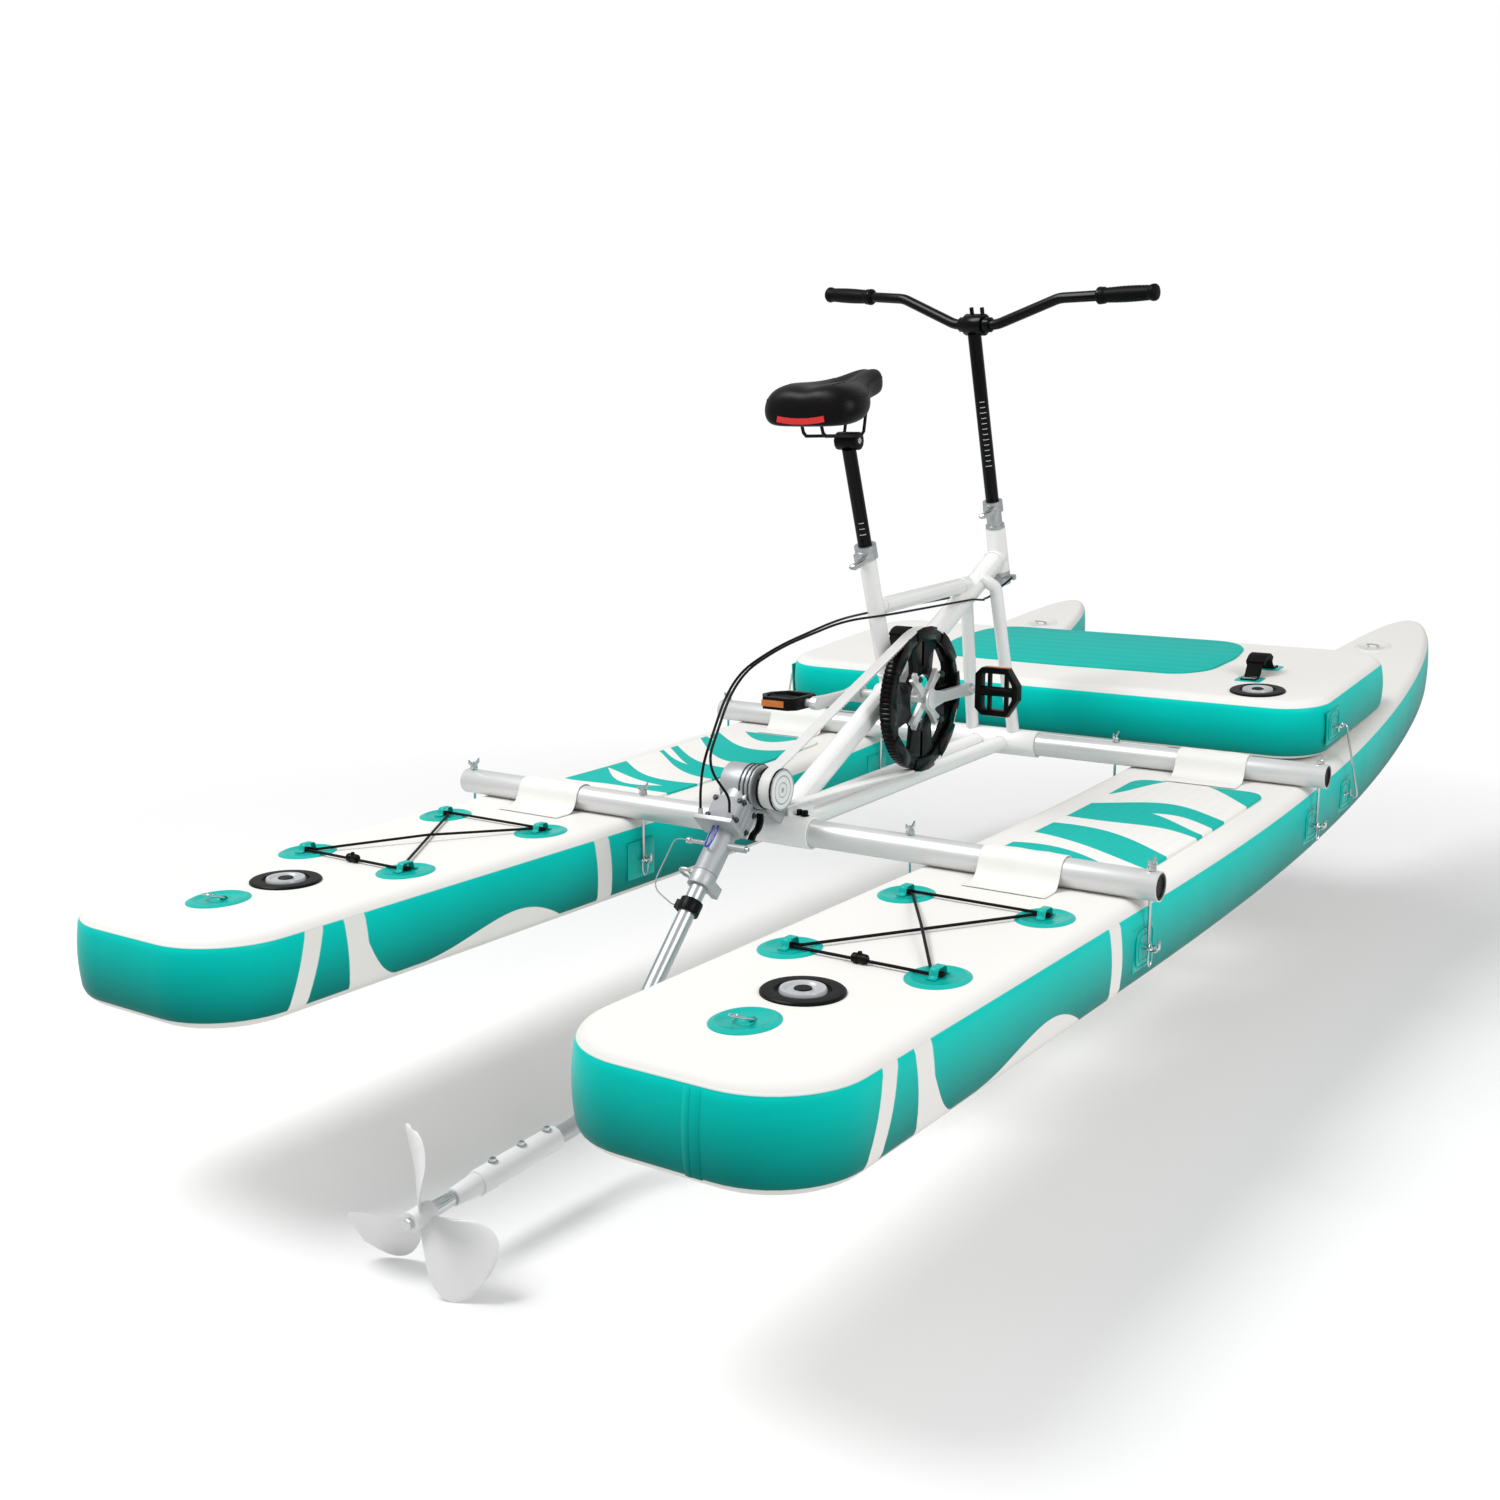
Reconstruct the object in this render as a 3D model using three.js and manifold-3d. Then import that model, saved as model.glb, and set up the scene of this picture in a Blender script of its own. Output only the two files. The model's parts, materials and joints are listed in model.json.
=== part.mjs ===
// A pontoon water bike: two inflatable floats under a pair of cross beams, an inflatable
// bow platform, and a bicycle frame whose cranks turn a propeller on a steered leg.
// Millimetres. +X is starboard, +Y is forward, +Z is up. The rear beam's axis is the datum
// of the modelling group, and the finished group is set with its box's bottom centre at zero.

import * as THREE from 'three';
import { mergeVertices } from 'three/addons/utils/BufferGeometryUtils.js';
import Module from 'manifold-3d';

const wasm = await Module();
wasm.setup();

// Gaps and cutting allowances
const clearance = 0.3;
const running = 0.5;
const overrun = 4;
const sink = 1.5;
const weldTolerance = 1e-4;

// Driving dimensions of the floats and the beams
const beam = { end: 17, diameter: 50, wall: 2.5, spacing: 922, sides: 16 };
const pontoon = {
  length: 3580,
  aft: 1020,
  spacing: 1026,
  width: 424,
  thickness: 150,
  edge: 32,
  bulge: 3,
  corner: 140,
  taperStart: 350,
  rise: 205,
};
const taperPower = 2.4;
const rockerPower = 2.2;
const deckSag = 0.4;
const platform = {
  inset: 42,
  depth: 610,
  thickness: 130,
  edge: 30,
  bulge: 3,
  corner: 110,
  gapToBeam: 133,
};
const wrap = { width: 150, reach: 90, cloth: 2.5, toe: 7, lift: 0.5 };

// Fittings of the floats
const patch = { radius: 46, length: 56, height: 3 };
const loop = { halfSpan: 13, height: 13, cloth: 2.5, width: 14 };
const keeper = { width: 22, length: 14, height: 7 };
const hoop = { radius: 12, bar: 2 };
const anchor = { across: 122, front: -188, rear: -539 };
const sternRing = 185;
const valve = { fromStern: 324, radius: 60, height: 5, rimWidth: 22, cap: 28, capHeight: 8, sides: 12 };
const bowRing = { inset: 23, fromTip: 320 };
const railPatch = { width: 60, height: 56, thickness: 3, depth: 75 };
const hook = {
  stand: 8,
  rod: 3,
  bend: 9,
  tip: 10,
  ringDepth: 78,
  nutRadius: 7,
  nutHeight: 9,
  wing: 15,
  wingHeight: 12,
  wingThickness: 3,
  thread: 6,
};
const bungee = { cord: 2.5, strand: 6, lock: 8, lockLength: 26, crossing: 2, lead: 14 };
const strapHandle = { length: 165, width: 38, cloth: 4, height: 42, foot: 34, x: 468, y: 266 };
const platformHook = { along: 110, rod: 2.5, bend: 8, tip: 9, reach: 20 };
const platformValve = { x: 520, y: 95 };

// Sleeves, rails and the welded frame
const sleeve = { diameter: 60, rearHalf: 95, frontHalf: 110 };
const rail = { diameter: 32, offset: 30 };
const downTube = { diameter: 46, footY: 20, footZ: -4, headY: 920, headZ: 437 };
const seatTube = { diameter: 34, footY: 437, footZ: 201, topY: 335, topZ: 492, boreDepth: 190 };
const topTube = { diameter: 34, rearY: 385, rearZ: 371, frontY: 770, frontZ: 386 };
const steering = { footY: 931, footZ: 405, rake: 16.7, headTube: 44, headLength: 100 };
const frontLeg = { diameter: 28, topX: 12, topY: 806, topZ: 400, kneeX: 36, kneeY: 838, kneeZ: 376 };
const legFoot = { x: 52, bend: 40 };
const gusset = { x: 48, thickness: 5, length: 70, height: 46, toe: 12 };

// Crank drive
const bracket = { y: 457.5, z: 183, shell: 46, halfWidth: 38 };
const crank = { length: 170, thickness: 14, boss: 19, eye: 13, waist: 11 };
const spindle = { radius: 8.5, seat: 8 };
const boltCircle = 65;
const armCount = 4;
const axle = { radius: 5, collar: 8, length: 106 };
const pedal = { inner: 14, width: 95, length: 100, thickness: 24, frame: 12, nose: 24 };
const belt = { pitch: 10, width: 25, back: 2, tooth: 2.5, planeX: 60 };
const wheelTeeth = 90;
const pulleyTeeth = 22;
const tipDrop = 1;
const wheel = {
  rim: 20,
  web: 10,
  hubHole: 50,
  windowInner: 66,
  windowOuter: 117,
  flange: 5,
  flangeWidth: 2,
};
const windowCount = 4;
const guardCount = 8;
const pulley = { y: -75, z: 91, flange: 3.5, flangeWidth: 1.5, face: 2, shaft: 6, shaftEnd: 12 };

// Drive head, leg and propeller
const ear = {
  inner: 34,
  thickness: 8,
  radius: 26,
  lean: 40,
  footY: -22,
  footZ: 34,
  footRadius: 18,
  web: 10,
};
const head = { radius: 40, halfWidth: 33, body: 30, length: 98, rightTrunnion: 15, leftTrunnion: 10 };
const legAngle = 46.3;
const tailDroop = 2.8;
const legCorner = 654;
const legBendRadius = 150;
const leg = { diameter: 30, wall: 2.5, start: 114, sides: 12 };
const swivel = { diameter: 46, start: 99, end: 188, plate: 8, armX: 31, armY: 42, lug: 9, lugHeight: 16 };
const pin = { radius: 4, station: 128, reach: 64, head: 6, headLength: 9, guide: 7, guideReach: 58 };
const legClamp = {
  start: 189,
  length: 26,
  radius: 23,
  lugWidth: 12,
  lugReach: 44,
  ring: 16,
  ringBar: 3,
  ringArc: [50, 310],
};
const clip = { start: 244, length: 24, radius: 20.5, tab: 8 };
const lanyard = { radius: 1.2, bow: 26, lead: 12 };
const tail = { diameter: 41, start: 93, length: 180, insert: 58 };
const tailCap = { diameter: 36, length: 50, plug: 24 };
const shaft = { radius: 6, sleeve: 11, sleeveLength: 46, inside: 70, nut: 9, nutLength: 9 };
const propeller = { radius: 139, hub: 17, hubLength: 42, root: 5, tip: 2 };
const bladeCount = 3;

// Controls and seat
const column = { steerer: 17, flange: 21, flangeHeight: 8, quill: 50, collar: 22, collarLength: 24 };
const lowerClamp = { length: 30, radius: 22, armX: 36, armHeight: 10, anchorX: 30 };
const stem = { radius: 14.3, foot: 60, travelDown: 70 };
const bar = { y: 9, s: 547, half: 410, forward: 30, rise: 58, radius: 11.1, centre: 15.9, centreHalf: 38 };
const barKnee = { x: 52, shoulder: 196, bend: 70 };
const barTurn = 8;
const barClamp = { width: 44, wall: 7, lug: 9, lugHeight: 11 };
const grip = { length: 128, radius: 16.5 };
const seatPost = { radius: 13.6, top: 201, insert: 140 };
const seatClamp = { radius: 22, length: 24, lug: 10, lugReach: 32 };
const lever = { length: 52, width: 12, thickness: 5, pivot: 5, stand: 4 };
const saddle = { length: 268, rearY: 96, topZ: 792, noseRise: 20, depth: 62, halfWidth: 104, groove: 7 };
const cradle = { rod: 3.5, rodX: 21, rearY: 130, frontY: 300, z: 705, head: 17, headWidth: 46, gap: 0.8 };
const cableRadius = 2.4;

const degrees = Math.PI / 180;
const xAxis = new THREE.Vector3(1, 0, 0);
const point = (x, y, z) => new THREE.Vector3(x, y, z);
const sides = [
  { name: 'port', sign: -1 },
  { name: 'starboard', sign: 1 },
];

// Finishes

const finish = (color, roughness, metalness = 0) =>
  new THREE.MeshStandardMaterial({ color, roughness, metalness });
const teal = () => finish('#16b8a8', 0.5);
const canvas = () => finish('#e8e6e1', 0.7);
const whitePaint = () => finish('#f4f4f2', 0.25);
const aluminium = () => finish('#b9bcbf', 0.35, 0.9);
const castAlloy = () => finish('#9ea1a4', 0.45, 0.8);
const steel = () => finish('#c6c8ca', 0.22, 1);
const blackPlastic = () => finish('#161618', 0.5);
const blackPaint = () => finish('#0f0f11', 0.25, 0.3);
const rubber = () => finish('#1b1b1d', 0.85);
const webbing = () => finish('#17181a', 0.9);

// Solids from geometry, and back

function solidOf(geometry) {
  const plain = geometry.clone();
  plain.deleteAttribute('normal');
  plain.deleteAttribute('uv');
  const merged = mergeVertices(plain, weldTolerance);
  const vertProperties = new Float32Array(merged.attributes.position.array);
  const triVerts = new Uint32Array(merged.index.array);
  return new wasm.Manifold(new wasm.Mesh({ numProp: 3, vertProperties, triVerts }));
}

function geometryOf(solid) {
  const mesh = solid.getMesh();
  const geometry = new THREE.BufferGeometry();
  geometry.setAttribute('position', new THREE.BufferAttribute(new Float32Array(mesh.vertProperties), 3));
  geometry.setIndex(new THREE.BufferAttribute(new Uint32Array(mesh.triVerts), 1));
  return geometry;
}

// The corner radius of a bore whose flats clear a round bar
const around = (radius, count) => (radius + clearance) / Math.cos(Math.PI / count);

const fuse = (parts) => geometryOf(parts.map(solidOf).reduce((whole, piece) => whole.add(piece)));

const carve = (base, cutters) =>
  geometryOf(cutters.map(solidOf).reduce((whole, cutter) => whole.subtract(cutter), solidOf(base)));

function mirrored(geometry) {
  const copy = geometry.clone();
  const positions = copy.attributes.position;
  for (let i = 0; i < positions.count; i += 1) positions.setX(i, -positions.getX(i));
  const index = copy.index ? Array.from(copy.index.array) : [...Array(positions.count).keys()];
  for (let i = 0; i < index.length; i += 3) [index[i], index[i + 1]] = [index[i + 1], index[i]];
  copy.setIndex(index);
  return copy;
}

// A route through listed points, with a section at each of them
class Route extends THREE.Curve {
  constructor(points) {
    super();
    this.points = points;
  }

  getPoint(t) {
    const place = t * (this.points.length - 1);
    const first = Math.min(Math.floor(place + weldTolerance), this.points.length - 2);
    return this.points[first].clone().lerp(this.points[first + 1], place - first);
  }

  getPointAt(t) {
    return this.getPoint(t);
  }

  getTangentAt(t) {
    const here = Math.round(t * (this.points.length - 1));
    const before = this.points[Math.max(here - 1, 0)];
    const after = this.points[Math.min(here + 1, this.points.length - 1)];
    return after.clone().sub(before).normalize();
  }
}

// Corner points with each inner corner rounded, in a few pieces, within its two runs' halves
function rounded(corners, radius, pieces) {
  const points = [corners[0]];
  for (let i = 1; i < corners.length - 1; i += 1) {
    const back = corners[i - 1].clone().sub(corners[i]);
    const ahead = corners[i + 1].clone().sub(corners[i]);
    const most = Math.min(back.length(), ahead.length()) / 2;
    const half = back.angleTo(ahead) / 2;
    const run = Math.min(radius / Math.tan(half), most * 0.96);
    back.normalize();
    ahead.normalize();
    const middle = back.clone().add(ahead).normalize();
    const centre = corners[i].clone().addScaledVector(middle, run / Math.cos(half));
    const start = corners[i].clone().addScaledVector(back, run).sub(centre);
    const end = corners[i].clone().addScaledVector(ahead, run).sub(centre);
    const turn = start.angleTo(end);
    for (let k = 0; k <= pieces; k += 1) {
      const share = k / pieces;
      const arm = start.clone().multiplyScalar(Math.sin((1 - share) * turn) / Math.sin(turn));
      arm.addScaledVector(end, Math.sin(share * turn) / Math.sin(turn));
      points.push(arm.add(centre));
    }
  }
  points.push(corners[corners.length - 1]);
  return points;
}

function polygon(radius, count) {
  const points = [];
  for (let i = 0; i < count; i += 1) {
    const angle = (i / count) * 2 * Math.PI;
    points.push(new THREE.Vector2(radius * Math.cos(angle), radius * Math.sin(angle)));
  }
  return points;
}

function tube(points, radius, count, bore = 0) {
  const section = new THREE.Shape(polygon(radius, count));
  if (bore > 0) section.holes.push(new THREE.Path(polygon(bore, count)));
  return new THREE.ExtrudeGeometry(section, {
    steps: points.length - 1,
    extrudePath: new Route(points),
    bevelEnabled: false,
  });
}

// A straight round bar between two points
function rod(from, to, radius, count, endRadius = radius) {
  const span = to.clone().sub(from);
  const geometry = new THREE.CylinderGeometry(endRadius, radius, span.length(), count);
  const turn = new THREE.Quaternion().setFromUnitVectors(point(0, 1, 0), span.clone().normalize());
  geometry.applyQuaternion(turn);
  return geometry.translate(...from.clone().add(to).multiplyScalar(0.5).toArray());
}

// A flat outline in the Y and Z plane, drawn out along X between two places
function plate(outline, fromX, toX, holes = []) {
  const shape = new THREE.Shape(outline.map(([y, z]) => new THREE.Vector2(y, z)));
  for (const hole of holes) shape.holes.push(new THREE.Path(hole.map(([y, z]) => new THREE.Vector2(y, z))));
  const geometry = new THREE.ExtrudeGeometry(shape, { depth: toX - fromX, bevelEnabled: false });
  geometry.applyMatrix4(new THREE.Matrix4().makeBasis(point(0, 1, 0), point(0, 0, 1), xAxis));
  return geometry.translate(fromX, 0, 0);
}

const block = (width, depth, height, centre) =>
  new THREE.BoxGeometry(width, depth, height).translate(centre.x, centre.y, centre.z);

const circle = (y, z, radius, count, turn = 0) =>
  [...Array(count).keys()].map((i) => {
    const angle = ((i + turn) / count) * 2 * Math.PI;
    return [y + radius * Math.cos(angle), z + radius * Math.sin(angle)];
  });

const lathe = (profile, count) =>
  new THREE.LatheGeometry(profile.map(([r, z]) => new THREE.Vector2(r, z)), count).rotateX(Math.PI / 2);

// Part of a circle in the plane of two directions
const arc = (centre, across, along, radius, from, to, pieces) =>
  [...Array(pieces + 1).keys()].map((i) => {
    const angle = (from + ((to - from) * i) / pieces) * degrees;
    return centre
      .clone()
      .addScaledVector(across, radius * Math.cos(angle))
      .addScaledVector(along, radius * Math.sin(angle));
  });

// Rings of points joined into a closed body. Each ring runs from the back's starboard corner
// round by the front to the back's port corner, so its flat ends close across the beam.
function stack(rings) {
  const count = rings[0].length;
  const positions = rings.flat().flatMap((p) => p.toArray());
  const index = [];
  for (let ring = 0; ring < rings.length - 1; ring += 1) {
    for (let i = 0; i < count; i += 1) {
      const next = (i + 1) % count;
      const [a, b] = [ring * count + i, ring * count + next];
      const [c, d] = [a + count, b + count];
      index.push(a, c, b, b, c, d);
    }
  }
  const close = (first, flip) => {
    const face = (a, b, c) => index.push(first + a, first + (flip ? c : b), first + (flip ? b : c));
    const pairs = (count - 1) / 2;
    for (let i = 0; i < pairs - 1; i += 1) {
      face(i, i + 1, count - 1 - i);
      face(i + 1, count - 2 - i, count - 1 - i);
    }
    face(pairs - 1, pairs, pairs + 1);
  };
  close(0, false);
  close((rings.length - 1) * count, true);
  const geometry = new THREE.BufferGeometry();
  geometry.setAttribute('position', new THREE.Float32BufferAttribute(positions, 3));
  geometry.setIndex(index);
  return geometry;
}

// Inflated bodies: the outline is drawn in along rounded edges above and below a full middle
const edgeShares = [0, 40, 90].map((a) => [1 - Math.sin(a * degrees), 1 - Math.cos(a * degrees)]);

function inflated(outlineAt, thickness, edge, bulge, heightAt) {
  const levels = edgeShares.map(([insetShare, dropShare]) => [bulge + edge * insetShare, edge * dropShare]);
  const under = levels.map(([inset, drop]) => [inset, thickness - drop]).reverse();
  return stack(
    [...levels, [0, thickness / 2], ...under].map(([inset, drop]) => {
      const half = outlineAt(inset);
      const round = [...half, ...half.slice(0, -1).reverse().map(([x, y]) => [-x, y])];
      return round.map(([x, y]) => point(x, y, heightAt(y) - drop));
    }),
  );
}

const cornerPieces = 3;

function cornerArc(x, y, radius, from, to) {
  return arc(point(x, y, 0), xAxis, point(0, 1, 0), radius, from, to, cornerPieces).map((p) => [p.x, p.y]);
}

// Floats

const platformWidth = pontoon.spacing + pontoon.width - 2 * platform.inset;
const hookOffset = pontoon.width / 2 + hook.stand;
const beamHalf = pontoon.spacing / 2 + hookOffset + beam.end;
const pontoonTip = pontoon.length - pontoon.aft;
const deckLevel = -(beam.diameter / 2 + clearance);
const frontBeamY = beam.spacing;
const deckAt = (y) => deckLevel + pontoon.rise * Math.max(y / pontoonTip, 0) ** rockerPower;
const taperSteps = 12;
const straightShares = [0.4, 0.8, 1];

function pontoonOutline(inset) {
  const half = pontoon.width / 2;
  const sternY = -pontoon.aft;
  const points = cornerArc(half - pontoon.corner, sternY + pontoon.corner, pontoon.corner - inset, -90, 0);
  for (const share of straightShares) {
    points.push([half - inset, THREE.MathUtils.lerp(sternY + pontoon.corner, pontoon.taperStart, share)]);
  }
  for (let i = 1; i <= taperSteps; i += 1) {
    const along = 1 - (1 - i / taperSteps) ** 1.5;
    const y = pontoon.taperStart + along * (pontoonTip - inset - pontoon.taperStart);
    points.push([(half - inset) * Math.sqrt(1 - along ** taperPower), y]);
  }
  return points;
}

function halfWidthAt(y) {
  const along = Math.max((y - pontoon.taperStart) / (pontoonTip - pontoon.taperStart), 0);
  return (pontoon.width / 2) * Math.sqrt(1 - along ** taperPower);
}

// A band bent up into an arch that stands on its two feet
const archShares = [
  [1, 0],
  [0.7, 1],
  [-0.7, 1],
  [-1, 0],
];

function arch(halfSpan, height, cloth, width) {
  const outer = archShares.map(([y, z]) => [y * (halfSpan + cloth), z * (height + cloth)]);
  const inner = archShares.map(([y, z]) => [y * halfSpan, z * height]).reverse();
  return plate([...outer, ...inner], -width / 2, width / 2);
}

// An oval welded patch on the deck, at a place measured from the float's centre line
function deckPatch(x, y, base) {
  const oval = new THREE.CylinderGeometry(patch.radius, patch.radius, patch.height + sink, 8);
  oval.rotateX(Math.PI / 2).scale(1, patch.length / patch.radius, 1);
  return oval.translate(x, y, base + (patch.height - sink) / 2);
}

// A patch with the keeper that holds a lifting ring flat on the deck
function ringPatch(x, y, base) {
  const height = keeper.height + sink;
  const centre = point(x, y, base + patch.height + keeper.height - height / 2);
  return [deckPatch(x, y, base), block(keeper.width, keeper.length, height, centre)];
}

// A patch with a standing loop for the lashing cord
function deckLoop(x, y, base) {
  const oval = deckPatch(x, y, base);
  const band = arch(loop.halfSpan, loop.height + sink, loop.cloth, loop.width);
  return [oval, band.translate(x, y, base + patch.height - sink)];
}

function valveBody(x, y, base) {
  const rim = valve.radius - valve.rimWidth;
  const profile = [
    [0, -sink],
    [valve.radius, -sink],
    [valve.radius - valve.height / 2, valve.height],
    [rim, valve.height],
    [valve.cap + valve.height, valve.height / 2],
    [valve.cap, valve.capHeight],
    [0, valve.capHeight],
  ];
  return lathe(profile, valve.sides).translate(x, y, base);
}

// A patch on the side of a float, with a loop that lies level for a hook to catch
function railLoop(wallX, sign, y, ringZ, ringX) {
  const inner = wallX - sign * (pontoon.bulge + sink);
  const pad = block(
    railPatch.thickness + sink + pontoon.bulge,
    railPatch.width,
    railPatch.height,
    point((inner + wallX + sign * railPatch.thickness) / 2, y, ringZ),
  );
  const reach = Math.abs(ringX - wallX);
  const corners = [-1, 1].map((end) => point(wallX, y + end * hoop.radius, ringZ));
  const out = [-1, 1].map((end) => point(wallX + sign * reach, y + end * hoop.radius, ringZ));
  const bail = tube(rounded([corners[0], out[0], out[1], corners[1]], hoop.radius / 2, 1), hoop.bar, 4);
  return [pad, bail];
}

// Where each hook hangs: its ring's height and distance from the hook's rod
const hookSeat = hook.bend;
const ringZAt = (y) => deckAt(y) - hook.ringDepth;

const bowRingY = pontoonTip - bowRing.fromTip;

function pontoonBody(sign) {
  const half = pontoon.width / 2;
  const hull = inflated(pontoonOutline, pontoon.thickness, pontoon.edge, pontoon.bulge, deckAt);
  const loops = [-1, 1].flatMap((side) => [
    ...deckLoop(side * anchor.across, anchor.front, deckLevel),
    ...deckLoop(side * anchor.across, anchor.rear, deckLevel),
  ]);
  const ends = [
    ...ringPatch(0, sternRing - pontoon.aft, deckLevel),
    ...ringPatch(-sign * bowRing.inset, bowRingY, deckAt(bowRingY)),
    valveBody(0, valve.fromStern - pontoon.aft, deckLevel),
  ];
  const rails = [0, frontBeamY].flatMap((y) =>
    [-1, 1].flatMap((side) => {
      const wall = side * Math.min(halfWidthAt(y), half);
      return railLoop(wall, side, y, ringZAt(y), side * (hookOffset + hookSeat));
    }),
  );
  const lashingWall = sign * halfWidthAt(lashingY);
  const lashing = railLoop(lashingWall, sign, lashingY, lashingZ, lashingWall + sign * platformHook.reach);
  return fuse([hull, ...loops, ...ends, ...rails, ...lashing]);
}

// The platform lies on both bows, so its pitch follows the decks under its two ends
const platformY = frontBeamY + platform.gapToBeam + beam.diameter / 2;
const platformBase = deckAt(platformY + platform.edge) + clearance;
const platformFront = platformY + platform.depth;
const platformPitch = Math.atan2(
  deckAt(platformFront - platform.edge) - deckAt(platformY + platform.edge),
  platform.depth - 2 * platform.edge,
);
const platformRest = 2;
const lashingY = platformY + platformHook.along;
const lashingZ = deckAt(lashingY) - hook.ringDepth;

function platformOutline(inset) {
  const half = platformWidth / 2;
  const radius = platform.corner - inset;
  const back = cornerArc(half - platform.corner, platform.corner, radius, -90, 0);
  const front = cornerArc(half - platform.corner, platform.depth - platform.corner, radius, 0, 90);
  return [...back, ...front, [0, platform.depth - inset]];
}

function platformBody() {
  const top = () => platform.thickness;
  const hull = inflated(platformOutline, platform.thickness, platform.edge, platform.bulge, top);
  const half = platformWidth / 2;
  const ringX = half + platformHook.reach;
  const rings = [-1, 1].flatMap((side) =>
    railLoop(side * half, side, platformHook.along, platform.thickness / 2, side * ringX),
  );
  return fuse([hull, valveBody(platformValve.x, platformValve.y, platform.thickness), ...rings]);
}

// A webbing handle arched over its two sewn feet
function strapHandleBody() {
  const half = strapHandle.length / 2;
  const inner = half - strapHandle.foot;
  const rise = strapHandle.height;
  const outer = [
    [-half, 0],
    [-half, strapHandle.cloth],
    [-inner, strapHandle.cloth],
    [-inner * 0.72, rise * 0.72],
    [-inner * 0.32, rise],
    [inner * 0.32, rise],
    [inner * 0.72, rise * 0.72],
    [inner, strapHandle.cloth],
    [half, strapHandle.cloth],
    [half, 0],
    [inner - strapHandle.cloth, 0],
    [inner * 0.62, rise * 0.62],
    [inner * 0.26, rise - strapHandle.cloth],
    [-inner * 0.26, rise - strapHandle.cloth],
    [-inner * 0.62, rise * 0.62],
    [-inner + strapHandle.cloth, 0],
  ];
  return plate(outer, -strapHandle.width / 2, strapHandle.width / 2);
}

// Cloth loops that hold each beam down on a float, cut to the deck's own curve
function wrapBody(beamY, beamZ) {
  const inner = around(beam.diameter / 2, 12);
  const outer = inner + wrap.cloth;
  const deck = (y) => deckAt(beamY + y) - beamZ + wrap.lift;
  const over = [0, 30, 60, 90, 120, 150, 180].map((a) => [Math.cos(a * degrees), Math.sin(a * degrees)]);
  const flap = (y, lift) => [y, deck(y) + lift];
  const outline = [
    flap(wrap.reach, 0),
    flap(wrap.reach, wrap.cloth),
    flap(outer + wrap.toe, wrap.cloth),
    ...over.map(([y, z]) => [y * outer, z * outer]),
    flap(-outer - wrap.toe, wrap.cloth),
    flap(-wrap.reach, wrap.cloth),
    flap(-wrap.reach, 0),
    flap(-inner - wrap.toe, 0),
    ...over.reverse().map(([y, z]) => [y * inner, z * inner]),
    flap(inner + wrap.toe, 0),
  ];
  return plate(outline, -wrap.width / 2, wrap.width / 2);
}

// Beams and their hook bolts

const hookPlaces = [-1, 1].flatMap((side) =>
  [-1, 1].map((edge) => ({ side, edge, x: (side * pontoon.spacing) / 2 + edge * hookOffset })),
);

function beamBody() {
  const radius = beam.diameter / 2;
  const through = beamHalf + overrun;
  const outer = rod(point(-beamHalf, 0, 0), point(beamHalf, 0, 0), radius, beam.sides);
  const bore = rod(point(-through, 0, 0), point(through, 0, 0), radius - beam.wall, beam.sides);
  const holes = hookPlaces.map(({ x }) =>
    rod(point(x, 0, -radius - overrun), point(x, 0, radius + overrun), around(hook.rod, 6), 6),
  );
  return carve(outer, [bore, ...holes]);
}

// A bolt hung through the beam: wing nut on top, and a hook that curls out under the float's ring
function hookBolt(edge, dropToRing) {
  const top = beam.diameter / 2 + clearance;
  const nutTop = top + hook.nutHeight;
  const bottom = -dropToRing - hoop.bar - clearance - hook.rod;
  const across = edge * 2 * hook.bend;
  const corners = [
    point(0, 0, nutTop + hook.thread),
    point(0, 0, bottom),
    point(across, 0, bottom),
    point(across, 0, bottom + hook.bend + hook.tip),
  ];
  const shank = tube(rounded(corners, 2 * hook.rod, 1), hook.rod, 5);
  const nut = rod(point(0, 0, top), point(0, 0, nutTop), hook.nutRadius + hook.rod / 2, 6, hook.nutRadius);
  const wingTop = nutTop + hook.wingHeight;
  const wings = plate(
    [
      [-hook.wing, wingTop - hook.nutHeight],
      [-hook.wing, wingTop],
      [0, nutTop],
      [hook.wing, wingTop],
      [hook.wing, wingTop - hook.nutHeight],
      [hook.nutRadius / 2, nutTop - hook.nutHeight / 2],
      [-hook.nutRadius / 2, nutTop - hook.nutHeight / 2],
    ].reverse(),
    -hook.wingThickness / 2,
    hook.wingThickness / 2,
  );
  return fuse([shank, nut, wings]);
}

// The hook that ties the platform's end ring to a rail ring of the float
function platformHookBody(top, bottom, sign) {
  const reach = platformHook.bend;
  const crest = top.clone().add(point(0, 0, hoop.bar + running + platformHook.rod));
  const foot = bottom.clone().add(point(0, 0, -hoop.bar - running - platformHook.rod));
  const corners = [
    crest.clone().add(point(-sign * reach, 0, -reach - platformHook.tip)),
    crest.clone().add(point(-sign * reach, 0, 0)),
    crest.clone().add(point(sign * reach, 0, 0)),
    foot.clone().add(point(sign * reach, 0, 0)),
    foot.clone().add(point(-sign * reach, 0, 0)),
    foot.clone().add(point(-sign * reach, 0, reach + platformHook.tip)),
  ];
  return tube(rounded(corners, reach - clearance, 2), platformHook.rod, 6);
}

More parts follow.
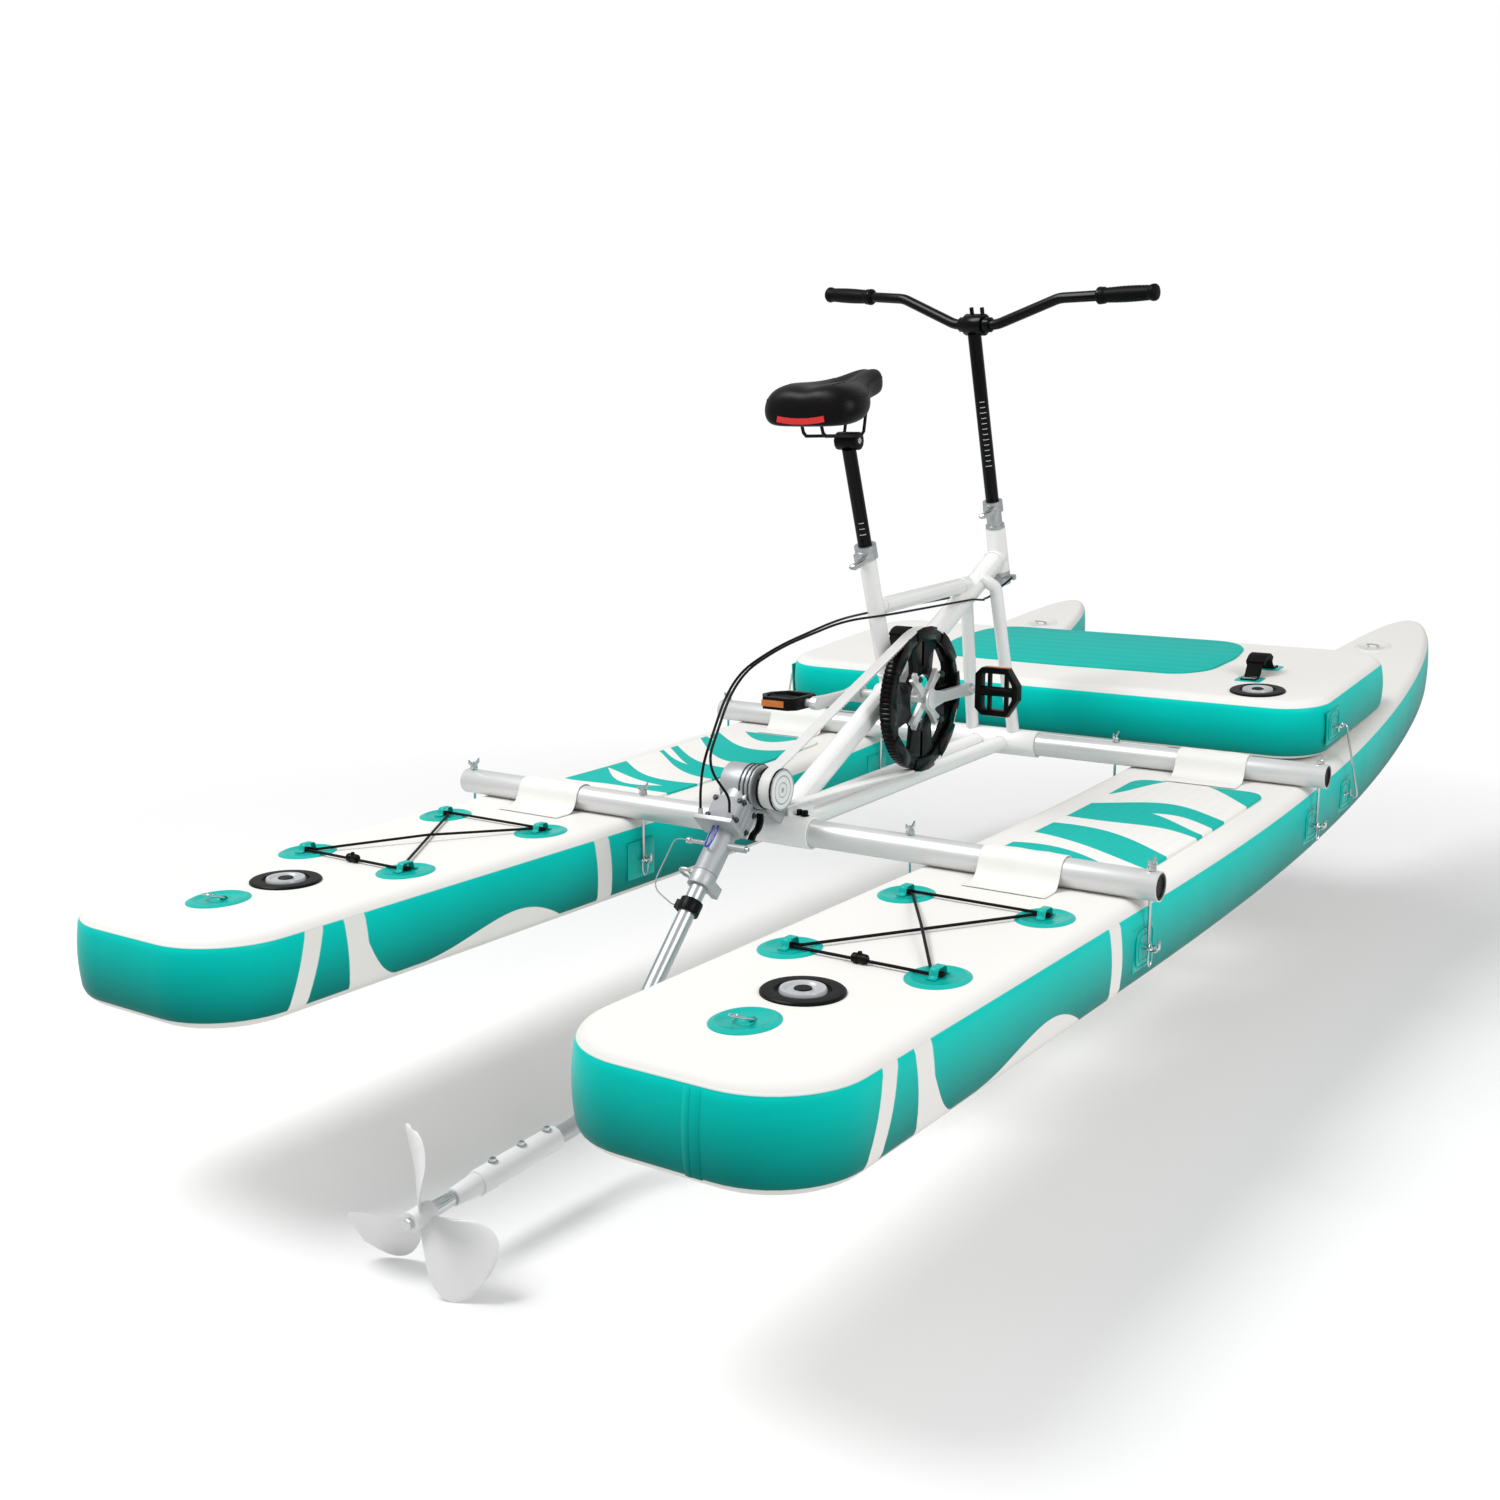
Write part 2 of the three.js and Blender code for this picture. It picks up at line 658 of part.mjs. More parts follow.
// The lashing: through the four loops and across, its ends in a cord lock
function bungeeBody() {
  const low = deckLevel + patch.height + clearance + bungee.cord;
  const high = low + 2 * bungee.cord + bungee.crossing;
  const x = anchor.across;
  const gap = bungee.strand;
  const beyond = gap + bungee.cord;
  const middle = (anchor.front + anchor.rear) / 2;
  const end = bungee.lockLength / 4;
  const corners = [
    point(-end, anchor.rear - gap, low),
    point(-x - beyond, anchor.rear - gap, low),
    point(-x - beyond, anchor.rear + gap, low),
    point(-x + bungee.lead, anchor.rear + gap, low),
    point(x - bungee.lead, anchor.front - gap, low),
    point(x + beyond, anchor.front - gap, low),
    point(x + beyond, anchor.front + gap, low),
    point(-x - beyond, anchor.front + gap, low),
    point(-x - beyond, anchor.front - gap, low),
    point(-x + bungee.lead, anchor.front - gap, low),
    point(0, middle, high),
    point(x - bungee.lead, anchor.rear + gap, low),
    point(x + beyond, anchor.rear + gap, low),
    point(x + beyond, anchor.rear - gap, low),
    point(end, anchor.rear - gap, low),
  ];
  const cord = tube(rounded(corners, gap - clearance, 1), bungee.cord, 8);
  const lock = rod(
    point(-bungee.lockLength / 2, anchor.rear - gap, low + bungee.cord),
    point(bungee.lockLength / 2, anchor.rear - gap, low + bungee.cord),
    bungee.lock,
    8,
  );
  return fuse([cord, lock]);
}

// Welded frame

const frontBeamZ = deckAt(frontBeamY) + beam.diameter / 2 + clearance + deckSag;
const boreRadius = around(beam.diameter / 2, beam.sides);

const sleeveRod = (y, z, half, radius) => rod(point(-half, y, z), point(half, y, z), radius, beam.sides);
const railRods = (radius) =>
  [-rail.offset, rail.offset].map((x) =>
    rod(point(x, 0, 0), point(x, frontBeamY, frontBeamZ), radius, 12),
  );

function baseFrameBody() {
  const radius = sleeve.diameter / 2;
  const rails = railRods(rail.diameter / 2);
  const gussets = [-1, 1].map((side) => {
    const from = side * gusset.x - gusset.thickness / 2;
    return plate(
      [
        [-gusset.toe, radius - sink * 2],
        [gusset.length / 3, radius - gusset.toe],
        [gusset.length, gusset.toe],
        [gusset.length, gusset.height - gusset.toe],
        [gusset.length - gusset.toe, gusset.height],
        [-gusset.toe, gusset.height],
      ],
      from,
      from + gusset.thickness,
    );
  });
  const ties = [-1, 1].map((side) =>
    rod(
      point(side * rail.offset, gusset.length - gusset.toe, gusset.toe),
      point(side * (gusset.x + gusset.thickness / 2), gusset.length - gusset.toe, gusset.toe),
      gusset.toe / 2,
      8,
    ),
  );
  const sleeves = [
    sleeveRod(0, 0, sleeve.rearHalf, radius),
    sleeveRod(frontBeamY, frontBeamZ, sleeve.frontHalf, radius),
  ];
  const bores = [
    sleeveRod(0, 0, sleeve.rearHalf + overrun, boreRadius),
    sleeveRod(frontBeamY, frontBeamZ, sleeve.frontHalf + overrun, boreRadius),
  ];
  return carve(fuse([...sleeves, ...rails, ...gussets, ...ties]), bores);
}

const rake = steering.rake * degrees;
const steerUp = point(0, -Math.sin(rake), Math.cos(rake));
const steerAt = (s) => point(0, steering.footY, steering.footZ).addScaledVector(steerUp, s);
const seatTop = point(0, seatTube.topY, seatTube.topZ);
const seatUp = seatTop.clone().sub(point(0, seatTube.footY, seatTube.footZ)).normalize();
const downFoot = point(0, downTube.footY, downTube.footZ);
const downHead = point(0, downTube.headY, downTube.headZ);

function mainFrameBody() {
  const shellHalf = bracket.halfWidth;
  const shell = (half, radius) =>
    rod(point(-half, bracket.y, bracket.z), point(half, bracket.y, bracket.z), radius, 14);
  const tubes = [
    rod(downFoot, downHead, downTube.diameter / 2, 14),
    rod(point(0, seatTube.footY, seatTube.footZ), seatTop, seatTube.diameter / 2, 12),
    rod(
      point(0, topTube.rearY, topTube.rearZ),
      point(0, topTube.frontY, topTube.frontZ),
      topTube.diameter / 2,
      12,
    ),
    rod(steerAt(0), steerAt(steering.headLength), steering.headTube / 2, 14),
    shell(shellHalf, bracket.shell / 2),
  ];
  const bores = [
    rod(steerAt(-overrun), steerAt(steering.headLength + overrun), around(column.steerer, 14), 14),
    rod(
      seatTop.clone().addScaledVector(seatUp, -seatTube.boreDepth),
      seatTop.clone().addScaledVector(seatUp, overrun),
      around(seatPost.radius, 12),
      12,
    ),
    shell(shellHalf + overrun, around(spindle.radius, 14)),
    sleeveRod(0, 0, sleeve.rearHalf, sleeve.diameter / 2 + clearance),
    ...railRods(rail.diameter / 2 + clearance),
  ];
  return carve(fuse(tubes), bores);
}

function frontLegBody() {
  const radius = frontLeg.diameter / 2;
  const corners = [
    point(frontLeg.topX, frontLeg.topY, frontLeg.topZ),
    point(frontLeg.kneeX, frontLeg.kneeY, frontLeg.kneeZ),
    point(legFoot.x, frontBeamY, frontBeamZ),
  ];
  const cutters = [
    rod(downFoot, downHead, downTube.diameter / 2 + clearance, 14),
    sleeveRod(frontBeamY, frontBeamZ, sleeve.frontHalf, sleeve.diameter / 2 + clearance),
  ];
  return carve(tube(rounded(corners, legFoot.bend / 2, 3), radius, 12), cutters);
}

// Crank drive

const wheelTip = (wheelTeeth * belt.pitch) / (2 * Math.PI) - tipDrop;
const pulleyTip = (pulleyTeeth * belt.pitch) / (2 * Math.PI) - tipDrop;
const beltFrom = belt.planeX - belt.width / 2;
const beltTo = belt.planeX + belt.width / 2;

// A toothed outline: each tooth has a flat crest and sloped sides that meet in the gullet
function toothed(y, z, tipRadius, teeth) {
  const root = tipRadius - belt.tooth;
  const shares = [
    [root, 0],
    [tipRadius, 0.24],
    [tipRadius, 0.76],
  ];
  return [...Array(teeth).keys()].flatMap((tooth) =>
    shares.map(([radius, share]) => {
      const angle = ((tooth + share) / teeth) * 2 * Math.PI;
      return [y + radius * Math.cos(angle), z + radius * Math.sin(angle)];
    }),
  );
}

const polar = (radius, angle) => [radius * Math.cos(angle * degrees), radius * Math.sin(angle * degrees)];

// A window between two radii, wide outside and narrow inside, with cut corners
function windowOutline(middle, inner, outer, innerSpread, outerSpread) {
  const cutShare = 0.22;
  const span = outer - inner;
  return [
    polar(inner, middle - innerSpread * 0.6),
    polar(inner + span * cutShare, middle - innerSpread),
    polar(outer - span * cutShare, middle - outerSpread),
    polar(outer, middle - outerSpread * 0.6),
    polar(outer, middle + outerSpread * 0.6),
    polar(outer - span * cutShare, middle + outerSpread),
    polar(inner + span * cutShare, middle + innerSpread),
    polar(inner, middle + innerSpread * 0.6),
  ].map(([y, z]) => [y + bracket.y, z + bracket.z]);
}

// The guards that keep the belt on stand a running gap clear of its edge
const guardFrom = beltTo + clearance;
const guardTo = guardFrom + wheel.flangeWidth;

function slotOutline(middle, inner, outer, spread) {
  return [
    polar(inner, middle - spread),
    polar(outer, middle - spread * 0.6),
    polar(outer, middle + spread * 0.6),
    polar(inner, middle + spread),
  ].map(([y, z]) => [y + bracket.y, z + bracket.z]);
}

function wheelBody() {
  const innerRim = wheelTip - wheel.rim;
  const rim = plate(toothed(bracket.y, bracket.z, wheelTip, wheelTeeth), beltFrom, beltTo, [
    circle(bracket.y, bracket.z, innerRim, 24),
  ]);
  const webFrom = belt.planeX - wheel.web / 2;
  const quarter = 360 / windowCount;
  const windows = [...Array(windowCount).keys()].map((i) =>
    windowOutline((i + 0.5) * quarter, wheel.windowInner, wheel.windowOuter, 13, 19),
  );
  const slots = [quarter, -quarter].map((middle) =>
    slotOutline(middle, wheel.windowInner, wheel.windowOuter, 4),
  );
  const web = plate(circle(bracket.y, bracket.z, innerRim + 2 * sink, 24), webFrom, webFrom + wheel.web, [
    circle(bracket.y, bracket.z, wheel.hubHole, 16),
    ...windows,
    ...slots,
  ]);
  const turn = 360 / guardCount;
  const spread = turn * 0.36;
  const sector = (outerRadius, innerRadius, middle) =>
    [
      ...[-1, -0.4, 0.4, 1].map((share) => polar(outerRadius, middle + spread * share)),
      ...[1, -1].map((share) => polar(innerRadius, middle + spread * share)),
    ].map(([y, z]) => [y + bracket.y, z + bracket.z]);
  const guardRoot = innerRim + 2 * sink;
  const guards = [...Array(guardCount).keys()].flatMap((i) => [
    plate(sector(wheelTip + wheel.flange, guardRoot - sink, i * turn), guardFrom, guardTo),
    plate(sector(wheelTip - belt.tooth - sink, guardRoot, i * turn), beltTo - sink, guardTo - sink / 2),
  ]);
  return fuse([rim, web, ...guards]);
}

function pulleyBody() {
  const grooved = clearance + pulley.flangeWidth / 2;
  const toothedRim = plate(
    toothed(pulley.y, pulley.z, pulleyTip, pulleyTeeth),
    beltFrom - grooved,
    beltTo + grooved,
  );
  const flangeRadius = pulleyTip + pulley.flange;
  const flangeAt = (from, width) => plate(circle(pulley.y, pulley.z, flangeRadius, 18), from, from + width);
  const shaftRod = rod(
    point(pulley.shaftEnd, pulley.y, pulley.z),
    point(beltTo, pulley.y, pulley.z),
    pulley.shaft,
    12,
  );
  return fuse([
    toothedRim,
    flangeAt(beltTo + clearance, pulley.flangeWidth + pulley.face),
    flangeAt(beltFrom - clearance - pulley.flangeWidth, pulley.flangeWidth),
    shaftRod,
  ]);
}

// The belt: a loop round both wheels, smooth where it wraps and toothed along its free runs
function beltBody() {
  const wrapPieces = 22;
  const landWheel = around(wheelTip, wrapPieces * 1.6);
  const landPulley = around(pulleyTip, wrapPieces);
  const line = point(0, bracket.y - pulley.y, bracket.z - pulley.z);
  const reach = line.length();
  const lean = Math.atan2(line.z, line.y) / degrees;
  const spread = Math.asin((landWheel - landPulley) / reach) / degrees;
  const ring = (offset) => {
    const wheelArc = [...Array(wrapPieces + 1).keys()].map((i) => {
      const angle = lean - 90 - spread + ((180 + 2 * spread) * i) / wrapPieces;
      const [y, z] = polar(landWheel + offset, angle);
      return [y + bracket.y, z + bracket.z];
    });
    const pulleyPieces = wrapPieces / 2;
    const pulleyArc = [...Array(pulleyPieces + 1).keys()].map((i) => {
      const angle = lean + 90 + spread + ((180 - 2 * spread) * i) / pulleyPieces;
      const [y, z] = polar(landPulley + offset, angle);
      return [y + pulley.y, z + pulley.z];
    });
    return { wheelArc, pulleyArc };
  };
  const outer = ring(belt.back);
  const inner = ring(0);
  const wheelEnd = belt.pitch * 3;
  const pulleyEnd = belt.pitch * 1.5;
  const toothRun = (from, to, fromGap, toGap) => {
    const start = new THREE.Vector2(...from);
    const along = new THREE.Vector2(...to).sub(start);
    const length = along.length();
    along.normalize();
    const inward = new THREE.Vector2(-along.y, along.x);
    const count = Math.floor((length - fromGap - toGap) / belt.pitch);
    return [...Array(count).keys()].flatMap((tooth) =>
      [
        [0, 0],
        [0.3, belt.tooth],
        [0.7, belt.tooth],
      ].map(([share, depth]) => {
        const place = start.clone().addScaledVector(along, fromGap + (tooth + share) * belt.pitch);
        return place.addScaledVector(inward, depth).toArray();
      }),
    );
  };
  const upper = toothRun(inner.wheelArc.at(-1), inner.pulleyArc[0], wheelEnd, pulleyEnd);
  const lower = toothRun(inner.pulleyArc.at(-1), inner.wheelArc[0], pulleyEnd, wheelEnd);
  const hole = [...inner.wheelArc, ...upper, ...inner.pulleyArc, ...lower];
  return plate([...outer.wheelArc, ...outer.pulleyArc], beltFrom, beltTo, [hole]);
}

// A crank arm along +Y from the origin, its boss and eye round the two axes
function armOutline(length, fromRadius, waist, toRadius) {
  const back = [90, 126, 162, 198, 234, 270].map((a) => polar(fromRadius, a));
  const front = [-90, -54, -18, 18, 54, 90].map((a) => {
    const [y, z] = polar(toRadius, a);
    return [y + length, z];
  });
  const [near, far] = [length * 0.3, length * 0.75];
  return [...back, [near, -waist], [far, -waist], ...front, [far, waist], [near, waist]];
}

const crankFace = guardTo + clearance;
const spiderDepth = crankFace - (belt.planeX + wheel.web / 2 + clearance);

function crankBody(withSpider) {
  const arm = plate(armOutline(crank.length, crank.boss, crank.waist, crank.eye), 0, crank.thickness);
  const eyeEnd = pedal.inner + crank.thickness - clearance;
  const axlePoint = (x) => point(x, crank.length, 0);
  const pedalAxle = [
    rod(axlePoint(crank.thickness - sink), axlePoint(axle.length), axle.radius, 10),
    rod(axlePoint(crank.thickness - sink), axlePoint(eyeEnd), axle.collar, 10),
  ];
  const bossFrom = withSpider ? -spiderDepth : 0;
  const boss = plate(circle(0, 0, crank.boss + sink, 12), bossFrom, crank.thickness + sink);
  const pieces = [arm, boss, ...pedalAxle];
  if (withSpider) {
    const width = crank.waist;
    const tip = boltCircle + width / 2;
    const half = [
      [0, width],
      [boltCircle * 0.7, width * 0.7],
      [tip, width],
      [tip, width * 0.4],
    ];
    const outline = [...half, [boltCircle, 0], ...half.map(([y, z]) => [y, -z]).reverse()].reverse();
    for (let i = 0; i < armCount; i += 1) {
      const turn = ((i + 0.5) * 360 * degrees) / armCount;
      pieces.push(plate(outline, -spiderDepth, 0).rotateX(turn));
    }
  }
  const bore = rod(
    point(-spiderDepth - overrun, 0, 0),
    point(spindle.seat + clearance, 0, 0),
    around(spindle.radius, 12),
    12,
  );
  return carve(fuse(pieces), [bore]);
}

// A cage pedal about its own axle along +X: an outer frame, a middle barrel and cross bars
function pedalBody() {
  const from = pedal.inner;
  const to = from + pedal.width;
  const half = pedal.length / 2;
  const cut = pedal.nose;
  const outline = (inset) => [
    [from + inset, -half * 0.72 + inset / 2],
    [from + cut * 0.6, -half + inset],
    [to - cut, -half + inset],
    [to - inset, -half * 0.3],
    [to - inset, half * 0.3],
    [to - cut, half - inset],
    [from + cut * 0.6, half - inset],
    [from + inset, half * 0.72 - inset / 2],
  ];
  const shape = new THREE.Shape(outline(0).map(([x, y]) => new THREE.Vector2(x, y)));
  shape.holes.push(new THREE.Path(outline(pedal.frame).reverse().map(([x, y]) => new THREE.Vector2(x, y))));
  const cage = new THREE.ExtrudeGeometry(shape, { depth: pedal.thickness, bevelEnabled: false });
  cage.translate(0, 0, -pedal.thickness / 2);
  const barrelRadius = pedal.thickness / 2 - sink;
  const barrel = rod(point(from, 0, 0), point(to - sink, 0, 0), barrelRadius, 10);
  const ribs = [0.3, 0.7].map((share) =>
    block(
      pedal.frame / 2,
      pedal.length - pedal.frame,
      pedal.thickness / 2,
      point(from + pedal.width * share, 0, 0),
    ),
  );
  const bore = rod(point(from - overrun, 0, 0), point(axle.length, 0, 0), around(axle.radius, 10), 10);
  return carve(fuse([cage, barrel, ...ribs]), [bore]);
}

// Drive head and its bracket

const fanSteps = 5;
const halfTurn = 180;

function bracketBody() {
  const outer = ear.inner + ear.thickness;
  const outline = () => {
    const fan = [...Array(fanSteps + 1).keys()].map((i) => (i * halfTurn) / fanSteps);
    const top = fan.map((a) => polar(ear.radius, ear.lean + a));
    const foot = fan.map((a) => polar(ear.footRadius, ear.lean + halfTurn + a));
    return [
      ...top.map(([y, z]) => [y + pulley.y, z + pulley.z]),
      ...foot.map(([y, z]) => [y + ear.footY, z + ear.footZ]),
    ];
  };
  const ears = [plate(outline(), ear.inner, outer), plate(outline(), -outer, -ear.inner)];
  const webAt = (x) => point(x, ear.footY - ear.web, ear.footZ + sink);
  const web = rod(webAt(-ear.inner - sink), webAt(ear.inner + sink), ear.web, 10);
  const seat = sleeveRod(0, 0, sleeve.rearHalf, sleeve.diameter / 2 + clearance);
  const pivotAt = (x) => point(x, pulley.y, pulley.z);
  const holes = [
    rod(pivotAt(0), pivotAt(outer + overrun), around(head.rightTrunnion, 14), 14),
    rod(pivotAt(-outer - overrun), pivotAt(0), around(head.leftTrunnion, 14), 14),
  ];
  return carve(fuse([...ears, web]), [seat, ...holes]);
}

const legTurn = -(90 - legAngle) * degrees;
const plumb = point(0, 0, 1).applyAxisAngle(xAxis, -legTurn);

// In the leg's frame the pulley axis is the origin and the leg runs down -Z
function headBody() {
  const barrel = rod(point(-head.halfWidth, 0, 0), point(head.halfWidth, 0, 0), head.radius, 18);
  const body = rod(point(0, 0, 0), point(0, 0, -head.length), head.body, 16);
  const cheeks = block(head.body * 1.7, head.body * 1.5, head.length * 0.7, point(0, 0, -head.length * 0.5));
  const outer = ear.inner + ear.thickness;
  const trunnions = [
    rod(point(head.halfWidth - sink, 0, 0), point(outer + sink, 0, 0), head.rightTrunnion, 14),
    rod(point(-outer - sink, 0, 0), point(-head.halfWidth + sink, 0, 0), head.leftTrunnion, 14),
  ];
  const shaftBore = rod(
    point(pulley.shaftEnd - running, 0, 0),
    point(outer + overrun, 0, 0),
    around(pulley.shaft, 12),
    12,
  );
  return carve(fuse([barrel, body, cheeks, ...trunnions]), [shaftBore]);
}

function swivelBody() {
  const radius = swivel.diameter / 2;
  const collar = rod(point(0, 0, -swivel.start), point(0, 0, -swivel.end), radius, leg.sides);
  const arm = block(
    2 * (swivel.armX + swivel.lug),
    swivel.armY + swivel.lug,
    swivel.plate,
    point(0, -(swivel.armY + swivel.lug) / 2, -swivel.start - swivel.plate / 2),
  );
  const lugs = [-1, 1].map((side) => {
    const place = point(side * swivel.armX, -swivel.armY, -swivel.start - sink);
    return rod(place, place.clone().addScaledVector(plumb, swivel.lugHeight), swivel.lug / 2, 8);
  });
  const guide = rod(point(0, 0, -pin.station), point(pin.guideReach, 0, -pin.station), pin.guide, 10);
  const bore = rod(
    point(0, 0, -leg.start + clearance),
    point(0, 0, -swivel.end - overrun),
    around(leg.diameter / 2, leg.sides),
    leg.sides,
  );
  const pinBore = rod(
    point(-radius - overrun, 0, -pin.station),
    point(pin.guideReach + overrun, 0, -pin.station),
    around(pin.radius, 8),
    8,
  );
  return carve(fuse([collar, arm, guide, ...lugs]), [bore, pinBore]);
}

const bend = (legAngle - tailDroop) * degrees;
const tailWay = point(0, -Math.sin(bend), -Math.cos(bend));
const cornerPoint = point(0, 0, -legCorner);
const tailAt = (s) => cornerPoint.clone().addScaledVector(tailWay, s);

function legBody() {
  const corners = [point(0, 0, -leg.start), cornerPoint, tailAt(tail.start + tail.insert)];
  const radius = leg.diameter / 2;
  const pipe = tube(rounded(corners, legBendRadius, 4), radius, leg.sides, radius - leg.wall);
  const reach = radius + overrun;
  const pinBore = rod(
    point(-reach, 0, -pin.station),
    point(reach, 0, -pin.station),
    around(pin.radius, 8),
    8,
  );
  return carve(pipe, [pinBore]);
}

function pinBody() {
  const at = (x) => point(x, 0, -pin.station);
  const shank = rod(at(-pin.reach), at(pin.reach), pin.radius, 8);
  const knob = rod(at(-pin.reach - pin.headLength / 2), at(-pin.reach + pin.headLength / 2), pin.head, 8);
  return fuse([shank, knob]);
}

function legClampBody() {
  const from = -legClamp.start;
  const to = from - legClamp.length;
  const ringBody = rod(point(0, 0, from), point(0, 0, to), legClamp.radius, 16);
  const middle = (from + to) / 2;
  const lug = block(
    legClamp.lugWidth,
    legClamp.lugReach,
    legClamp.length * 0.8,
    point(legClamp.radius * 0.4, legClamp.lugReach / 2, middle),
  );
  const loopPlace = point(-legClamp.radius - legClamp.ring * 0.7, 0, from + legClamp.ring * 0.1);
  const pull = tube(
    arc(loopPlace, xAxis, point(0, 1, 0), legClamp.ring, ...legClamp.ringArc, 8),
    legClamp.ringBar,
    6,
  );
  const root = rod(
    point(-legClamp.radius - sink, 0, from - legClamp.ringBar - sink),
    point(0, 0, from - legClamp.ringBar - sink),
    legClamp.ringBar + sink,
    6,
  );
  const bore = rod(
    point(0, 0, from + overrun),
    point(0, 0, to - overrun),
    around(leg.diameter / 2, leg.sides),
    leg.sides,
  );
  const link = block(
    legClamp.radius,
    legClamp.ring * 1.6,
    legClamp.ringBar * 2,
    point(-legClamp.radius * 0.75, 0, from - legClamp.ringBar),
  );
  return carve(fuse([ringBody, lug, pull.translate(0, 0, -legClamp.ringBar * 1.5), root, link]), [bore]);
}

function clipBody() {
  const from = -clip.start;
  const to = from - clip.length;
  const band = rod(point(0, 0, from), point(0, 0, to), clip.radius, 14);
  const tab = block(
    clip.tab,
    clip.tab * 2,
    clip.length * 0.7,
    point(-clip.radius - clip.tab / 4, 0, (from + to) / 2),
  );
  const bore = rod(
    point(0, 0, from + overrun),
    point(0, 0, to - overrun),
    around(leg.diameter / 2, leg.sides),
    leg.sides,
  );
  return carve(fuse([band, tab]), [bore]);
}

// The wire that keeps the pin, from the clip's tab up to the pin's head
function lanyardBody() {
  const tabX = -clip.radius - (clip.tab * 3) / 4;
  const start = point(tabX - clearance, 0, -clip.start - clip.length / 2);
  const end = point(-pin.reach - pin.headLength / 2 - clearance, 0, -pin.station);
  const corners = [
    start,
    start.clone().add(point(-lanyard.lead, 0, 0)),
    point(end.x - lanyard.bow, 0, start.z + lanyard.bow),
    point(end.x - lanyard.bow, 0, end.z),
    end,
  ];
  return tube(rounded(corners, lanyard.bow, 2), lanyard.radius, 8);
}

function tailBody() {
  const outer = rod(tailAt(tail.start), tailAt(tail.start + tail.length), tail.diameter / 2, leg.sides);
  const bore = rod(
    tailAt(tail.start - overrun),
    tailAt(tail.start + tail.length + overrun),
    around(leg.diameter / 2, leg.sides),
    leg.sides,
  );
  return carve(outer, [bore]);
}

const capStart = tail.start + tail.length + clearance;
const capEnd = capStart + tailCap.length;
const hubStart = capEnd + clearance + shaft.sleeveLength;
const hubEnd = hubStart + clearance + propeller.hubLength;

function tailCapBody() {
  const radius = tailCap.diameter / 2;
  const plugRadius = leg.diameter / 2 - clearance;
  const nose = rod(tailAt(capStart), tailAt(capEnd), radius, leg.sides, radius - overrun);
  const plug = rod(tailAt(capStart - tailCap.plug), tailAt(capStart + sink), plugRadius, leg.sides);
  const bore = rod(
    tailAt(capStart - tailCap.plug - overrun),
    tailAt(capEnd + overrun),
    around(shaft.radius, 12),
    12,
  );
  return carve(fuse([nose, plug]), [bore]);
}

// In the propeller's frame the shaft runs along +Z towards the stern, from the end of the cap
function shaftBody() {
  const z = (s) => point(0, 0, s - capEnd);
  const core = rod(z(capStart - shaft.inside), z(hubEnd + shaft.nutLength), shaft.radius, 12);
  const collar = rod(z(capEnd + clearance), z(hubStart), shaft.sleeve, 12, shaft.sleeve + sink);
  const nut = rod(z(hubEnd + clearance), z(hubEnd + shaft.nutLength), shaft.nut, 6);
  return fuse([core, collar, nut]);
}

// A blade: sections across the radius, each set at its own pitch and swept to a round tip
function bladeBody() {
  const shares = [
    [0.1, 0.2, 52],
    [0.3, 0.46, 46],
    [0.5, 0.72, 40],
    [0.7, 0.84, 34],
    [0.86, 0.74, 30],
    [0.95, 0.5, 27],
    [1, 0.2, 25],
  ];
  const rings = shares.map(([radiusShare, chordShare, pitch]) => {
    const radius = propeller.radius * radiusShare;
    const chord = propeller.radius * chordShare;
    const thickness = THREE.MathUtils.lerp(propeller.root, propeller.tip, radiusShare);
    const along = point(Math.cos(pitch * degrees), 0, Math.sin(pitch * degrees));
    const across = point(-Math.sin(pitch * degrees), 0, Math.cos(pitch * degrees));
    const sway = [
      [0.5, 0],
      [0.25, 0.5],
      [-0.25, 0.5],
      [-0.5, 0],
      [-0.25, -0.5],
      [0.25, -0.5],
    ];
    return sway.map(([c, t]) =>
      point(0, radius, 0).addScaledVector(along, c * chord).addScaledVector(across, t * thickness),
    );
  });
  return loft(rings);
}

// Rings joined in order, with a fan over each end
function loft(rings) {
  const count = rings[0].length;
  const positions = rings.flat().flatMap((p) => p.toArray());
  const index = [];
  for (let ring = 0; ring < rings.length - 1; ring += 1) {
    for (let i = 0; i < count; i += 1) {
      const next = (i + 1) % count;
      const [a, b] = [ring * count + i, ring * count + next];
      index.push(a, b, a + count, b, b + count, a + count);
    }
  }
  const last = (rings.length - 1) * count;
  for (let i = 1; i < count - 1; i += 1) {
    index.push(0, i + 1, i);
    index.push(last, last + i, last + i + 1);
  }
  const geometry = new THREE.BufferGeometry();
  geometry.setAttribute('position', new THREE.Float32BufferAttribute(positions, 3));
  geometry.setIndex(index);
  return outward(geometry);
}

// Turns a closed body's faces out if its volume came out negative
function outward(geometry) {
  const position = geometry.attributes.position;
  const corner = (i) => new THREE.Vector3().fromBufferAttribute(position, geometry.index.array[i]);
  let volume = 0;
  for (let i = 0; i < geometry.index.count; i += 3) {
    volume += corner(i).dot(corner(i + 1).cross(corner(i + 2)));
  }
  if (volume < 0) {
    const index = Array.from(geometry.index.array);
    for (let i = 0; i < index.length; i += 3) [index[i], index[i + 1]] = [index[i + 1], index[i]];
    geometry.setIndex(index);
  }
  return geometry;
}

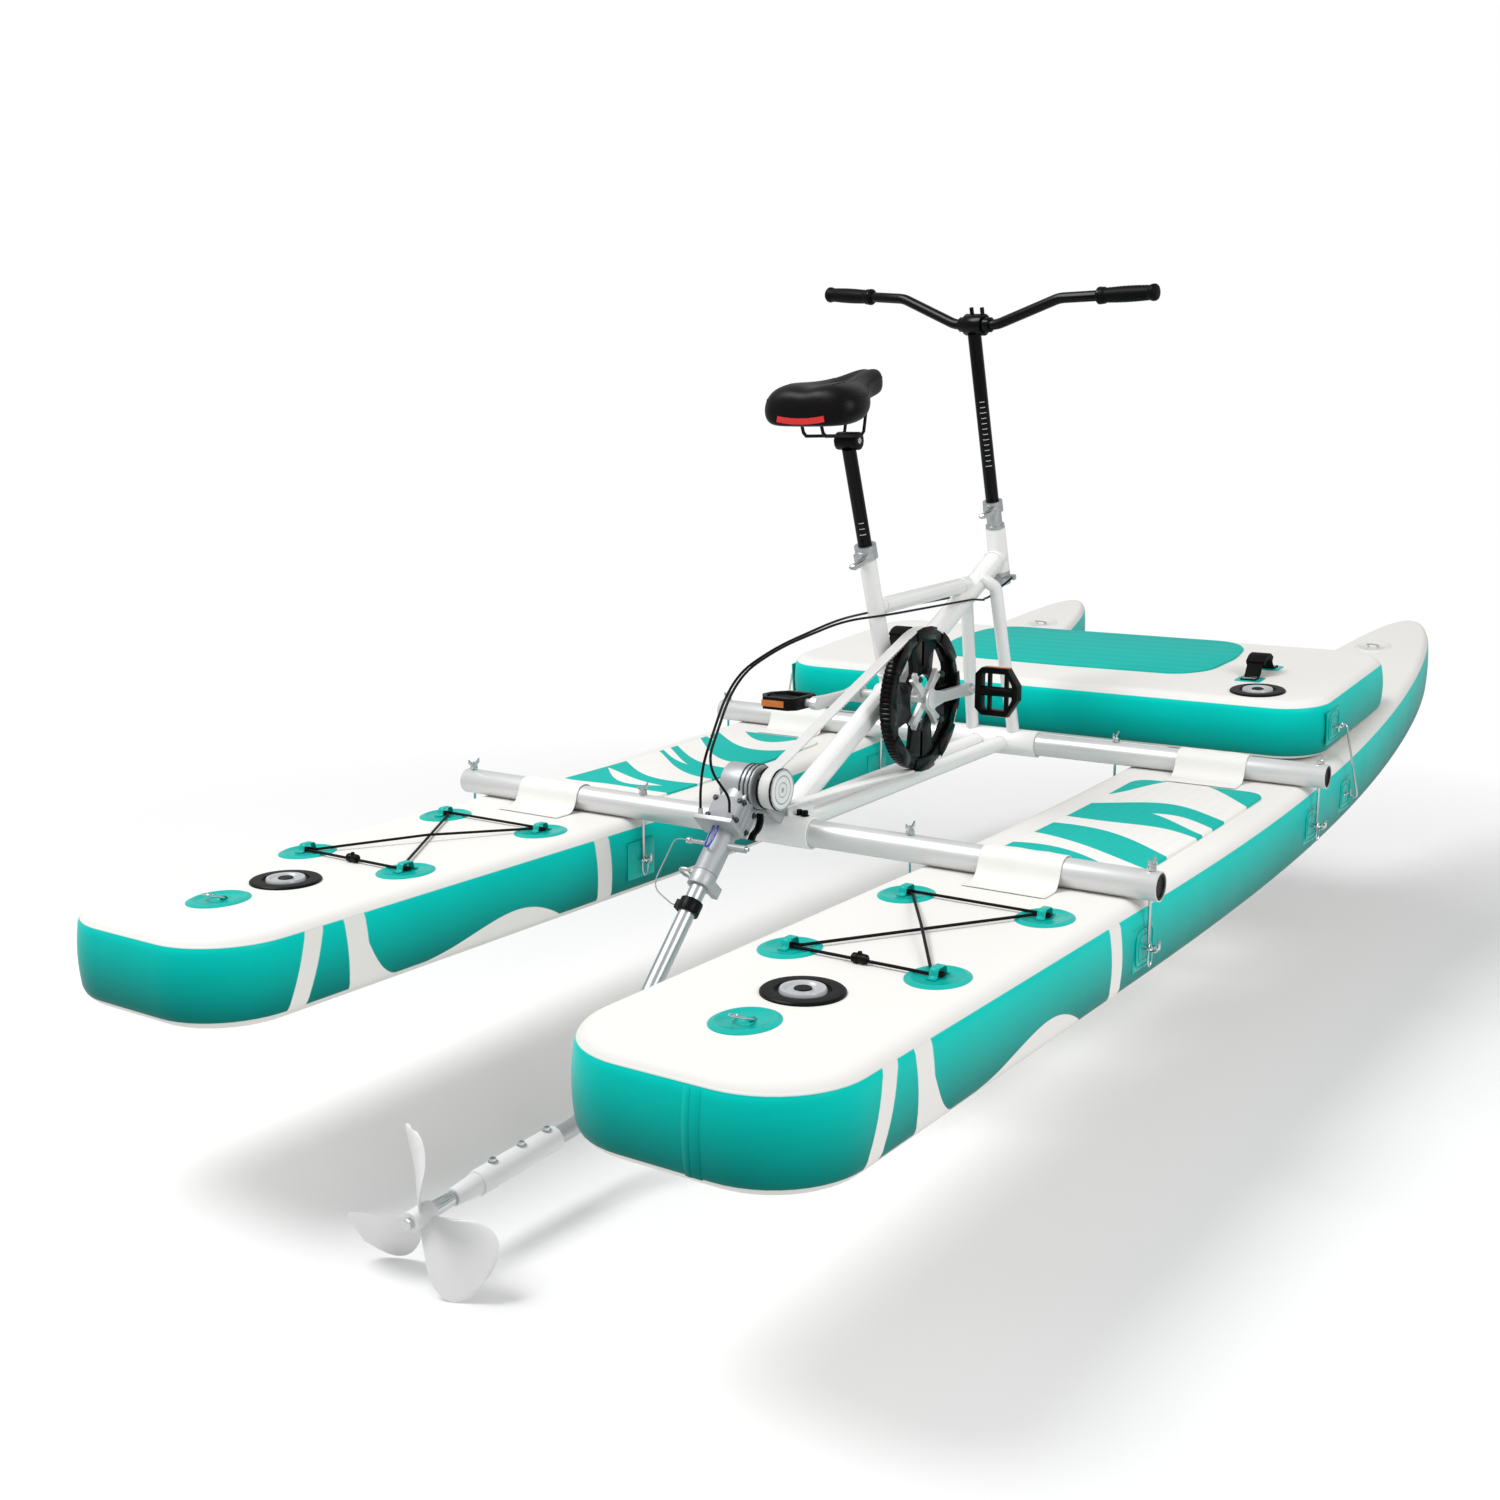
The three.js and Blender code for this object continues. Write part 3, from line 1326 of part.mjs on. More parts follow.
function propellerBody() {
  const from = hubStart + clearance - capEnd;
  const to = from + propeller.hubLength;
  const hub = rod(point(0, 0, from), point(0, 0, to), propeller.hub, 16, propeller.hub - sink);
  const blades = [...Array(bladeCount).keys()].map((i) =>
    bladeBody()
      .translate(0, 0, from + propeller.hubLength / 2)
      .rotateZ((i * 360 * degrees) / bladeCount),
  );
  const bore = rod(
    point(0, 0, from - overrun),
    point(0, 0, to + overrun),
    around(shaft.radius, 12),
    12,
  );
  return carve(fuse([hub, ...blades]), [bore]);
}

// Steering column: in its own frame +Z runs up the steering axis from the head tube's foot

function columnBody() {
  const top = steering.headLength;
  const ringBetween = (from, to, radius) => rod(point(0, 0, from), point(0, 0, to), radius, 14);
  const steerer = ringBetween(-lowerClamp.length, top + column.quill, column.steerer);
  const upperRing = ringBetween(top + clearance, top + column.flangeHeight, column.flange);
  const lowerRing = ringBetween(-clearance, -lowerClamp.length, lowerClamp.radius);
  const arm = block(
    2 * lowerClamp.armX,
    lowerClamp.armHeight,
    lowerClamp.armHeight,
    point(0, 0, -lowerClamp.length / 2),
  );
  const collar = rod(
    point(0, 0, top + column.quill - column.collarLength / 2),
    point(0, 0, top + column.quill + column.collarLength / 2),
    column.collar,
    14,
  );
  const ears = block(
    column.collar * 0.6,
    column.collar * 1.7,
    column.collarLength * 0.7,
    point(0, -column.collar * 0.75, top + column.quill),
  );
  const bore = rod(
    point(0, 0, stem.foot - stem.travelDown - overrun),
    point(0, 0, top + column.quill + column.collarLength),
    around(stem.radius, 14),
    14,
  );
  return carve(fuse([steerer, upperRing, lowerRing, arm, collar, ears]), [bore]);
}

// A quick-release lever about its pivot along X, pointing along -Y at rest
function leverBody() {
  const outline = [
    [lever.pivot, -lever.thickness],
    [lever.pivot, lever.thickness],
    [-lever.length * 0.5, lever.thickness],
    [-lever.length, lever.thickness * 2],
    [-lever.length - lever.thickness, lever.thickness],
    [-lever.length, -0.2 * lever.thickness],
    [-lever.length * 0.4, -lever.thickness],
  ].reverse();
  return plate(outline, -lever.width / 2, lever.width / 2);
}

function handlebarBody() {
  const side = (sign) => [
    point(sign * bar.half, bar.forward, bar.rise),
    point(sign * barKnee.shoulder, bar.forward * 0.7, bar.rise * 0.86),
    point(sign * barKnee.x, 0, 0),
  ];
  const corners = [...side(-1), ...side(1).reverse()];
  const pipe = tube(rounded(corners, barKnee.bend, 3), bar.radius, 10);
  const middle = rod(point(-bar.centreHalf, 0, 0), point(bar.centreHalf, 0, 0), bar.centre, 12);
  return fuse([pipe, middle]);
}

const gripFrom = point(bar.half, bar.forward, bar.rise);
const gripWay = point(barKnee.shoulder, bar.forward * 0.7, bar.rise * 0.86).sub(gripFrom).normalize();

function gripBody() {
  const end = gripFrom.clone().addScaledVector(gripWay, -overrun);
  const outer = rod(end, gripFrom.clone().addScaledVector(gripWay, grip.length), grip.radius, 14);
  const bore = rod(
    gripFrom.clone().addScaledVector(gripWay, -clearance),
    gripFrom.clone().addScaledVector(gripWay, grip.length + overrun),
    around(bar.radius, 14),
    14,
  );
  return carve(outer, [bore]);
}

// The stem: a post with the bar's clamp welded on its top
function stemBody() {
  const half = barClamp.width / 2;
  const centre = point(0, bar.y, bar.s);
  const at = (x, y, z) => centre.clone().add(point(x, y, z));
  const post = rod(point(0, 0, stem.foot), point(0, 0, bar.s - bar.centre), stem.radius, 14);
  const shell = rod(at(-half, 0, 0), at(half, 0, 0), bar.centre + barClamp.wall, 14);
  const lugs = [-1, 1].map((side) =>
    rod(
      at(side * half * 0.6, barClamp.lug, bar.centre),
      at(side * half * 0.6, barClamp.lug, bar.centre + barClamp.wall + barClamp.lugHeight),
      barClamp.lug / 2,
      8,
    ),
  );
  const barBore = rod(at(-half - overrun, 0, 0), at(half + overrun, 0, 0), around(bar.centre, 12), 12);
  return carve(fuse([post, shell, ...lugs]), [barBore]);
}

// Seat: in the seat frame +Z runs up the seat tube from its rim

function seatClampBody() {
  const rimGap = clearance;
  const from = -seatClamp.length + rimGap;
  const ringBody = rod(point(0, 0, from), point(0, 0, rimGap + overrun), seatClamp.radius, 16);
  const lugs = block(
    seatClamp.lug * 2,
    seatClamp.lugReach,
    seatClamp.length * 0.7,
    point(0, -seatClamp.lugReach / 2, from + seatClamp.length * 0.5),
  );
  const tubeBore = rod(
    point(0, 0, from - overrun),
    point(0, 0, rimGap),
    around(seatTube.diameter / 2, 12),
    12,
  );
  const postBore = rod(point(0, 0, -overrun), point(0, 0, overrun * 3), seatPost.radius + clearance, 14);
  return carve(fuse([ringBody, lugs]), [tubeBore, postBore]);
}

const seatPostBody = () => rod(point(0, 0, -seatPost.insert), point(0, 0, seatPost.top), seatPost.radius, 14);

// Cradle: the head on the post, with two rods that carry the saddle's shell
function cradleBody() {
  const postTop = seatTop.clone().addScaledVector(seatUp, seatPost.top + clearance);
  const half = cradle.headWidth / 2;
  const headY = postTop.y;
  const headZ = postTop.z + cradle.head * 0.8;
  const headRod = rod(point(-half, headY, headZ), point(half, headY, headZ), cradle.head, 12);
  const rods = [-1, 1].map((side) => {
    const x = side * cradle.rodX;
    return tube(
      rounded(
        [
          point(x, cradle.rearY, saddleUnder(cradle.rearY) - cradle.gap),
          point(x, cradle.rearY + cradle.rod * 4, cradle.z),
          point(x, cradle.frontY - cradle.rod * 4, cradle.z),
          point(x, cradle.frontY, saddleUnder(cradle.frontY) - cradle.gap),
        ],
        cradle.rod * 3,
        1,
      ),
      cradle.rod,
      6,
    );
  });
  const postCut = rod(
    seatTop,
    seatTop.clone().addScaledVector(seatUp, seatPost.top + clearance),
    seatPost.radius + clearance,
    14,
  );
  return carve(fuse([headRod, ...rods]), [postCut]);
}

// The saddle's line from the rear to the nose, in shares of its length
const saddleLine = [
  { along: 0, width: 0.56, top: -0.4, depth: 0.5 },
  { along: 0.05, width: 0.82, top: -0.12, depth: 0.8 },
  { along: 0.16, width: 0.98, top: 0.03, depth: 0.96 },
  { along: 0.32, width: 0.96, top: 0.02, depth: 0.92 },
  { along: 0.48, width: 0.68, top: 0.03, depth: 0.76 },
  { along: 0.62, width: 0.42, top: 0.12, depth: 0.72 },
  { along: 0.78, width: 0.3, top: 0.26, depth: 0.76 },
  { along: 0.92, width: 0.27, top: 0.32, depth: 0.76 },
  { along: 0.98, width: 0.21, top: 0.2, depth: 0.56 },
  { along: 1, width: 0.1, top: 0, depth: 0.24 },
];
const saddleSection = [
  [0, 0, -1],
  [0.32, 0.04, 0],
  [0.6, 0, 0],
  [0.86, -0.16, 0],
  [1, -0.44, 0],
  [0.98, -0.72, 0],
  [0.84, -0.94, 0],
  [0.5, -0.99, 0],
];

const saddleTop = (station) => saddle.topZ + station.top * saddle.depth + station.along * saddle.noseRise;

function saddleUnder(y) {
  const along = (y - saddle.rearY) / saddle.length;
  const after = Math.max(saddleLine.findIndex((station) => station.along > along), 1);
  const [a, b] = [saddleLine[after - 1], saddleLine[after]];
  const share = (along - a.along) / (b.along - a.along);
  const under = (station) => saddleTop(station) - station.depth * saddle.depth;
  return THREE.MathUtils.lerp(under(a), under(b), share);
}

function saddleBody() {
  const rings = saddleLine.map((station) => {
    const half = saddle.halfWidth * station.width;
    const y = saddle.rearY + saddle.length * station.along;
    const depth = saddle.depth * station.depth;
    const dip = saddle.groove * Math.sin(Math.PI * Math.min(station.along * 1.3, 1));
    const right = saddleSection.map(([x, z, groove]) =>
      point(x * half, y, saddleTop(station) + z * depth + groove * dip),
    );
    const left = saddleSection.slice(1).reverse().map(([x], i) => {
      const twin = right[saddleSection.length - 1 - i];
      return point(-x * half, y, twin.z);
    });
    return [...right, ...left];
  });
  return loft(rings);
}

// Control cables, from the lower steering arm along the frame to the leg's arm
const cableRoute = {
  straight: 26,
  bend: 30,
  along: [
    [14, 850, 352],
    [16, 822, 351],
    [28, 800, 351],
    [28, 745, 357],
    [26, 372, 357],
    [4, 235, 358],
    [4, 19, 328],
    [4, -118, 289],
    [4, -205, 150],
  ],
};

function cableBody(sign) {
  const place = steerAt(-lowerClamp.length / 2).add(point(sign * lowerClamp.anchorX, 0, 0));
  const astern = point(0, -Math.cos(rake), -Math.sin(rake));
  const start = place.clone().addScaledVector(astern, lowerClamp.armHeight / 2 + clearance);
  const end = legToWorld(
    point(sign * swivel.armX, -swivel.armY, -swivel.start - sink).addScaledVector(plumb, swivel.lugHeight),
  );
  end.z += clearance;
  const corners = [
    start,
    start.clone().addScaledVector(astern, cableRoute.straight / 2),
    ...cableRoute.along.map(([x, y, z]) => point(sign * x, y, z)),
    end.clone().add(point(0, 0, cableRoute.straight)),
    end,
  ];
  return tube(rounded(corners, cableRoute.bend, 2), cableRadius, 8);
}

function legToWorld(place) {
  return place.applyAxisAngle(xAxis, legTurn).add(point(0, pulley.y, pulley.z));
}

// Assembly

const craft = new THREE.Group();

function add(parent, name, geometry, material) {
  const plain = geometry.index ? geometry : mergeVertices(geometry, weldTolerance);
  const mesh = new THREE.Mesh(plain, material);
  mesh.name = name;
  parent.add(mesh);
  return mesh;
}

function group(parent, position, turnX = 0) {
  const made = new THREE.Group();
  made.position.copy(position);
  made.rotation.x = turnX;
  parent.add(made);
  return made;
}

for (const { name, sign } of sides) {
  const float = group(craft, point((sign * pontoon.spacing) / 2, 0, 0));
  add(float, `${name}_pontoon`, pontoonBody(sign), teal());
  add(float, `${name}_bungee`, sign > 0 ? bungeeBody() : mirrored(bungeeBody()), webbing());
  add(float, `${name}_rear_wrap`, wrapBody(0, 0), canvas());
  const ahead = group(float, point(0, frontBeamY, frontBeamZ));
  add(ahead, `${name}_front_wrap`, wrapBody(frontBeamY, frontBeamZ), canvas());
}

const beams = [
  { name: 'rear', place: point(0, 0, 0) },
  { name: 'front', place: point(0, frontBeamY, frontBeamZ) },
];
for (const { name, place } of beams) {
  const carried = group(craft, place);
  add(carried, `${name}_beam`, beamBody(), aluminium());
  for (const { side, edge, x } of hookPlaces) {
    const word = side < 0 ? 'port' : 'starboard';
    const edgeWord = side * edge > 0 ? 'outer' : 'inner';
    const bolt = group(carried, point(x, 0, 0));
    add(bolt, `${word}_${name}_${edgeWord}_hook_bolt`, hookBolt(edge, place.z - ringZAt(place.y)), steel());
  }
}

const deck = group(craft, point(0, platformY, platformBase + platformRest), platformPitch);
add(deck, 'bow_platform', platformBody(), teal());
for (const { name, sign } of sides) {
  const handle = group(deck, point(sign * strapHandle.x, strapHandle.y, platform.thickness + clearance));
  add(handle, `${name}_platform_handle`, strapHandleBody(), webbing());
}

add(craft, 'base_frame', baseFrameBody(), whitePaint());
add(craft, 'main_frame', mainFrameBody(), whitePaint());
add(craft, 'starboard_front_leg', frontLegBody(), whitePaint());
add(craft, 'port_front_leg', mirrored(frontLegBody()), whitePaint());

const crankCentre = point(0, bracket.y, bracket.z);
const spindleEnd = crankFace + spindle.seat;
const spindleRod = rod(point(-spindleEnd, 0, 0), point(spindleEnd, 0, 0), spindle.radius, 12);
add(craft, 'crank_spindle', spindleRod.translate(...crankCentre.toArray()), steel());
add(craft, 'belt_wheel', wheelBody(), blackPlastic());
add(craft, 'drive_belt', beltBody(), whitePaint());
add(craft, 'input_pulley', pulleyBody(), aluminium());

const starboardCrank = group(craft, crankCentre.clone().add(point(crankFace, 0, 0)));
add(starboardCrank, 'starboard_crank', crankBody(true), castAlloy());
const portCrank = group(craft, crankCentre.clone().add(point(-crankFace, 0, 0)));
portCrank.rotation.z = Math.PI;
add(portCrank, 'port_crank', crankBody(false), castAlloy());
const starboardPedal = group(starboardCrank, point(crank.thickness, crank.length, 0), Math.PI / 2);
add(starboardPedal, 'starboard_pedal', pedalBody(), blackPlastic());
const portPedal = group(portCrank, point(crank.thickness, crank.length, 0));
add(portPedal, 'port_pedal', pedalBody(), blackPlastic());

add(craft, 'drive_bracket', bracketBody(), castAlloy());
const legGroup = group(craft, point(0, pulley.y, pulley.z), legTurn);
add(legGroup, 'drive_head', headBody(), castAlloy());
add(legGroup, 'steering_swivel', swivelBody(), castAlloy());
add(legGroup, 'leg_tube', legBody(), aluminium());
add(legGroup, 'leg_pin', pinBody(), steel());
add(legGroup, 'leg_clamp', legClampBody(), castAlloy());
add(legGroup, 'lanyard_clip', clipBody(), blackPlastic());
add(legGroup, 'pin_lanyard', lanyardBody(), steel());
add(legGroup, 'tail_tube', tailBody(), whitePaint());
add(legGroup, 'tail_cap', tailCapBody(), whitePaint());

const propGroup = group(legGroup, tailAt(capEnd), Math.PI - bend);
add(propGroup, 'propeller_shaft', shaftBody(), steel());
add(propGroup, 'propeller', propellerBody(), whitePaint());

const columnGroup = group(craft, steerAt(0), rake);
add(columnGroup, 'steering_column', columnBody(), aluminium());
const stemLeverX = column.collar * 0.3 + lever.width / 2 + clearance;
const stemLeverZ = steering.headLength + column.quill;
const stemLever = group(columnGroup, point(stemLeverX, -column.collar * 1.3, stemLeverZ));
add(stemLever, 'stem_clamp_lever', leverBody(), steel());
const stemGroup = group(columnGroup, point(0, 0, 0));
stemGroup.rotation.z = -barTurn * degrees;
add(stemGroup, 'handlebar_stem', stemBody(), blackPaint());
const barGroup = group(stemGroup, point(0, bar.y, bar.s));
add(barGroup, 'handlebar', handlebarBody(), blackPaint());
add(barGroup, 'starboard_grip', gripBody(), rubber());
add(barGroup, 'port_grip', mirrored(gripBody()), rubber());

const seatLean = Math.atan2(-seatUp.y, seatUp.z);
const seatGroup = group(craft, seatTop, seatLean);
add(seatGroup, 'seat_clamp', seatClampBody(), aluminium());
const seatLeverX = seatClamp.lug + lever.width / 2 + clearance;
const seatLeverPlace = point(seatLeverX, -seatClamp.lugReach * 0.92, -seatClamp.length / 2);
const seatLever = group(seatGroup, seatLeverPlace);
add(seatLever, 'seat_clamp_lever', leverBody(), steel());
add(seatGroup, 'seat_post', seatPostBody(), blackPaint());
add(craft, 'saddle_cradle', cradleBody(), blackPlastic());
add(craft, 'saddle', saddleBody(), rubber());

for (const { name, sign } of sides) {
  add(craft, `${name}_steering_cable`, cableBody(sign), rubber());
}

for (const { name, sign } of sides) {
  const half = platformWidth / 2;
  const ring = point(sign * (half + platformHook.reach), platformHook.along, platform.thickness / 2);
  deck.updateMatrix();
  const top = ring.applyMatrix4(deck.matrix);
  const wall = (sign * pontoon.spacing) / 2 + sign * halfWidthAt(lashingY);
  const bottom = point(wall + sign * platformHook.reach, lashingY, lashingZ);
  add(craft, `${name}_platform_hook`, platformHookBody(top, bottom, sign), steel());
}

// The whole craft stands with its box's bottom centre at the origin
const whole = new THREE.Group();
whole.add(craft);
whole.updateMatrixWorld(true);
const box = new THREE.Box3().setFromObject(craft, true);
craft.position.set(-(box.min.x + box.max.x) / 2, -(box.min.y + box.max.y) / 2, -box.min.z);

export default whole;
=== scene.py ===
# %% [markdown]
# # A pontoon water bike
# Two inflated floats carry a pair of cross beams, a bicycle frame and a small bow platform.
# A toothed belt takes the rider's work to a steered leg with a propeller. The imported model
# gives every rigid part its place and its moving body, and this lesson dresses it with
# rounded edges, welded skins, webbing, cords and finishes that are all made from nodes.

import json
import math

import bmesh
import bpy
from mathutils import Matrix, Vector
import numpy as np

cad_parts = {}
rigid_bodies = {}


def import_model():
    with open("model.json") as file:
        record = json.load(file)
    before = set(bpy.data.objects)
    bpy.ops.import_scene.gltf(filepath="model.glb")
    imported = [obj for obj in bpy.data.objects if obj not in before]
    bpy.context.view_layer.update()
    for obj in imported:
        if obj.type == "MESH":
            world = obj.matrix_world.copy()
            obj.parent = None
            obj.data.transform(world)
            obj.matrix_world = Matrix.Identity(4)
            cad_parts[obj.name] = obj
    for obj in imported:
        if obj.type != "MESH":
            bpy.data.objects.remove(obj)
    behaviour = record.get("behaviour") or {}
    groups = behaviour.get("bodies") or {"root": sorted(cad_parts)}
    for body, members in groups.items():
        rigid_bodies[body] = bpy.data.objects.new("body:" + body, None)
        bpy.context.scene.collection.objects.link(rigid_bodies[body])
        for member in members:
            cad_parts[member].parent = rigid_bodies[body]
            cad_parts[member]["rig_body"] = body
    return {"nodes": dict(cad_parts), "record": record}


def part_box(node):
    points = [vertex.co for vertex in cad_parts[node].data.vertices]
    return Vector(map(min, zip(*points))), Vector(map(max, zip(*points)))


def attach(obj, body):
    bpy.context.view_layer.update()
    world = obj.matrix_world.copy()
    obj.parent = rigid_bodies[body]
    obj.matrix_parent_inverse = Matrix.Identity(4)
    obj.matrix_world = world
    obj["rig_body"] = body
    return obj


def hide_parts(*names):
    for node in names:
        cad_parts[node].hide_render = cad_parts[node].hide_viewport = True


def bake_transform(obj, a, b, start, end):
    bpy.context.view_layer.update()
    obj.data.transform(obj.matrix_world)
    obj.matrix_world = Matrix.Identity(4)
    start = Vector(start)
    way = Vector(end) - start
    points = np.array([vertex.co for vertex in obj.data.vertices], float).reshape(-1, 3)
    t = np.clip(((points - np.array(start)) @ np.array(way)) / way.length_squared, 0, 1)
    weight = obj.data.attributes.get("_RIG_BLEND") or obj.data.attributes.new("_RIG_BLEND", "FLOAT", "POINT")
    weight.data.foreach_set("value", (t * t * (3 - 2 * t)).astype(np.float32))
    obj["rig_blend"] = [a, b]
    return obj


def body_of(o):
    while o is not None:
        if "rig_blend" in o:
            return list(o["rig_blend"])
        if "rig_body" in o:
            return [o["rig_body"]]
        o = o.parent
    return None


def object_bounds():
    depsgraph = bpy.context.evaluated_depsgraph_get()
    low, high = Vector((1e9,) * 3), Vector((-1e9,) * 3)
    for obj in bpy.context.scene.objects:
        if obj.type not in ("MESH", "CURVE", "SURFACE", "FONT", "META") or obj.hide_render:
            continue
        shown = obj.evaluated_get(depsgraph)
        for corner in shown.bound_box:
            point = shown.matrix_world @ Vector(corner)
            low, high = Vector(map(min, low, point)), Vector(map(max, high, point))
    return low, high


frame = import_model()
cad_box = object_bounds()
nodes = frame["nodes"]

# %% [markdown]
# ## Where things are
# The craft was measured from the rear beam's axis, in millimetres. Keeping that habit makes
# each number easy to compare with the real thing, so one helper turns such a place into the
# shared frame, which is in metres and starts on the ground.

# %% A helper for places
DATUM = Vector((0.0, -0.770, 0.5003972))
MM = 0.001


def at(x, y, z):
    return Vector((x, y, z)) * MM + DATUM


box_low, box_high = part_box("rear_beam")
print("rear beam axis height:", round((box_low[2] + box_high[2]) / 2, 4), "and", round(at(0, 0, 0).z, 4))

# %% [markdown]
# ## The camera
# The picture was taken from behind and to starboard, a little above the saddle. The lens and
# the two angles come from lines that are straight and square on the craft: the beams, the
# seat tube and the floats' edges.

# %% Set the camera
def linked(name, data):
    """A new object of this data, put in the scene."""
    made = bpy.data.objects.new(name, data)
    bpy.context.scene.collection.objects.link(made)
    return made


FOCAL_LENGTH = 41.5
LOOK_DOWN, LOOK_TURN = 10.78, 34.062
lens = bpy.data.cameras.new("photo_lens")
lens.lens = FOCAL_LENGTH
lens.sensor_width = 36.0
camera = linked("photo_camera", lens)
camera.location = at(1704.2, -2585.8, 732.8)
camera.rotation_euler = (math.radians(90 - LOOK_DOWN), 0, math.radians(LOOK_TURN))
bpy.context.scene.camera = camera
print("camera at", [round(v, 3) for v in camera.location])

# %% [markdown]
# ## Materials: small helpers
# Every finish is a node tree. Writing trees by hand is long, so *put* adds a node, sets its
# options, and joins or fills its sockets by name. *maths*, *ranged* and *grey_of* are short
# ways to the nodes that come back most.

# %% Node helpers
def socket_of(node, key):
    """An input by its number, as in i2, or by its name, with _ for each space."""
    if key[0] == "i" and key[1:].isdigit():
        return node.inputs[int(key[1:])]
    return node.inputs[key.replace("_", " ")]


def fill(tree, socket, value):
    """Joins a socket to another one, or sets its value."""
    if isinstance(value, bpy.types.NodeSocket):
        tree.links.new(value, socket)
    else:
        socket.default_value = value


def put(tree, kind, options=None, **sockets):
    node = tree.nodes.new(kind)
    for key, value in (options or {}).items():
        setattr(node, key, value)
    for key, value in sockets.items():
        fill(tree, socket_of(node, key), value)
    return node


def maths(operation, *values):
    """A sum in the tree that the first socket among the values belongs to."""
    tree = next(value for value in values if isinstance(value, bpy.types.NodeSocket)).id_data
    node = put(tree, "ShaderNodeMath", {"operation": operation})
    for socket, value in zip(node.inputs, values):
        fill(tree, socket, value)
    return node.outputs[0]


def plus(first, second):
    return maths("ADD", first, second)


def minus(first, second):
    return maths("SUBTRACT", first, second)


def times(first, second):
    return maths("MULTIPLY", first, second)


def ranged(value, low=0.0, high=1.0, start=0.0, end=1.0):
    """The value's run from low to high, turned into one from start to end."""
    limits = {"From_Min": low, "From_Max": high, "To_Min": start, "To_Max": end}
    return put(value.id_data, "ShaderNodeMapRange", Value=value, **limits).outputs[0]


def grey_of(value):
    return put(value.id_data, "ShaderNodeCombineColor", Red=value, Green=value, Blue=value).outputs[0]


def blend_colours(tree, share, first, second, mode="MIX"):
    node = put(tree, "ShaderNodeMix", {"data_type": "RGBA", "blend_type": mode})
    for index, value in ((0, share), (6, first), (7, second)):
        fill(tree, node.inputs[index], value)
    return node.outputs[2]


def linear(code):
    """A colour as it is seen on screen, such as "#05a596", as Blender's linear numbers."""
    parts = [int(code[i : i + 2], 16) / 255 for i in (1, 3, 5)]
    return tuple(v / 12.92 if v <= 0.04045 else ((v + 0.055) / 1.055) ** 2.4 for v in parts) + (1.0,)


print("teal in linear numbers:", [round(v, 3) for v in linear("#05a596")])

# %% [markdown]
# ## Shared effects
# Three effects come back in many finishes, so each is a group, built once: *tone*, a slow
# cloud that makes a colour a little uneven; *grain*, the fine pits or dust of a surface; and
# *weave*, the over and under of threads. A group only gives out masks, values and normals.

# %% Shared effect groups
def new_group(name, inputs, outputs, kind="ShaderNodeTree"):
    group = bpy.data.node_groups.new(name, kind)
    for label, kind, value in inputs:
        socket = group.interface.new_socket(name=label, in_out="INPUT", socket_type="NodeSocket" + kind)
        if value is not None:
            socket.default_value = value
    for label, kind in outputs:
        group.interface.new_socket(name=label, in_out="OUTPUT", socket_type="NodeSocket" + kind)
    return group, group.nodes.new("NodeGroupInput"), group.nodes.new("NodeGroupOutput")


def make_tone_group():
    group, source, result = new_group(
        "uneven tone",
        [("Vector", "Vector", None), ("Scale", "Float", 6.0), ("Amount", "Float", 0.1)],
        [("Factor", "Float")],
    )
    cloud = put(group, "ShaderNodeTexNoise", Vector=source.outputs[0], Scale=source.outputs[1], Detail=4.0)
    centred = minus(cloud.outputs[0], 0.5)
    scaled = times(centred, source.outputs[2])
    group.links.new(plus(scaled, 1.0), result.inputs[0])
    return group


def make_grain_group():
    group, source, result = new_group(
        "fine grain",
        [("Vector", "Vector", None), ("Scale", "Float", 400.0)]
        + [("Strength", "Float", 0.1), ("Distance", "Float", 0.0003)],
        [("Mask", "Float"), ("Normal", "Vector")],
    )
    dots = put(group, "ShaderNodeTexNoise", Vector=source.outputs[0], Scale=source.outputs[1], Detail=2.0)
    depth = {"Strength": source.outputs[2], "Distance": source.outputs[3]}
    bump = put(group, "ShaderNodeBump", Height=dots.outputs[0], **depth)
    group.links.new(dots.outputs[0], result.inputs[0])
    group.links.new(bump.outputs[0], result.inputs[1])
    return group


def make_weave_group():
    group, source, result = new_group(
        "thread weave",
        [("Vector", "Vector", None), ("Threads", "Float", 500.0)],
        [("Height", "Float")],
    )
    split = put(group, "ShaderNodeSeparateXYZ", Vector=source.outputs[0])
    waves = []
    for axis in range(3):
        turns = times(split.outputs[axis], source.outputs[1])
        waves.append(maths("SINE", turns))
    crossed = times(waves[0], waves[1])
    both = plus(crossed, times(waves[2], 0.5))
    group.links.new(maths("MULTIPLY_ADD", both, 0.33, 0.5), result.inputs[0])
    return group


TONE = make_tone_group()
GRAIN = make_grain_group()
WEAVE = make_weave_group()
print("effect groups:", TONE.name, GRAIN.name, WEAVE.name)

# %% [markdown]
# ## One recipe for plain finishes
# Paint, plastic, rubber and metal differ in colour, gloss and grain, but are built alike: a
# base colour made a little uneven, a roughness that changes with the grain, and a fine bump.
# Values that are the same all over the surface sit straight on the shader's sockets.

# %% The plain finish recipe
def new_material(name):
    material = bpy.data.materials.new(name)
    material.use_nodes = True
    tree = material.node_tree
    shader = tree.nodes["Principled BSDF"]
    place = put(tree, "ShaderNodeTexCoord").outputs["Object"]
    return material, tree, shader, place


def use(tree, group, **sockets):
    return put(tree, "ShaderNodeGroup", {"node_tree": group}, **sockets)


def toned(tree, place, colour, scale, amount):
    factor = use(tree, TONE, Vector=place, Scale=scale, Amount=amount).outputs[0]
    return blend_colours(tree, 1.0, colour, grey_of(factor), "MULTIPLY")


ROUGH_SPREAD = 0.25


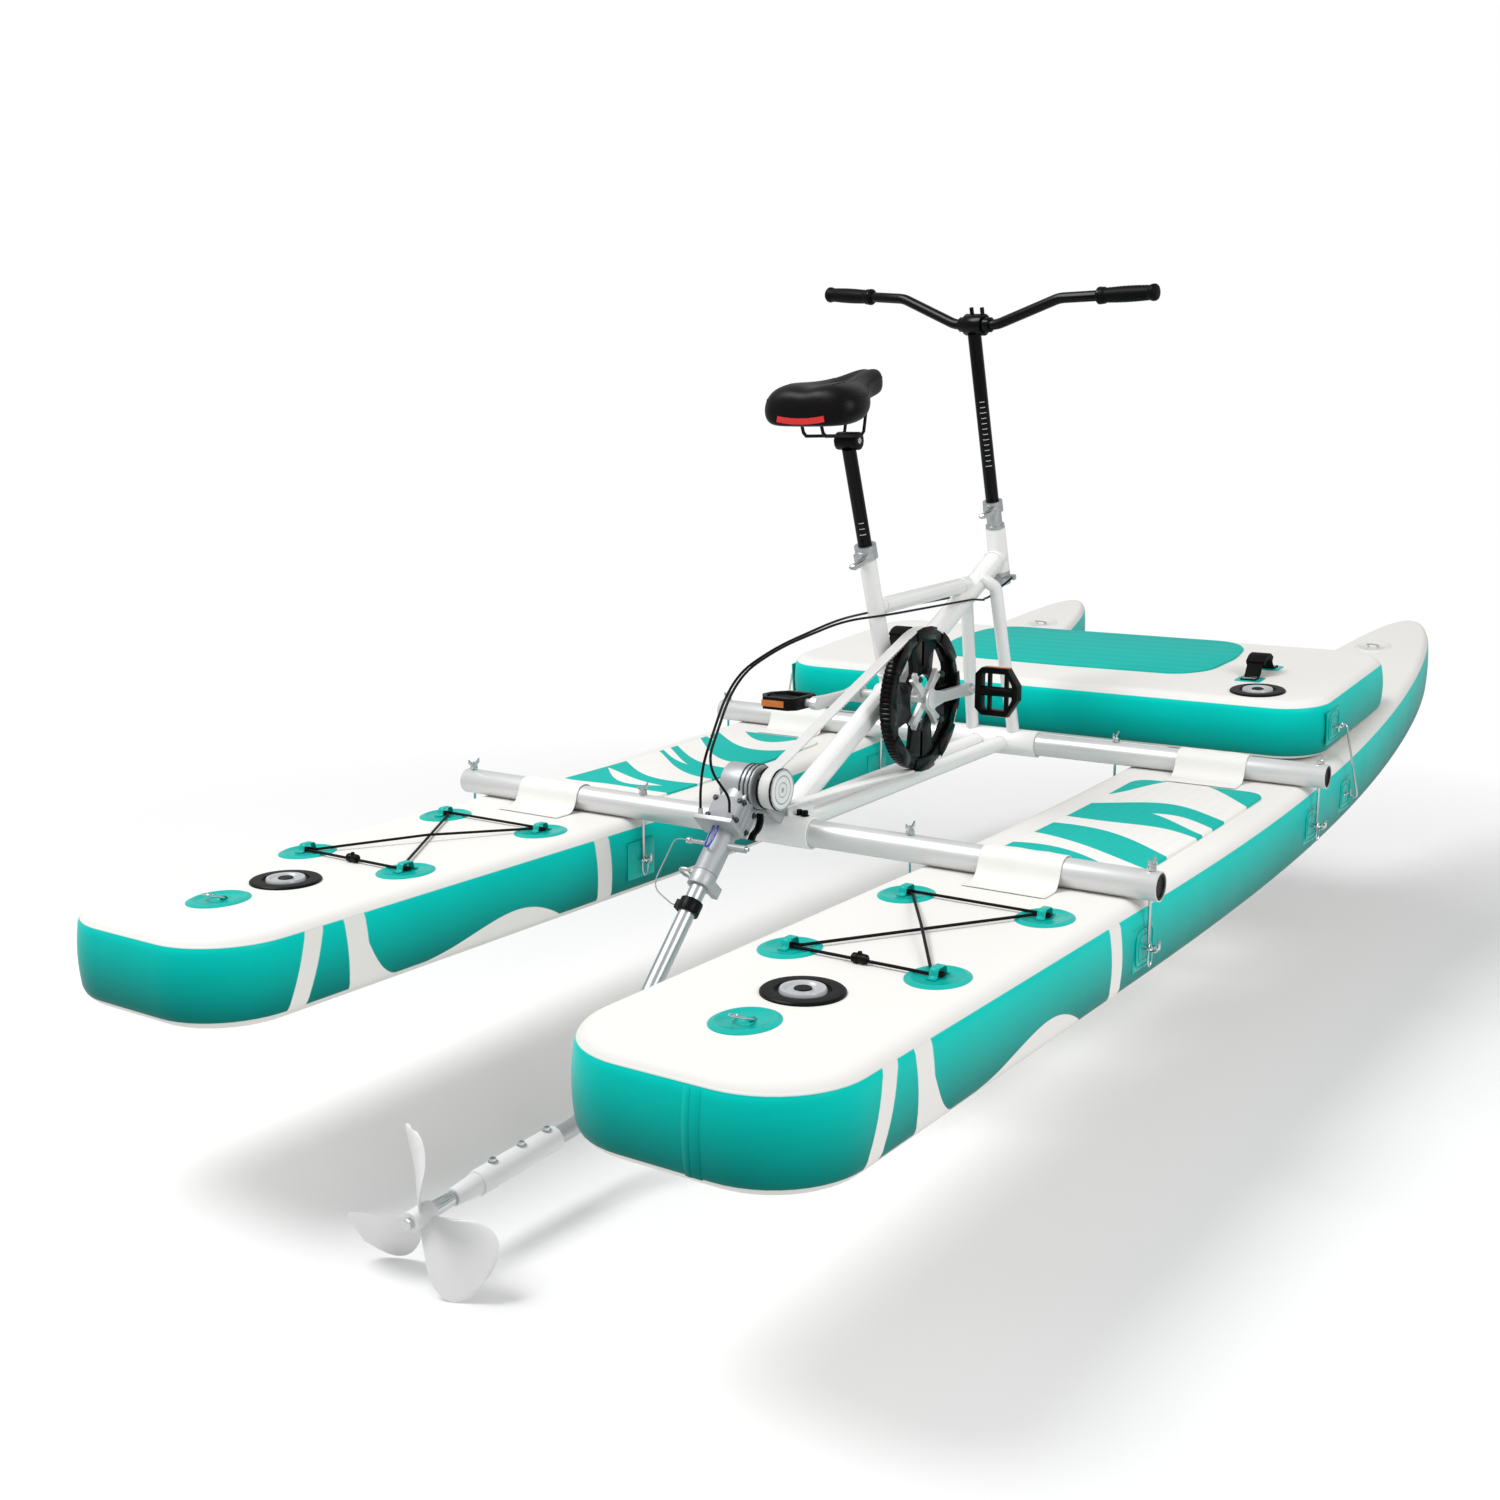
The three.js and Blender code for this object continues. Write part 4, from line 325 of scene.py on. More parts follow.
def plain_finish(
    name, code, rough, metal=0.0, coat=0.0, tone=(5.0, 0.12), grain=(500.0, 0.12), stretch=None, spec=0.5
):
    """Tone is the cloud's (scale, amount) and grain the pits' (scale, strength)."""
    material, tree, shader, place = new_material(name)
    colour = toned(tree, place, linear(code), *tone)
    shader.inputs["Metallic"].default_value = metal
    shader.inputs["Coat Weight"].default_value = coat
    shader.inputs["Coat Roughness"].default_value = 0.12
    shader.inputs["Specular IOR Level"].default_value = spec
    grain_place = place
    if stretch:
        grain_place = put(tree, "ShaderNodeMapping", Vector=place, Scale=stretch).outputs[0]
    fine = use(tree, GRAIN, Vector=grain_place, Scale=grain[0], Strength=grain[1])
    wide = ranged(fine.outputs[0], start=rough * (1 - ROUGH_SPREAD), end=rough * (1 + ROUGH_SPREAD))
    tree.links.new(colour, shader.inputs["Base Color"])
    tree.links.new(wide, shader.inputs["Roughness"])
    tree.links.new(fine.outputs[1], shader.inputs["Normal"])
    return material


white_paint = plain_finish("white frame paint", "#efeeed", 0.26, coat=0.35, tone=(3.0, 0.05), grain=(900.0, 0.02))
white_plastic = plain_finish("moulded white plastic", "#e6e6e6", 0.32, coat=0.2, tone=(4.0, 0.06), grain=(700.0, 0.03))
grey_plastic = plain_finish("valve grey plastic", "#b4b7ba", 0.3, coat=0.2, tone=(30.0, 0.12), grain=(700.0, 0.05))
belt_white = plain_finish("white belt rubber", "#dcdcda", 0.5, tone=(30.0, 0.1), grain=(900.0, 0.2))
beam_metal = plain_finish(
    "satin anodised tube", "#dadbdb", 0.36, metal=0.45, tone=(4.0, 0.06), grain=(350.0, 0.02), stretch=(0.03, 1.0, 1.0)
)
tube_metal = plain_finish("brushed aluminium tube", "#b9bbbd", 0.34, metal=0.8, tone=(8.0, 0.08), grain=(90.0, 0.008))
cast_metal = plain_finish(
    "bead blasted casting", "#b2b4b6", 0.46, metal=0.45, tone=(14.0, 0.12), grain=(300.0, 0.015), spec=0.35
)
cast_face = plain_finish("machined casting face", "#a4a6a9", 0.55, tone=(18.0, 0.1), grain=(300.0, 0.02), spec=0.2)
dark_steel = plain_finish(
    "dark socket steel", "#4a4d50", 0.4, metal=0.5, tone=(60.0, 0.2), grain=(500.0, 0.02), spec=0.3
)
wire_steel = plain_finish(
    "thin steel wire", "#8e9194", 0.45, metal=0.4, tone=(90.0, 0.2), grain=(900.0, 0.05), spec=0.3
)
polished = plain_finish("polished steel", "#cfd0d2", 0.14, metal=1.0, tone=(20.0, 0.12), grain=(300.0, 0.02))
crank_metal = plain_finish("satin forged crank", "#dfe0e0", 0.34, metal=0.35, tone=(9.0, 0.06), grain=(300.0, 0.01))
blade_white = plain_finish("white propeller nylon", "#e4e4e4", 0.3, coat=0.3, tone=(7.0, 0.1), grain=(500.0, 0.05))
black_plastic = plain_finish("ribbed black plastic", "#060607", 0.4, tone=(12.0, 0.25), grain=(500.0, 0.08), spec=0.12)
black_gloss = plain_finish("glossy black paint", "#030304", 0.2, tone=(6.0, 0.2), grain=(500.0, 0.02), spec=0.16)
grip_rubber = plain_finish("grip rubber", "#050506", 0.45, tone=(20.0, 0.3), grain=(700.0, 0.2), spec=0.1)
cable_sleeve = plain_finish("cable housing", "#050506", 0.3, tone=(30.0, 0.25), grain=(300.0, 0.03), spec=0.15)
amber = plain_finish("amber reflector", "#c46a14", 0.18, coat=0.8, tone=(60.0, 0.5), grain=(260.0, 0.8))
red_lens = plain_finish("red saddle lens", "#d31310", 0.2, coat=0.7, tone=(80.0, 0.4), grain=(300.0, 0.6))
blue_cord = plain_finish("blue safety link", "#1d3fa6", 0.25, coat=0.4, tone=(40.0, 0.3), grain=(300.0, 0.05))
print("plain finishes:", len(bpy.data.materials))

# %% [markdown]
# ## The floats' skin
# Drop-stitch fabric is coated in glossy vinyl. The deck is white down over its rounded edge,
# and the side is a teal band with slanted white stripes near the stern and a low white arc.
# Two numbers are stored on each point of the mesh: how far down over the edge it lies, and
# the height below the deck. The colours are cut from these and from the place along the
# hull, so every edge is sharp and follows the form.

# %% Skin material
FLOAT_RIM, FLOAT_HEM = 0.0346, 0.154
PLATFORM_RIM, PLATFORM_HEM = 0.030, 0.140

# each stripe's place along the float, half its width, and how far it leans with depth
STRIPES = ((-0.815, 0.0185, -0.35), (-0.739, 0.022, 0.05), (-0.114, 0.021, 0.05))

# the low wave: where its fillet and its hump start, where it ends, and how far they rise
FILLET_FROM, HUMP_FROM, WAVE_TO = -0.715, -0.63, -0.23
FILLET_RISE, HUMP_RISE, WAVE_FOOT = 0.075, 0.041, 0.137


def edge_mask(value, low, high, soft=0.0008):
    """1 where value is between low and high, with a soft edge."""
    up = ranged(value, low - soft, low + soft)
    down = ranged(value, high + soft, high - soft)
    return times(up, down)


def low_wave(along, below):
    """The white wave along the bottom: a fillet from the second stripe, then a lopsided hump."""
    run = ranged(along, HUMP_FROM, WAVE_TO)
    hump = maths("SINE", times(maths("POWER", run, 1.77), math.pi))
    start = ranged(along, FILLET_FROM, -0.62, 1.0, 0.0)
    fillet = maths("POWER", start, 3.0)
    rise = plus(times(hump, HUMP_RISE), times(fillet, FILLET_RISE))
    over = plus(minus(below, WAVE_FOOT), rise)
    white = ranged(over, 0.0, 0.0015)
    return times(white, edge_mask(along, -0.735, WAVE_TO))


def without(mask, cut):
    return times(mask, minus(1.0, cut))


def skin_colour(tree, place, band, below):
    """Teal where the band is, with painted light near the deck and painted shade towards its foot, and white elsewhere.
    """
    # painted light and shade: the teal is brightened near the deck's rim and darkened towards the foot of the side
    painted_shading = ranged(below, 0.012, 0.138, 1.22, 0.3)
    teal = toned(tree, place, linear("#00bdb2"), 3.0, 0.25)
    teal = blend_colours(tree, 1.0, teal, grey_of(painted_shading), "MULTIPLY")
    white = toned(tree, place, linear("#e8e6e2"), 2.5, 0.05)
    return blend_colours(tree, band, white, teal)


def skin_material(name, rim, hem, striped):
    material, tree, shader, place = new_material(name)
    down = put(tree, "ShaderNodeAttribute", {"attribute_name": "down"}).outputs["Fac"]
    below = put(tree, "ShaderNodeAttribute", {"attribute_name": "below"}).outputs["Fac"]
    split = put(tree, "ShaderNodeSeparateXYZ", Vector=place)
    along = minus(split.outputs[1], DATUM.y)
    band = edge_mask(down, rim, hem)
    if striped:
        for centre, half, lean in STRIPES:
            leaned = minus(along, times(below, lean))
            band = without(band, edge_mask(leaned, centre - half, centre + half))
        band = without(band, low_wave(along, below))
    tree.links.new(skin_colour(tree, place, band, below), shader.inputs["Base Color"])
    threads = use(tree, WEAVE, Vector=place, Threads=1500.0).outputs[0]
    cloud = put(tree, "ShaderNodeTexNoise", Vector=place, Scale=9.0, Detail=3.0).outputs[0]
    laps = [edge_mask(down, rim - 0.003, rim + 0.001), edge_mask(down, hem - 0.001, hem + 0.003)]
    seam = plus(*laps)
    height = plus(times(threads, 0.12), times(seam, 1.4))
    height = plus(height, times(cloud, 2.2))
    bump = put(tree, "ShaderNodeBump", Strength=0.4, Distance=0.0012, Height=height)
    gloss = ranged(cloud, start=0.24, end=0.4)
    deck_gloss = plus(gloss, times(minus(1.0, band), 0.14))
    tree.links.new(deck_gloss, shader.inputs["Roughness"])
    tree.links.new(bump.outputs[0], shader.inputs["Normal"])
    shader.inputs["Specular IOR Level"].default_value = 0.06
    return material


float_skin = skin_material("float skin", FLOAT_RIM, FLOAT_HEM, True)
platform_skin = skin_material("platform skin", PLATFORM_RIM, PLATFORM_HEM, False)
patch_teal = plain_finish(
    "welded teal patch", "#02b0a5", 0.3, coat=0.03, spec=0.2, tone=(12.0, 0.15), grain=(500.0, 0.12)
)
patch_white = plain_finish("welded white patch", "#e4e4e2", 0.3, coat=0.1, tone=(12.0, 0.12))
print("skins ready:", float_skin.name, platform_skin.name)

# %% [markdown]
# ## Cloth, webbing and foam
# Canvas, webbing, cord and the saddle's cover are woven, so they share the weave group and
# differ in thread count, colour and sheen. The foam pads are soft closed-cell sheet, printed
# with wavy ribbons in teal and white and cut by narrow grooves. A picture could give the
# pattern, but sine waves give edges that stay sharp at any size.

# %% Woven and foam materials
def woven(name, code, threads, rough, tone=0.12, strength=0.5, sheen=0.2, spec=0.4):
    material, tree, shader, place = new_material(name)
    height = use(tree, WEAVE, Vector=place, Threads=threads).outputs[0]
    colour = toned(tree, place, linear(code), 14.0, tone)
    # painted shade in the weave's hollows and a slight painted highlight on the raised threads, from the bump's own
    # height
    pits = grey_of(ranged(height, start=0.8, end=1.06))
    tree.links.new(blend_colours(tree, 1.0, colour, pits, "MULTIPLY"), shader.inputs["Base Color"])
    bump = put(tree, "ShaderNodeBump", Strength=strength, Distance=0.0006, Height=height)
    tree.links.new(bump.outputs[0], shader.inputs["Normal"])
    shader.inputs["Roughness"].default_value = rough
    shader.inputs["Specular IOR Level"].default_value = spec
    shader.inputs["Sheen Weight"].default_value = sheen
    shader.inputs["Sheen Roughness"].default_value = 0.5
    return material


def crisp(value):
    """1 where value is above nought, with a hair's width between."""
    return ranged(value, 0.0, 0.008)


def wave_of(turns, swing):
    return times(maths("SINE", turns), swing)


def ribbon_foam(name):
    material, tree, shader, place = new_material(name)
    split = put(tree, "ShaderNodeSeparateXYZ", Vector=place)
    x, y = split.outputs[0], split.outputs[1]
    sway = wave_of(times(x, 10.0), 0.085)
    slow = wave_of(times(plus(x, y), 8.0), 0.05)
    run = times(plus(plus(y, sway), slow), 4.4)
    step = maths("FRACT", run)
    turns = plus(times(x, 15.0), times(y, 6.0))
    swell = maths("SINE", turns)
    far = plus(times(swell, 0.14), 0.56)
    starts, ends = minus(step, 0.1), minus(far, step)
    broad = times(crisp(starts), crisp(ends))
    dots = minus(times(swell, 0.10), 0.02)
    middle = maths("ABSOLUTE", minus(step, 0.86))
    narrow = crisp(minus(dots, middle))
    colour = toned(tree, place, linear("#0ab5aa"), 4.0, 0.1)
    for ribbon in (broad, narrow):
        colour = blend_colours(tree, ribbon, colour, linear("#eceae6"))
    tree.links.new(colour, shader.inputs["Base Color"])
    across = maths("FRACT", times(x, 38.0))
    groove = edge_mask(across, 0.06, 0.94, 0.04)
    pores = put(tree, "ShaderNodeTexNoise", Vector=place, Scale=900.0, Detail=2.0).outputs[0]
    height = plus(groove, times(pores, 0.25))
    bump = put(tree, "ShaderNodeBump", Strength=0.5, Distance=0.0012, Height=height)
    tree.links.new(bump.outputs[0], shader.inputs["Normal"])
    tree.links.new(ranged(pores, start=0.6, end=0.85), shader.inputs["Roughness"])
    shader.inputs["Specular IOR Level"].default_value = 0.2
    return material


canvas_cloth = woven("white coated canvas", "#efeeea", 2600.0, 0.5, tone=0.08, strength=0.4)
black_webbing = woven("black webbing", "#08080a", 3400.0, 0.72, tone=0.3, sheen=0.02, spec=0.12)
grey_cord = woven("braided bungee cord", "#0a0a0c", 3000.0, 0.6, tone=0.4, sheen=0.02, spec=0.12)
saddle_cover = woven("saddle cover", "#050507", 5200.0, 0.38, tone=0.3, strength=0.15, sheen=0.0, spec=0.14)
pad_ribbons = ribbon_foam("ribboned foam pad")
pad_teal = woven("teal foam pad", "#0cb8ad", 1600.0, 0.7, tone=0.1, strength=0.3, sheen=0.02, spec=0.2)
print("woven and foam finishes:", canvas_cloth.name, pad_ribbons.name)

# %% [markdown]
# ## Mesh helpers
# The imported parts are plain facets. A *rounded copy* welds a part's mesh, melts its flat
# triangles together, bevels the hard edges, and shades the curved ones smooth. Other pieces
# start from rings of points, so two helpers make the faces between rings and at the ends.

# %% Making and finishing meshes
def new_piece(name, mesh, material, body, slot, *replaced):
    piece = linked(name, mesh)
    if material is not None:
        mesh.materials.clear()
        mesh.materials.append(material)
    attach(piece, body)
    if replaced:
        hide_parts(*replaced)
    return piece


def finish_mesh(mesh, angle=35.0):
    built = bmesh.new()
    built.from_mesh(mesh)
    bmesh.ops.recalc_face_normals(built, faces=built.faces)
    for face in built.faces:
        face.smooth = True
    for edge in built.edges:
        if len(edge.link_faces) == 2 and edge.calc_face_angle(0.0) > math.radians(angle):
            edge.smooth = False
    built.to_mesh(mesh)
    built.free()
    return mesh


def raw_mesh(name, points, faces=(), edges=()):
    mesh = bpy.data.meshes.new(name)
    mesh.from_pydata([tuple(place) for place in points], list(edges), list(faces))
    return mesh


def mesh_from(name, points, faces, angle=35.0):
    mesh = raw_mesh(name, points, faces)
    mesh.validate()
    return finish_mesh(mesh, angle)


def ring_faces(rows, count, closed=False):
    """Faces between rings of points that follow each other, back to the first if closed."""
    faces = []
    for row in range(rows if closed else rows - 1):
        here, there = row * count, (row + 1) % rows * count
        for i in range(count):
            j = (i + 1) % count
            faces.append((here + i, here + j, there + j, there + i))
    return faces


def end_faces(rows, count):
    """The first ring and the last one, each as one face."""
    last = rows * count - 1
    return [tuple(range(count)), tuple(range(last, last - count, -1))]


def evaluated(name, mesh, modifiers):
    """The mesh after a list of (kind, settings) modifiers, with none of them left live."""
    holder = linked(name, mesh)
    for kind, settings in modifiers:
        modifier = holder.modifiers.new(kind, kind)
        for key, value in settings.items():
            setattr(modifier, key, value)
    result = bpy.data.meshes.new_from_object(holder.evaluated_get(bpy.context.evaluated_depsgraph_get()))
    bpy.data.objects.remove(holder)
    result.name = name
    return result


def rounded_copy(node, material, bevel=0.0008, angle=32.0):
    body = next(name for name, held in BODY_OF.items() if node in held)
    source = bmesh.new()
    source.from_mesh(nodes[node].data)
    bmesh.ops.remove_doubles(source, verts=source.verts, dist=1e-5)
    bmesh.ops.dissolve_limit(source, angle_limit=math.radians(0.5), verts=source.verts, edges=source.edges)
    mesh = bpy.data.meshes.new(node + "_rounded")
    source.to_mesh(mesh)
    source.free()
    mesh.materials.clear()
    limit = {"width": bevel, "segments": 2, "limit_method": "ANGLE", "angle_limit": math.radians(angle)}
    mesh = evaluated(node + "_rounded", mesh, [("BEVEL", limit)])
    return new_piece(node + "_finish", finish_mesh(mesh, 38.0), material, body, SLOT_OF[node], node)


SLOT_OF = {row["node"]: row["material_slot"] for row in frame["record"]["subparts"]}
BODY_OF = {}
for name, piece in nodes.items():
    holder = body_of(piece)
    BODY_OF.setdefault(holder if isinstance(holder, str) else holder[0], []).append(name)
print("parts on each body:", {name: len(held) for name, held in BODY_OF.items()})

# %% [markdown]
# ## Trees for what repeats
# Bolts, nuts, caps, ticks, patches and blades are each one small form, used many times, and
# stitches, piping and links are thin tubes along a path. Loops could place them, but a
# geometry tree keeps the form apart from its places. *Copies on marks* stands a form on each
# point, turned as the point says, *ring of copies* turns one round its z axis, and *tubes
# along paths* sweeps a round section. All end in plain mesh with a finish.

# %% Geometry trees
def geometry_tree(name, first, sizes, result_name):
    inputs = [(first, "Geometry", None)] + sizes + [("Finish", "Material", None)]
    return new_group(name, inputs, [(result_name, "Geometry")], "GeometryNodeTree")


def end_tree(tree, source, result, shapes):
    whole = put(tree, "GeometryNodeRealizeInstances", Geometry=shapes)
    finish = source.outputs["Finish"]
    dressed = put(tree, "GeometryNodeSetMaterial", Geometry=whole.outputs[0], Material=finish)
    tree.links.new(dressed.outputs[0], result.inputs[0])
    return tree


def copies_at(tree, points, form, **sockets):
    return put(tree, "GeometryNodeInstanceOnPoints", Points=points, Instance=form, **sockets).outputs[0]


def make_marks_tree():
    sizes = [("Form", "Object", None), ("Size", "Float", 1.0)]
    tree, source, result = geometry_tree("copies on marks", "Marks", sizes, "Copies")
    turn = put(tree, "GeometryNodeInputNamedAttribute", {"data_type": "FLOAT_VECTOR"}, Name="turn").outputs[0]
    form = put(tree, "GeometryNodeObjectInfo", Object=source.outputs["Form"]).outputs["Geometry"]
    marks, size = source.outputs["Marks"], source.outputs["Size"]
    return end_tree(tree, source, result, copies_at(tree, marks, form, Rotation=turn, Scale=size))


def make_ring_tree():
    tree, source, result = geometry_tree("ring of copies", "Form", [("Count", "Int", 3)], "Ring")
    count = source.outputs["Count"]
    points = put(tree, "GeometryNodePoints", Count=count).outputs[0]
    share = maths("DIVIDE", put(tree, "GeometryNodeInputIndex").outputs[0], count)
    turn = put(tree, "ShaderNodeCombineXYZ", Z=times(share, 2 * math.pi)).outputs[0]
    return end_tree(tree, source, result, copies_at(tree, points, source.outputs["Form"], Rotation=turn))


def make_tube_tree():
    sizes = [("Radius", "Float", 0.001), ("Sides", "Int", 8)]
    tree, source, result = geometry_tree("tubes along paths", "Paths", sizes, "Tubes")
    curve = put(tree, "GeometryNodeMeshToCurve", Mesh=source.outputs["Paths"]).outputs[0]
    section = {"Resolution": source.outputs["Sides"], "Radius": source.outputs["Radius"]}
    profile = put(tree, "GeometryNodeCurvePrimitiveCircle", **section).outputs[0]
    tubes = put(tree, "GeometryNodeCurveToMesh", Curve=curve, Profile_Curve=profile, Fill_Caps=True)
    return end_tree(tree, source, result, tubes.outputs[0])


MARKS_TREE = make_marks_tree()
RING_TREE = make_ring_tree()
TUBE_TREE = make_tube_tree()
print("geometry trees:", [tree.name for tree in (MARKS_TREE, RING_TREE, TUBE_TREE)])

# %% [markdown]
# ## Using the trees
# A tree works as a modifier on a holder, which is thrown away once its result is a plain
# mesh. Each input is set by its identifier before the holder is first evaluated, because a
# name alone doesn't reach it.

# %% Copies, rings and tubes as plain meshes
def grown(name, mesh, tree, **values):
    """The plain mesh that a tree makes of a mesh, once its inputs are set."""
    holder = linked(name, mesh)
    modifier = holder.modifiers.new(tree.name, "NODES")
    modifier.node_group = tree
    for socket in tree.interface.items_tree:
        if socket.in_out == "INPUT" and socket.name in values:
            modifier[socket.identifier] = values[socket.name]
    made = bpy.data.meshes.new_from_object(holder.evaluated_get(bpy.context.evaluated_depsgraph_get()))
    bpy.data.objects.remove(holder)
    made.name = name
    return made


def standing(place, way):
    """The matrix that stands a form on a place with its z axis along a way."""
    turn = Vector((0, 0, 1)).rotation_difference(Vector(way)).to_matrix().to_4x4()
    return Matrix.Translation(place) @ turn


def copies(name, form, matrices, material):
    marks = raw_mesh("marks", [matrix.translation for matrix in matrices])
    turns = marks.attributes.new("turn", "FLOAT_VECTOR", "POINT")
    turns.data.foreach_set("vector", [value for matrix in matrices for value in matrix.to_euler()])
    item = linked(name + "_form", form)
    made = grown(name, marks, MARKS_TREE, Form=item, Finish=material)
    bpy.data.objects.remove(item)
    return made


def copied(name, form, matrices, material, body, slot, angle=35.0):
    mesh = copies(name, form, matrices, material)
    return new_piece(name, finish_mesh(mesh, angle), material, body, slot)


def tubes(name, paths, radius, sides, material, closed=False):
    """Round tubes along paths, which are closed in rings if asked."""
    points, edges = [], []
    for path in paths:
        first, count = len(points), len(path)
        points += path
        edges += [(first + i, first + (i + 1) % count) for i in range(count if closed else count - 1)]
    lines = raw_mesh(name + "_paths", points, edges=edges)
    return grown(name, lines, TUBE_TREE, Radius=radius, Sides=sides, Finish=material)


print("standing on a side wall:", [round(v, 3) for v in standing((0, 0, 0), (1, 0, 0)).to_euler()])

# %% [markdown]
# ## Metal and moulded parts
# The welded frame, the castings, cranks, posts and hook bolts are rigid, and their forms come
# with the imported model. They could be modelled again, but might then drift from the imported
# sizes. So each one is copied, its hard edges are rounded, and the table below gives its finish.

# %% Rounded copies of the rigid parts
PAINT = [
    (white_paint, ["main_frame", "base_frame", "starboard_front_leg", "port_front_leg"]),
    (cast_metal, ["drive_head", "steering_swivel", "drive_bracket", "leg_clamp", "input_pulley"]),
    (tube_metal, ["steering_column", "seat_clamp"]),
    (crank_metal, ["starboard_crank", "port_crank", "crank_spindle"]),
    (black_gloss, ["belt_wheel", "handlebar", "handlebar_stem"]),
    (belt_white, ["drive_belt"]),
    (black_plastic, ["starboard_pedal", "port_pedal", "saddle_cradle", "lanyard_clip"]),
    (white_plastic, ["tail_tube", "tail_cap"]),
    (polished, ["propeller_shaft", "leg_pin", "seat_clamp_lever", "stem_clamp_lever"]),
]
for side in ("port", "starboard"):
    bolts = [f"{side}_{end}_{edge}_hook_bolt" for end in ("front", "rear") for edge in ("inner", "outer")]
    PAINT.append((polished, bolts + [f"{side}_platform_hook"]))
shown = 0
for material, names in PAINT:
    for name in names:
        rounded_copy(name, material)
        shown += 1
print("rounded copies:", shown, "of", len(nodes))

# %% [markdown]
# ## The floats
# A float is two sheets held apart by thousands of threads, with a band round the side that
# bulges like a tube under pressure. A bevelled box could stand for it, but its deck wouldn't
# rise with the bow. So it is a stack of outlines: the deck's plan moved inward, and set lower
# and lower round the edge. The deck and the bottom are filled row by row, which keeps them
# smooth where the bow rises.

# %% Build an inflated hull
FLOAT = {"half": 0.212, "stern": -1.020, "tip": 2.560, "corner": 0.140, "taper": 0.350}
FLOAT_THICK, FLOAT_EDGE = 0.150, 0.032
DECK, BOW_RISE = -0.0253, 0.205


def deck_height(y):
    return DECK + BOW_RISE * max(y / FLOAT["tip"], 0.0) ** 2.2


def float_outline(inset):
    half, stern, corner = FLOAT["half"], FLOAT["stern"], FLOAT["corner"]
    points = []
    for step in range(13):
        turn = math.radians(-90 + 90 * step / 12)
        reach = corner - inset
        points.append((half - corner + reach * math.cos(turn), stern + corner + reach * math.sin(turn)))
    for step in range(1, 25):
        points.append((half - inset, stern + corner + (FLOAT["taper"] - stern - corner) * step / 24))
    for step in range(1, 73):
        along = 1 - (1 - step / 72) ** 1.5
        y = FLOAT["taper"] + along * (FLOAT["tip"] - inset - FLOAT["taper"])
        points.append(((half - inset) * math.sqrt(max(1 - along**2.4, 0.0)), y))
    return points


def edge_profile(thick, edge, bulge=0.003, steps=8):
    """(inset, drop, distance round the edge) from the deck's rim to the bottom's rim."""
    turns = [math.radians(90 * step / steps) for step in range(steps + 1)]
    top = [(bulge + edge * (1 - math.sin(a)), edge * (1 - math.cos(a))) for a in turns]
    middle = []
    for step in range(1, 6):
        drop = edge + (thick - 2 * edge) * step / 6
        middle.append((bulge * ((drop - thick / 2) / (thick / 2 - edge)) ** 2, drop))
    under = [(inset, thick - drop) for inset, drop in reversed(top)]
    rows, travelled = [], 0.0
    for index, place in enumerate(top + middle + under):
        if index:
            travelled += math.dist(place, rows[-1][:2])
        rows.append((place[0], place[1], travelled))
    return rows


def hull_mesh(name, outline, profile, height_at, columns=10):
    points, down, below, rings = [], [], [], []
    for inset, drop, travelled in profile:
        half = outline(inset)
        ring = half + [(-x, y) for x, y in reversed(half)]
        rings.append(range(len(points), len(points) + len(ring)))
        for x, y in ring:
            points.append((x, y, height_at(y) - drop))
            down.append(travelled)
            below.append(drop)
    faces = ring_faces(len(rings), len(rings[0]))
    for ring in (rings[0], rings[-1]):
        rows = []
        count = len(ring) // 2
        for i in range(count):
            right, left = ring[i], ring[-1 - i]
            row = [left]
            for step in range(1, columns):
                share = step / columns
                points.append(tuple(a + (b - a) * share for a, b in zip(points[left], points[right])))
                down.append(down[right] + (-0.01 if ring is rings[0] else 0.01))
                below.append(below[right])
                row.append(len(points) - 1)
            rows.append(row + [right])
        for first, second in zip(rows, rows[1:]):
            for step in range(columns):
                faces.append((first[step], first[step + 1], second[step + 1], second[step]))
    mesh = raw_mesh(name, points, faces)
    for label, values in (("down", down), ("below", below)):
        layer = mesh.attributes.new(label, "FLOAT", "POINT")
        layer.data.foreach_set("value", values)
    built = bmesh.new()
    built.from_mesh(mesh)
    bmesh.ops.remove_doubles(built, verts=built.verts, dist=1e-6)
    built.to_mesh(mesh)
    built.free()
    return finish_mesh(mesh, 50.0)


def moved(mesh, matrix):
    mesh.transform(matrix)
    return mesh


SIDES = {"starboard": 1, "port": -1}
SPACING = 0.513
for side, sign in SIDES.items():
    mesh = hull_mesh(side + "_float", float_outline, edge_profile(FLOAT_THICK, FLOAT_EDGE), deck_height)
    moved(mesh, Matrix.Translation(DATUM + Vector((sign * SPACING, 0, 0))))
    new_piece(side + "_float_skin", mesh, float_skin, "craft", "float_fabric", side + "_pontoon")
print("float points:", len(mesh.vertices), "faces:", len(mesh.polygons))

# %% [markdown]
# ## The bow platform
# The platform is the same kind of hull with four round corners, laid across both bows and
# pitched with their rise. Its own place matrix is used again for all that sits on it.

# %% Build the platform
PITCH = math.radians(4.8258)
PLATFORM_THICK, PLATFORM_EDGE = 0.130, 0.030
PLATFORM = DATUM + Vector((0, 1.080, deck_height(1.110) + 0.0023))
PLATFORM_PLACE = Matrix.Translation(PLATFORM) @ Matrix.Rotation(PITCH, 4, "X")


def platform_outline(inset):
    half, depth, corner = 0.683, 0.610, 0.110
    points = [(0.25 * step, inset) for step in range(1, 3)]
    for start, y in ((-90, corner), (0, depth - corner)):
        for step in range(11):
            turn = math.radians(start + 9 * step)
            reach = corner - inset
            points.append((half - corner + reach * math.cos(turn), y + reach * math.sin(turn)))
    return points + [(0.25 * step, depth - inset) for step in (2, 1)]


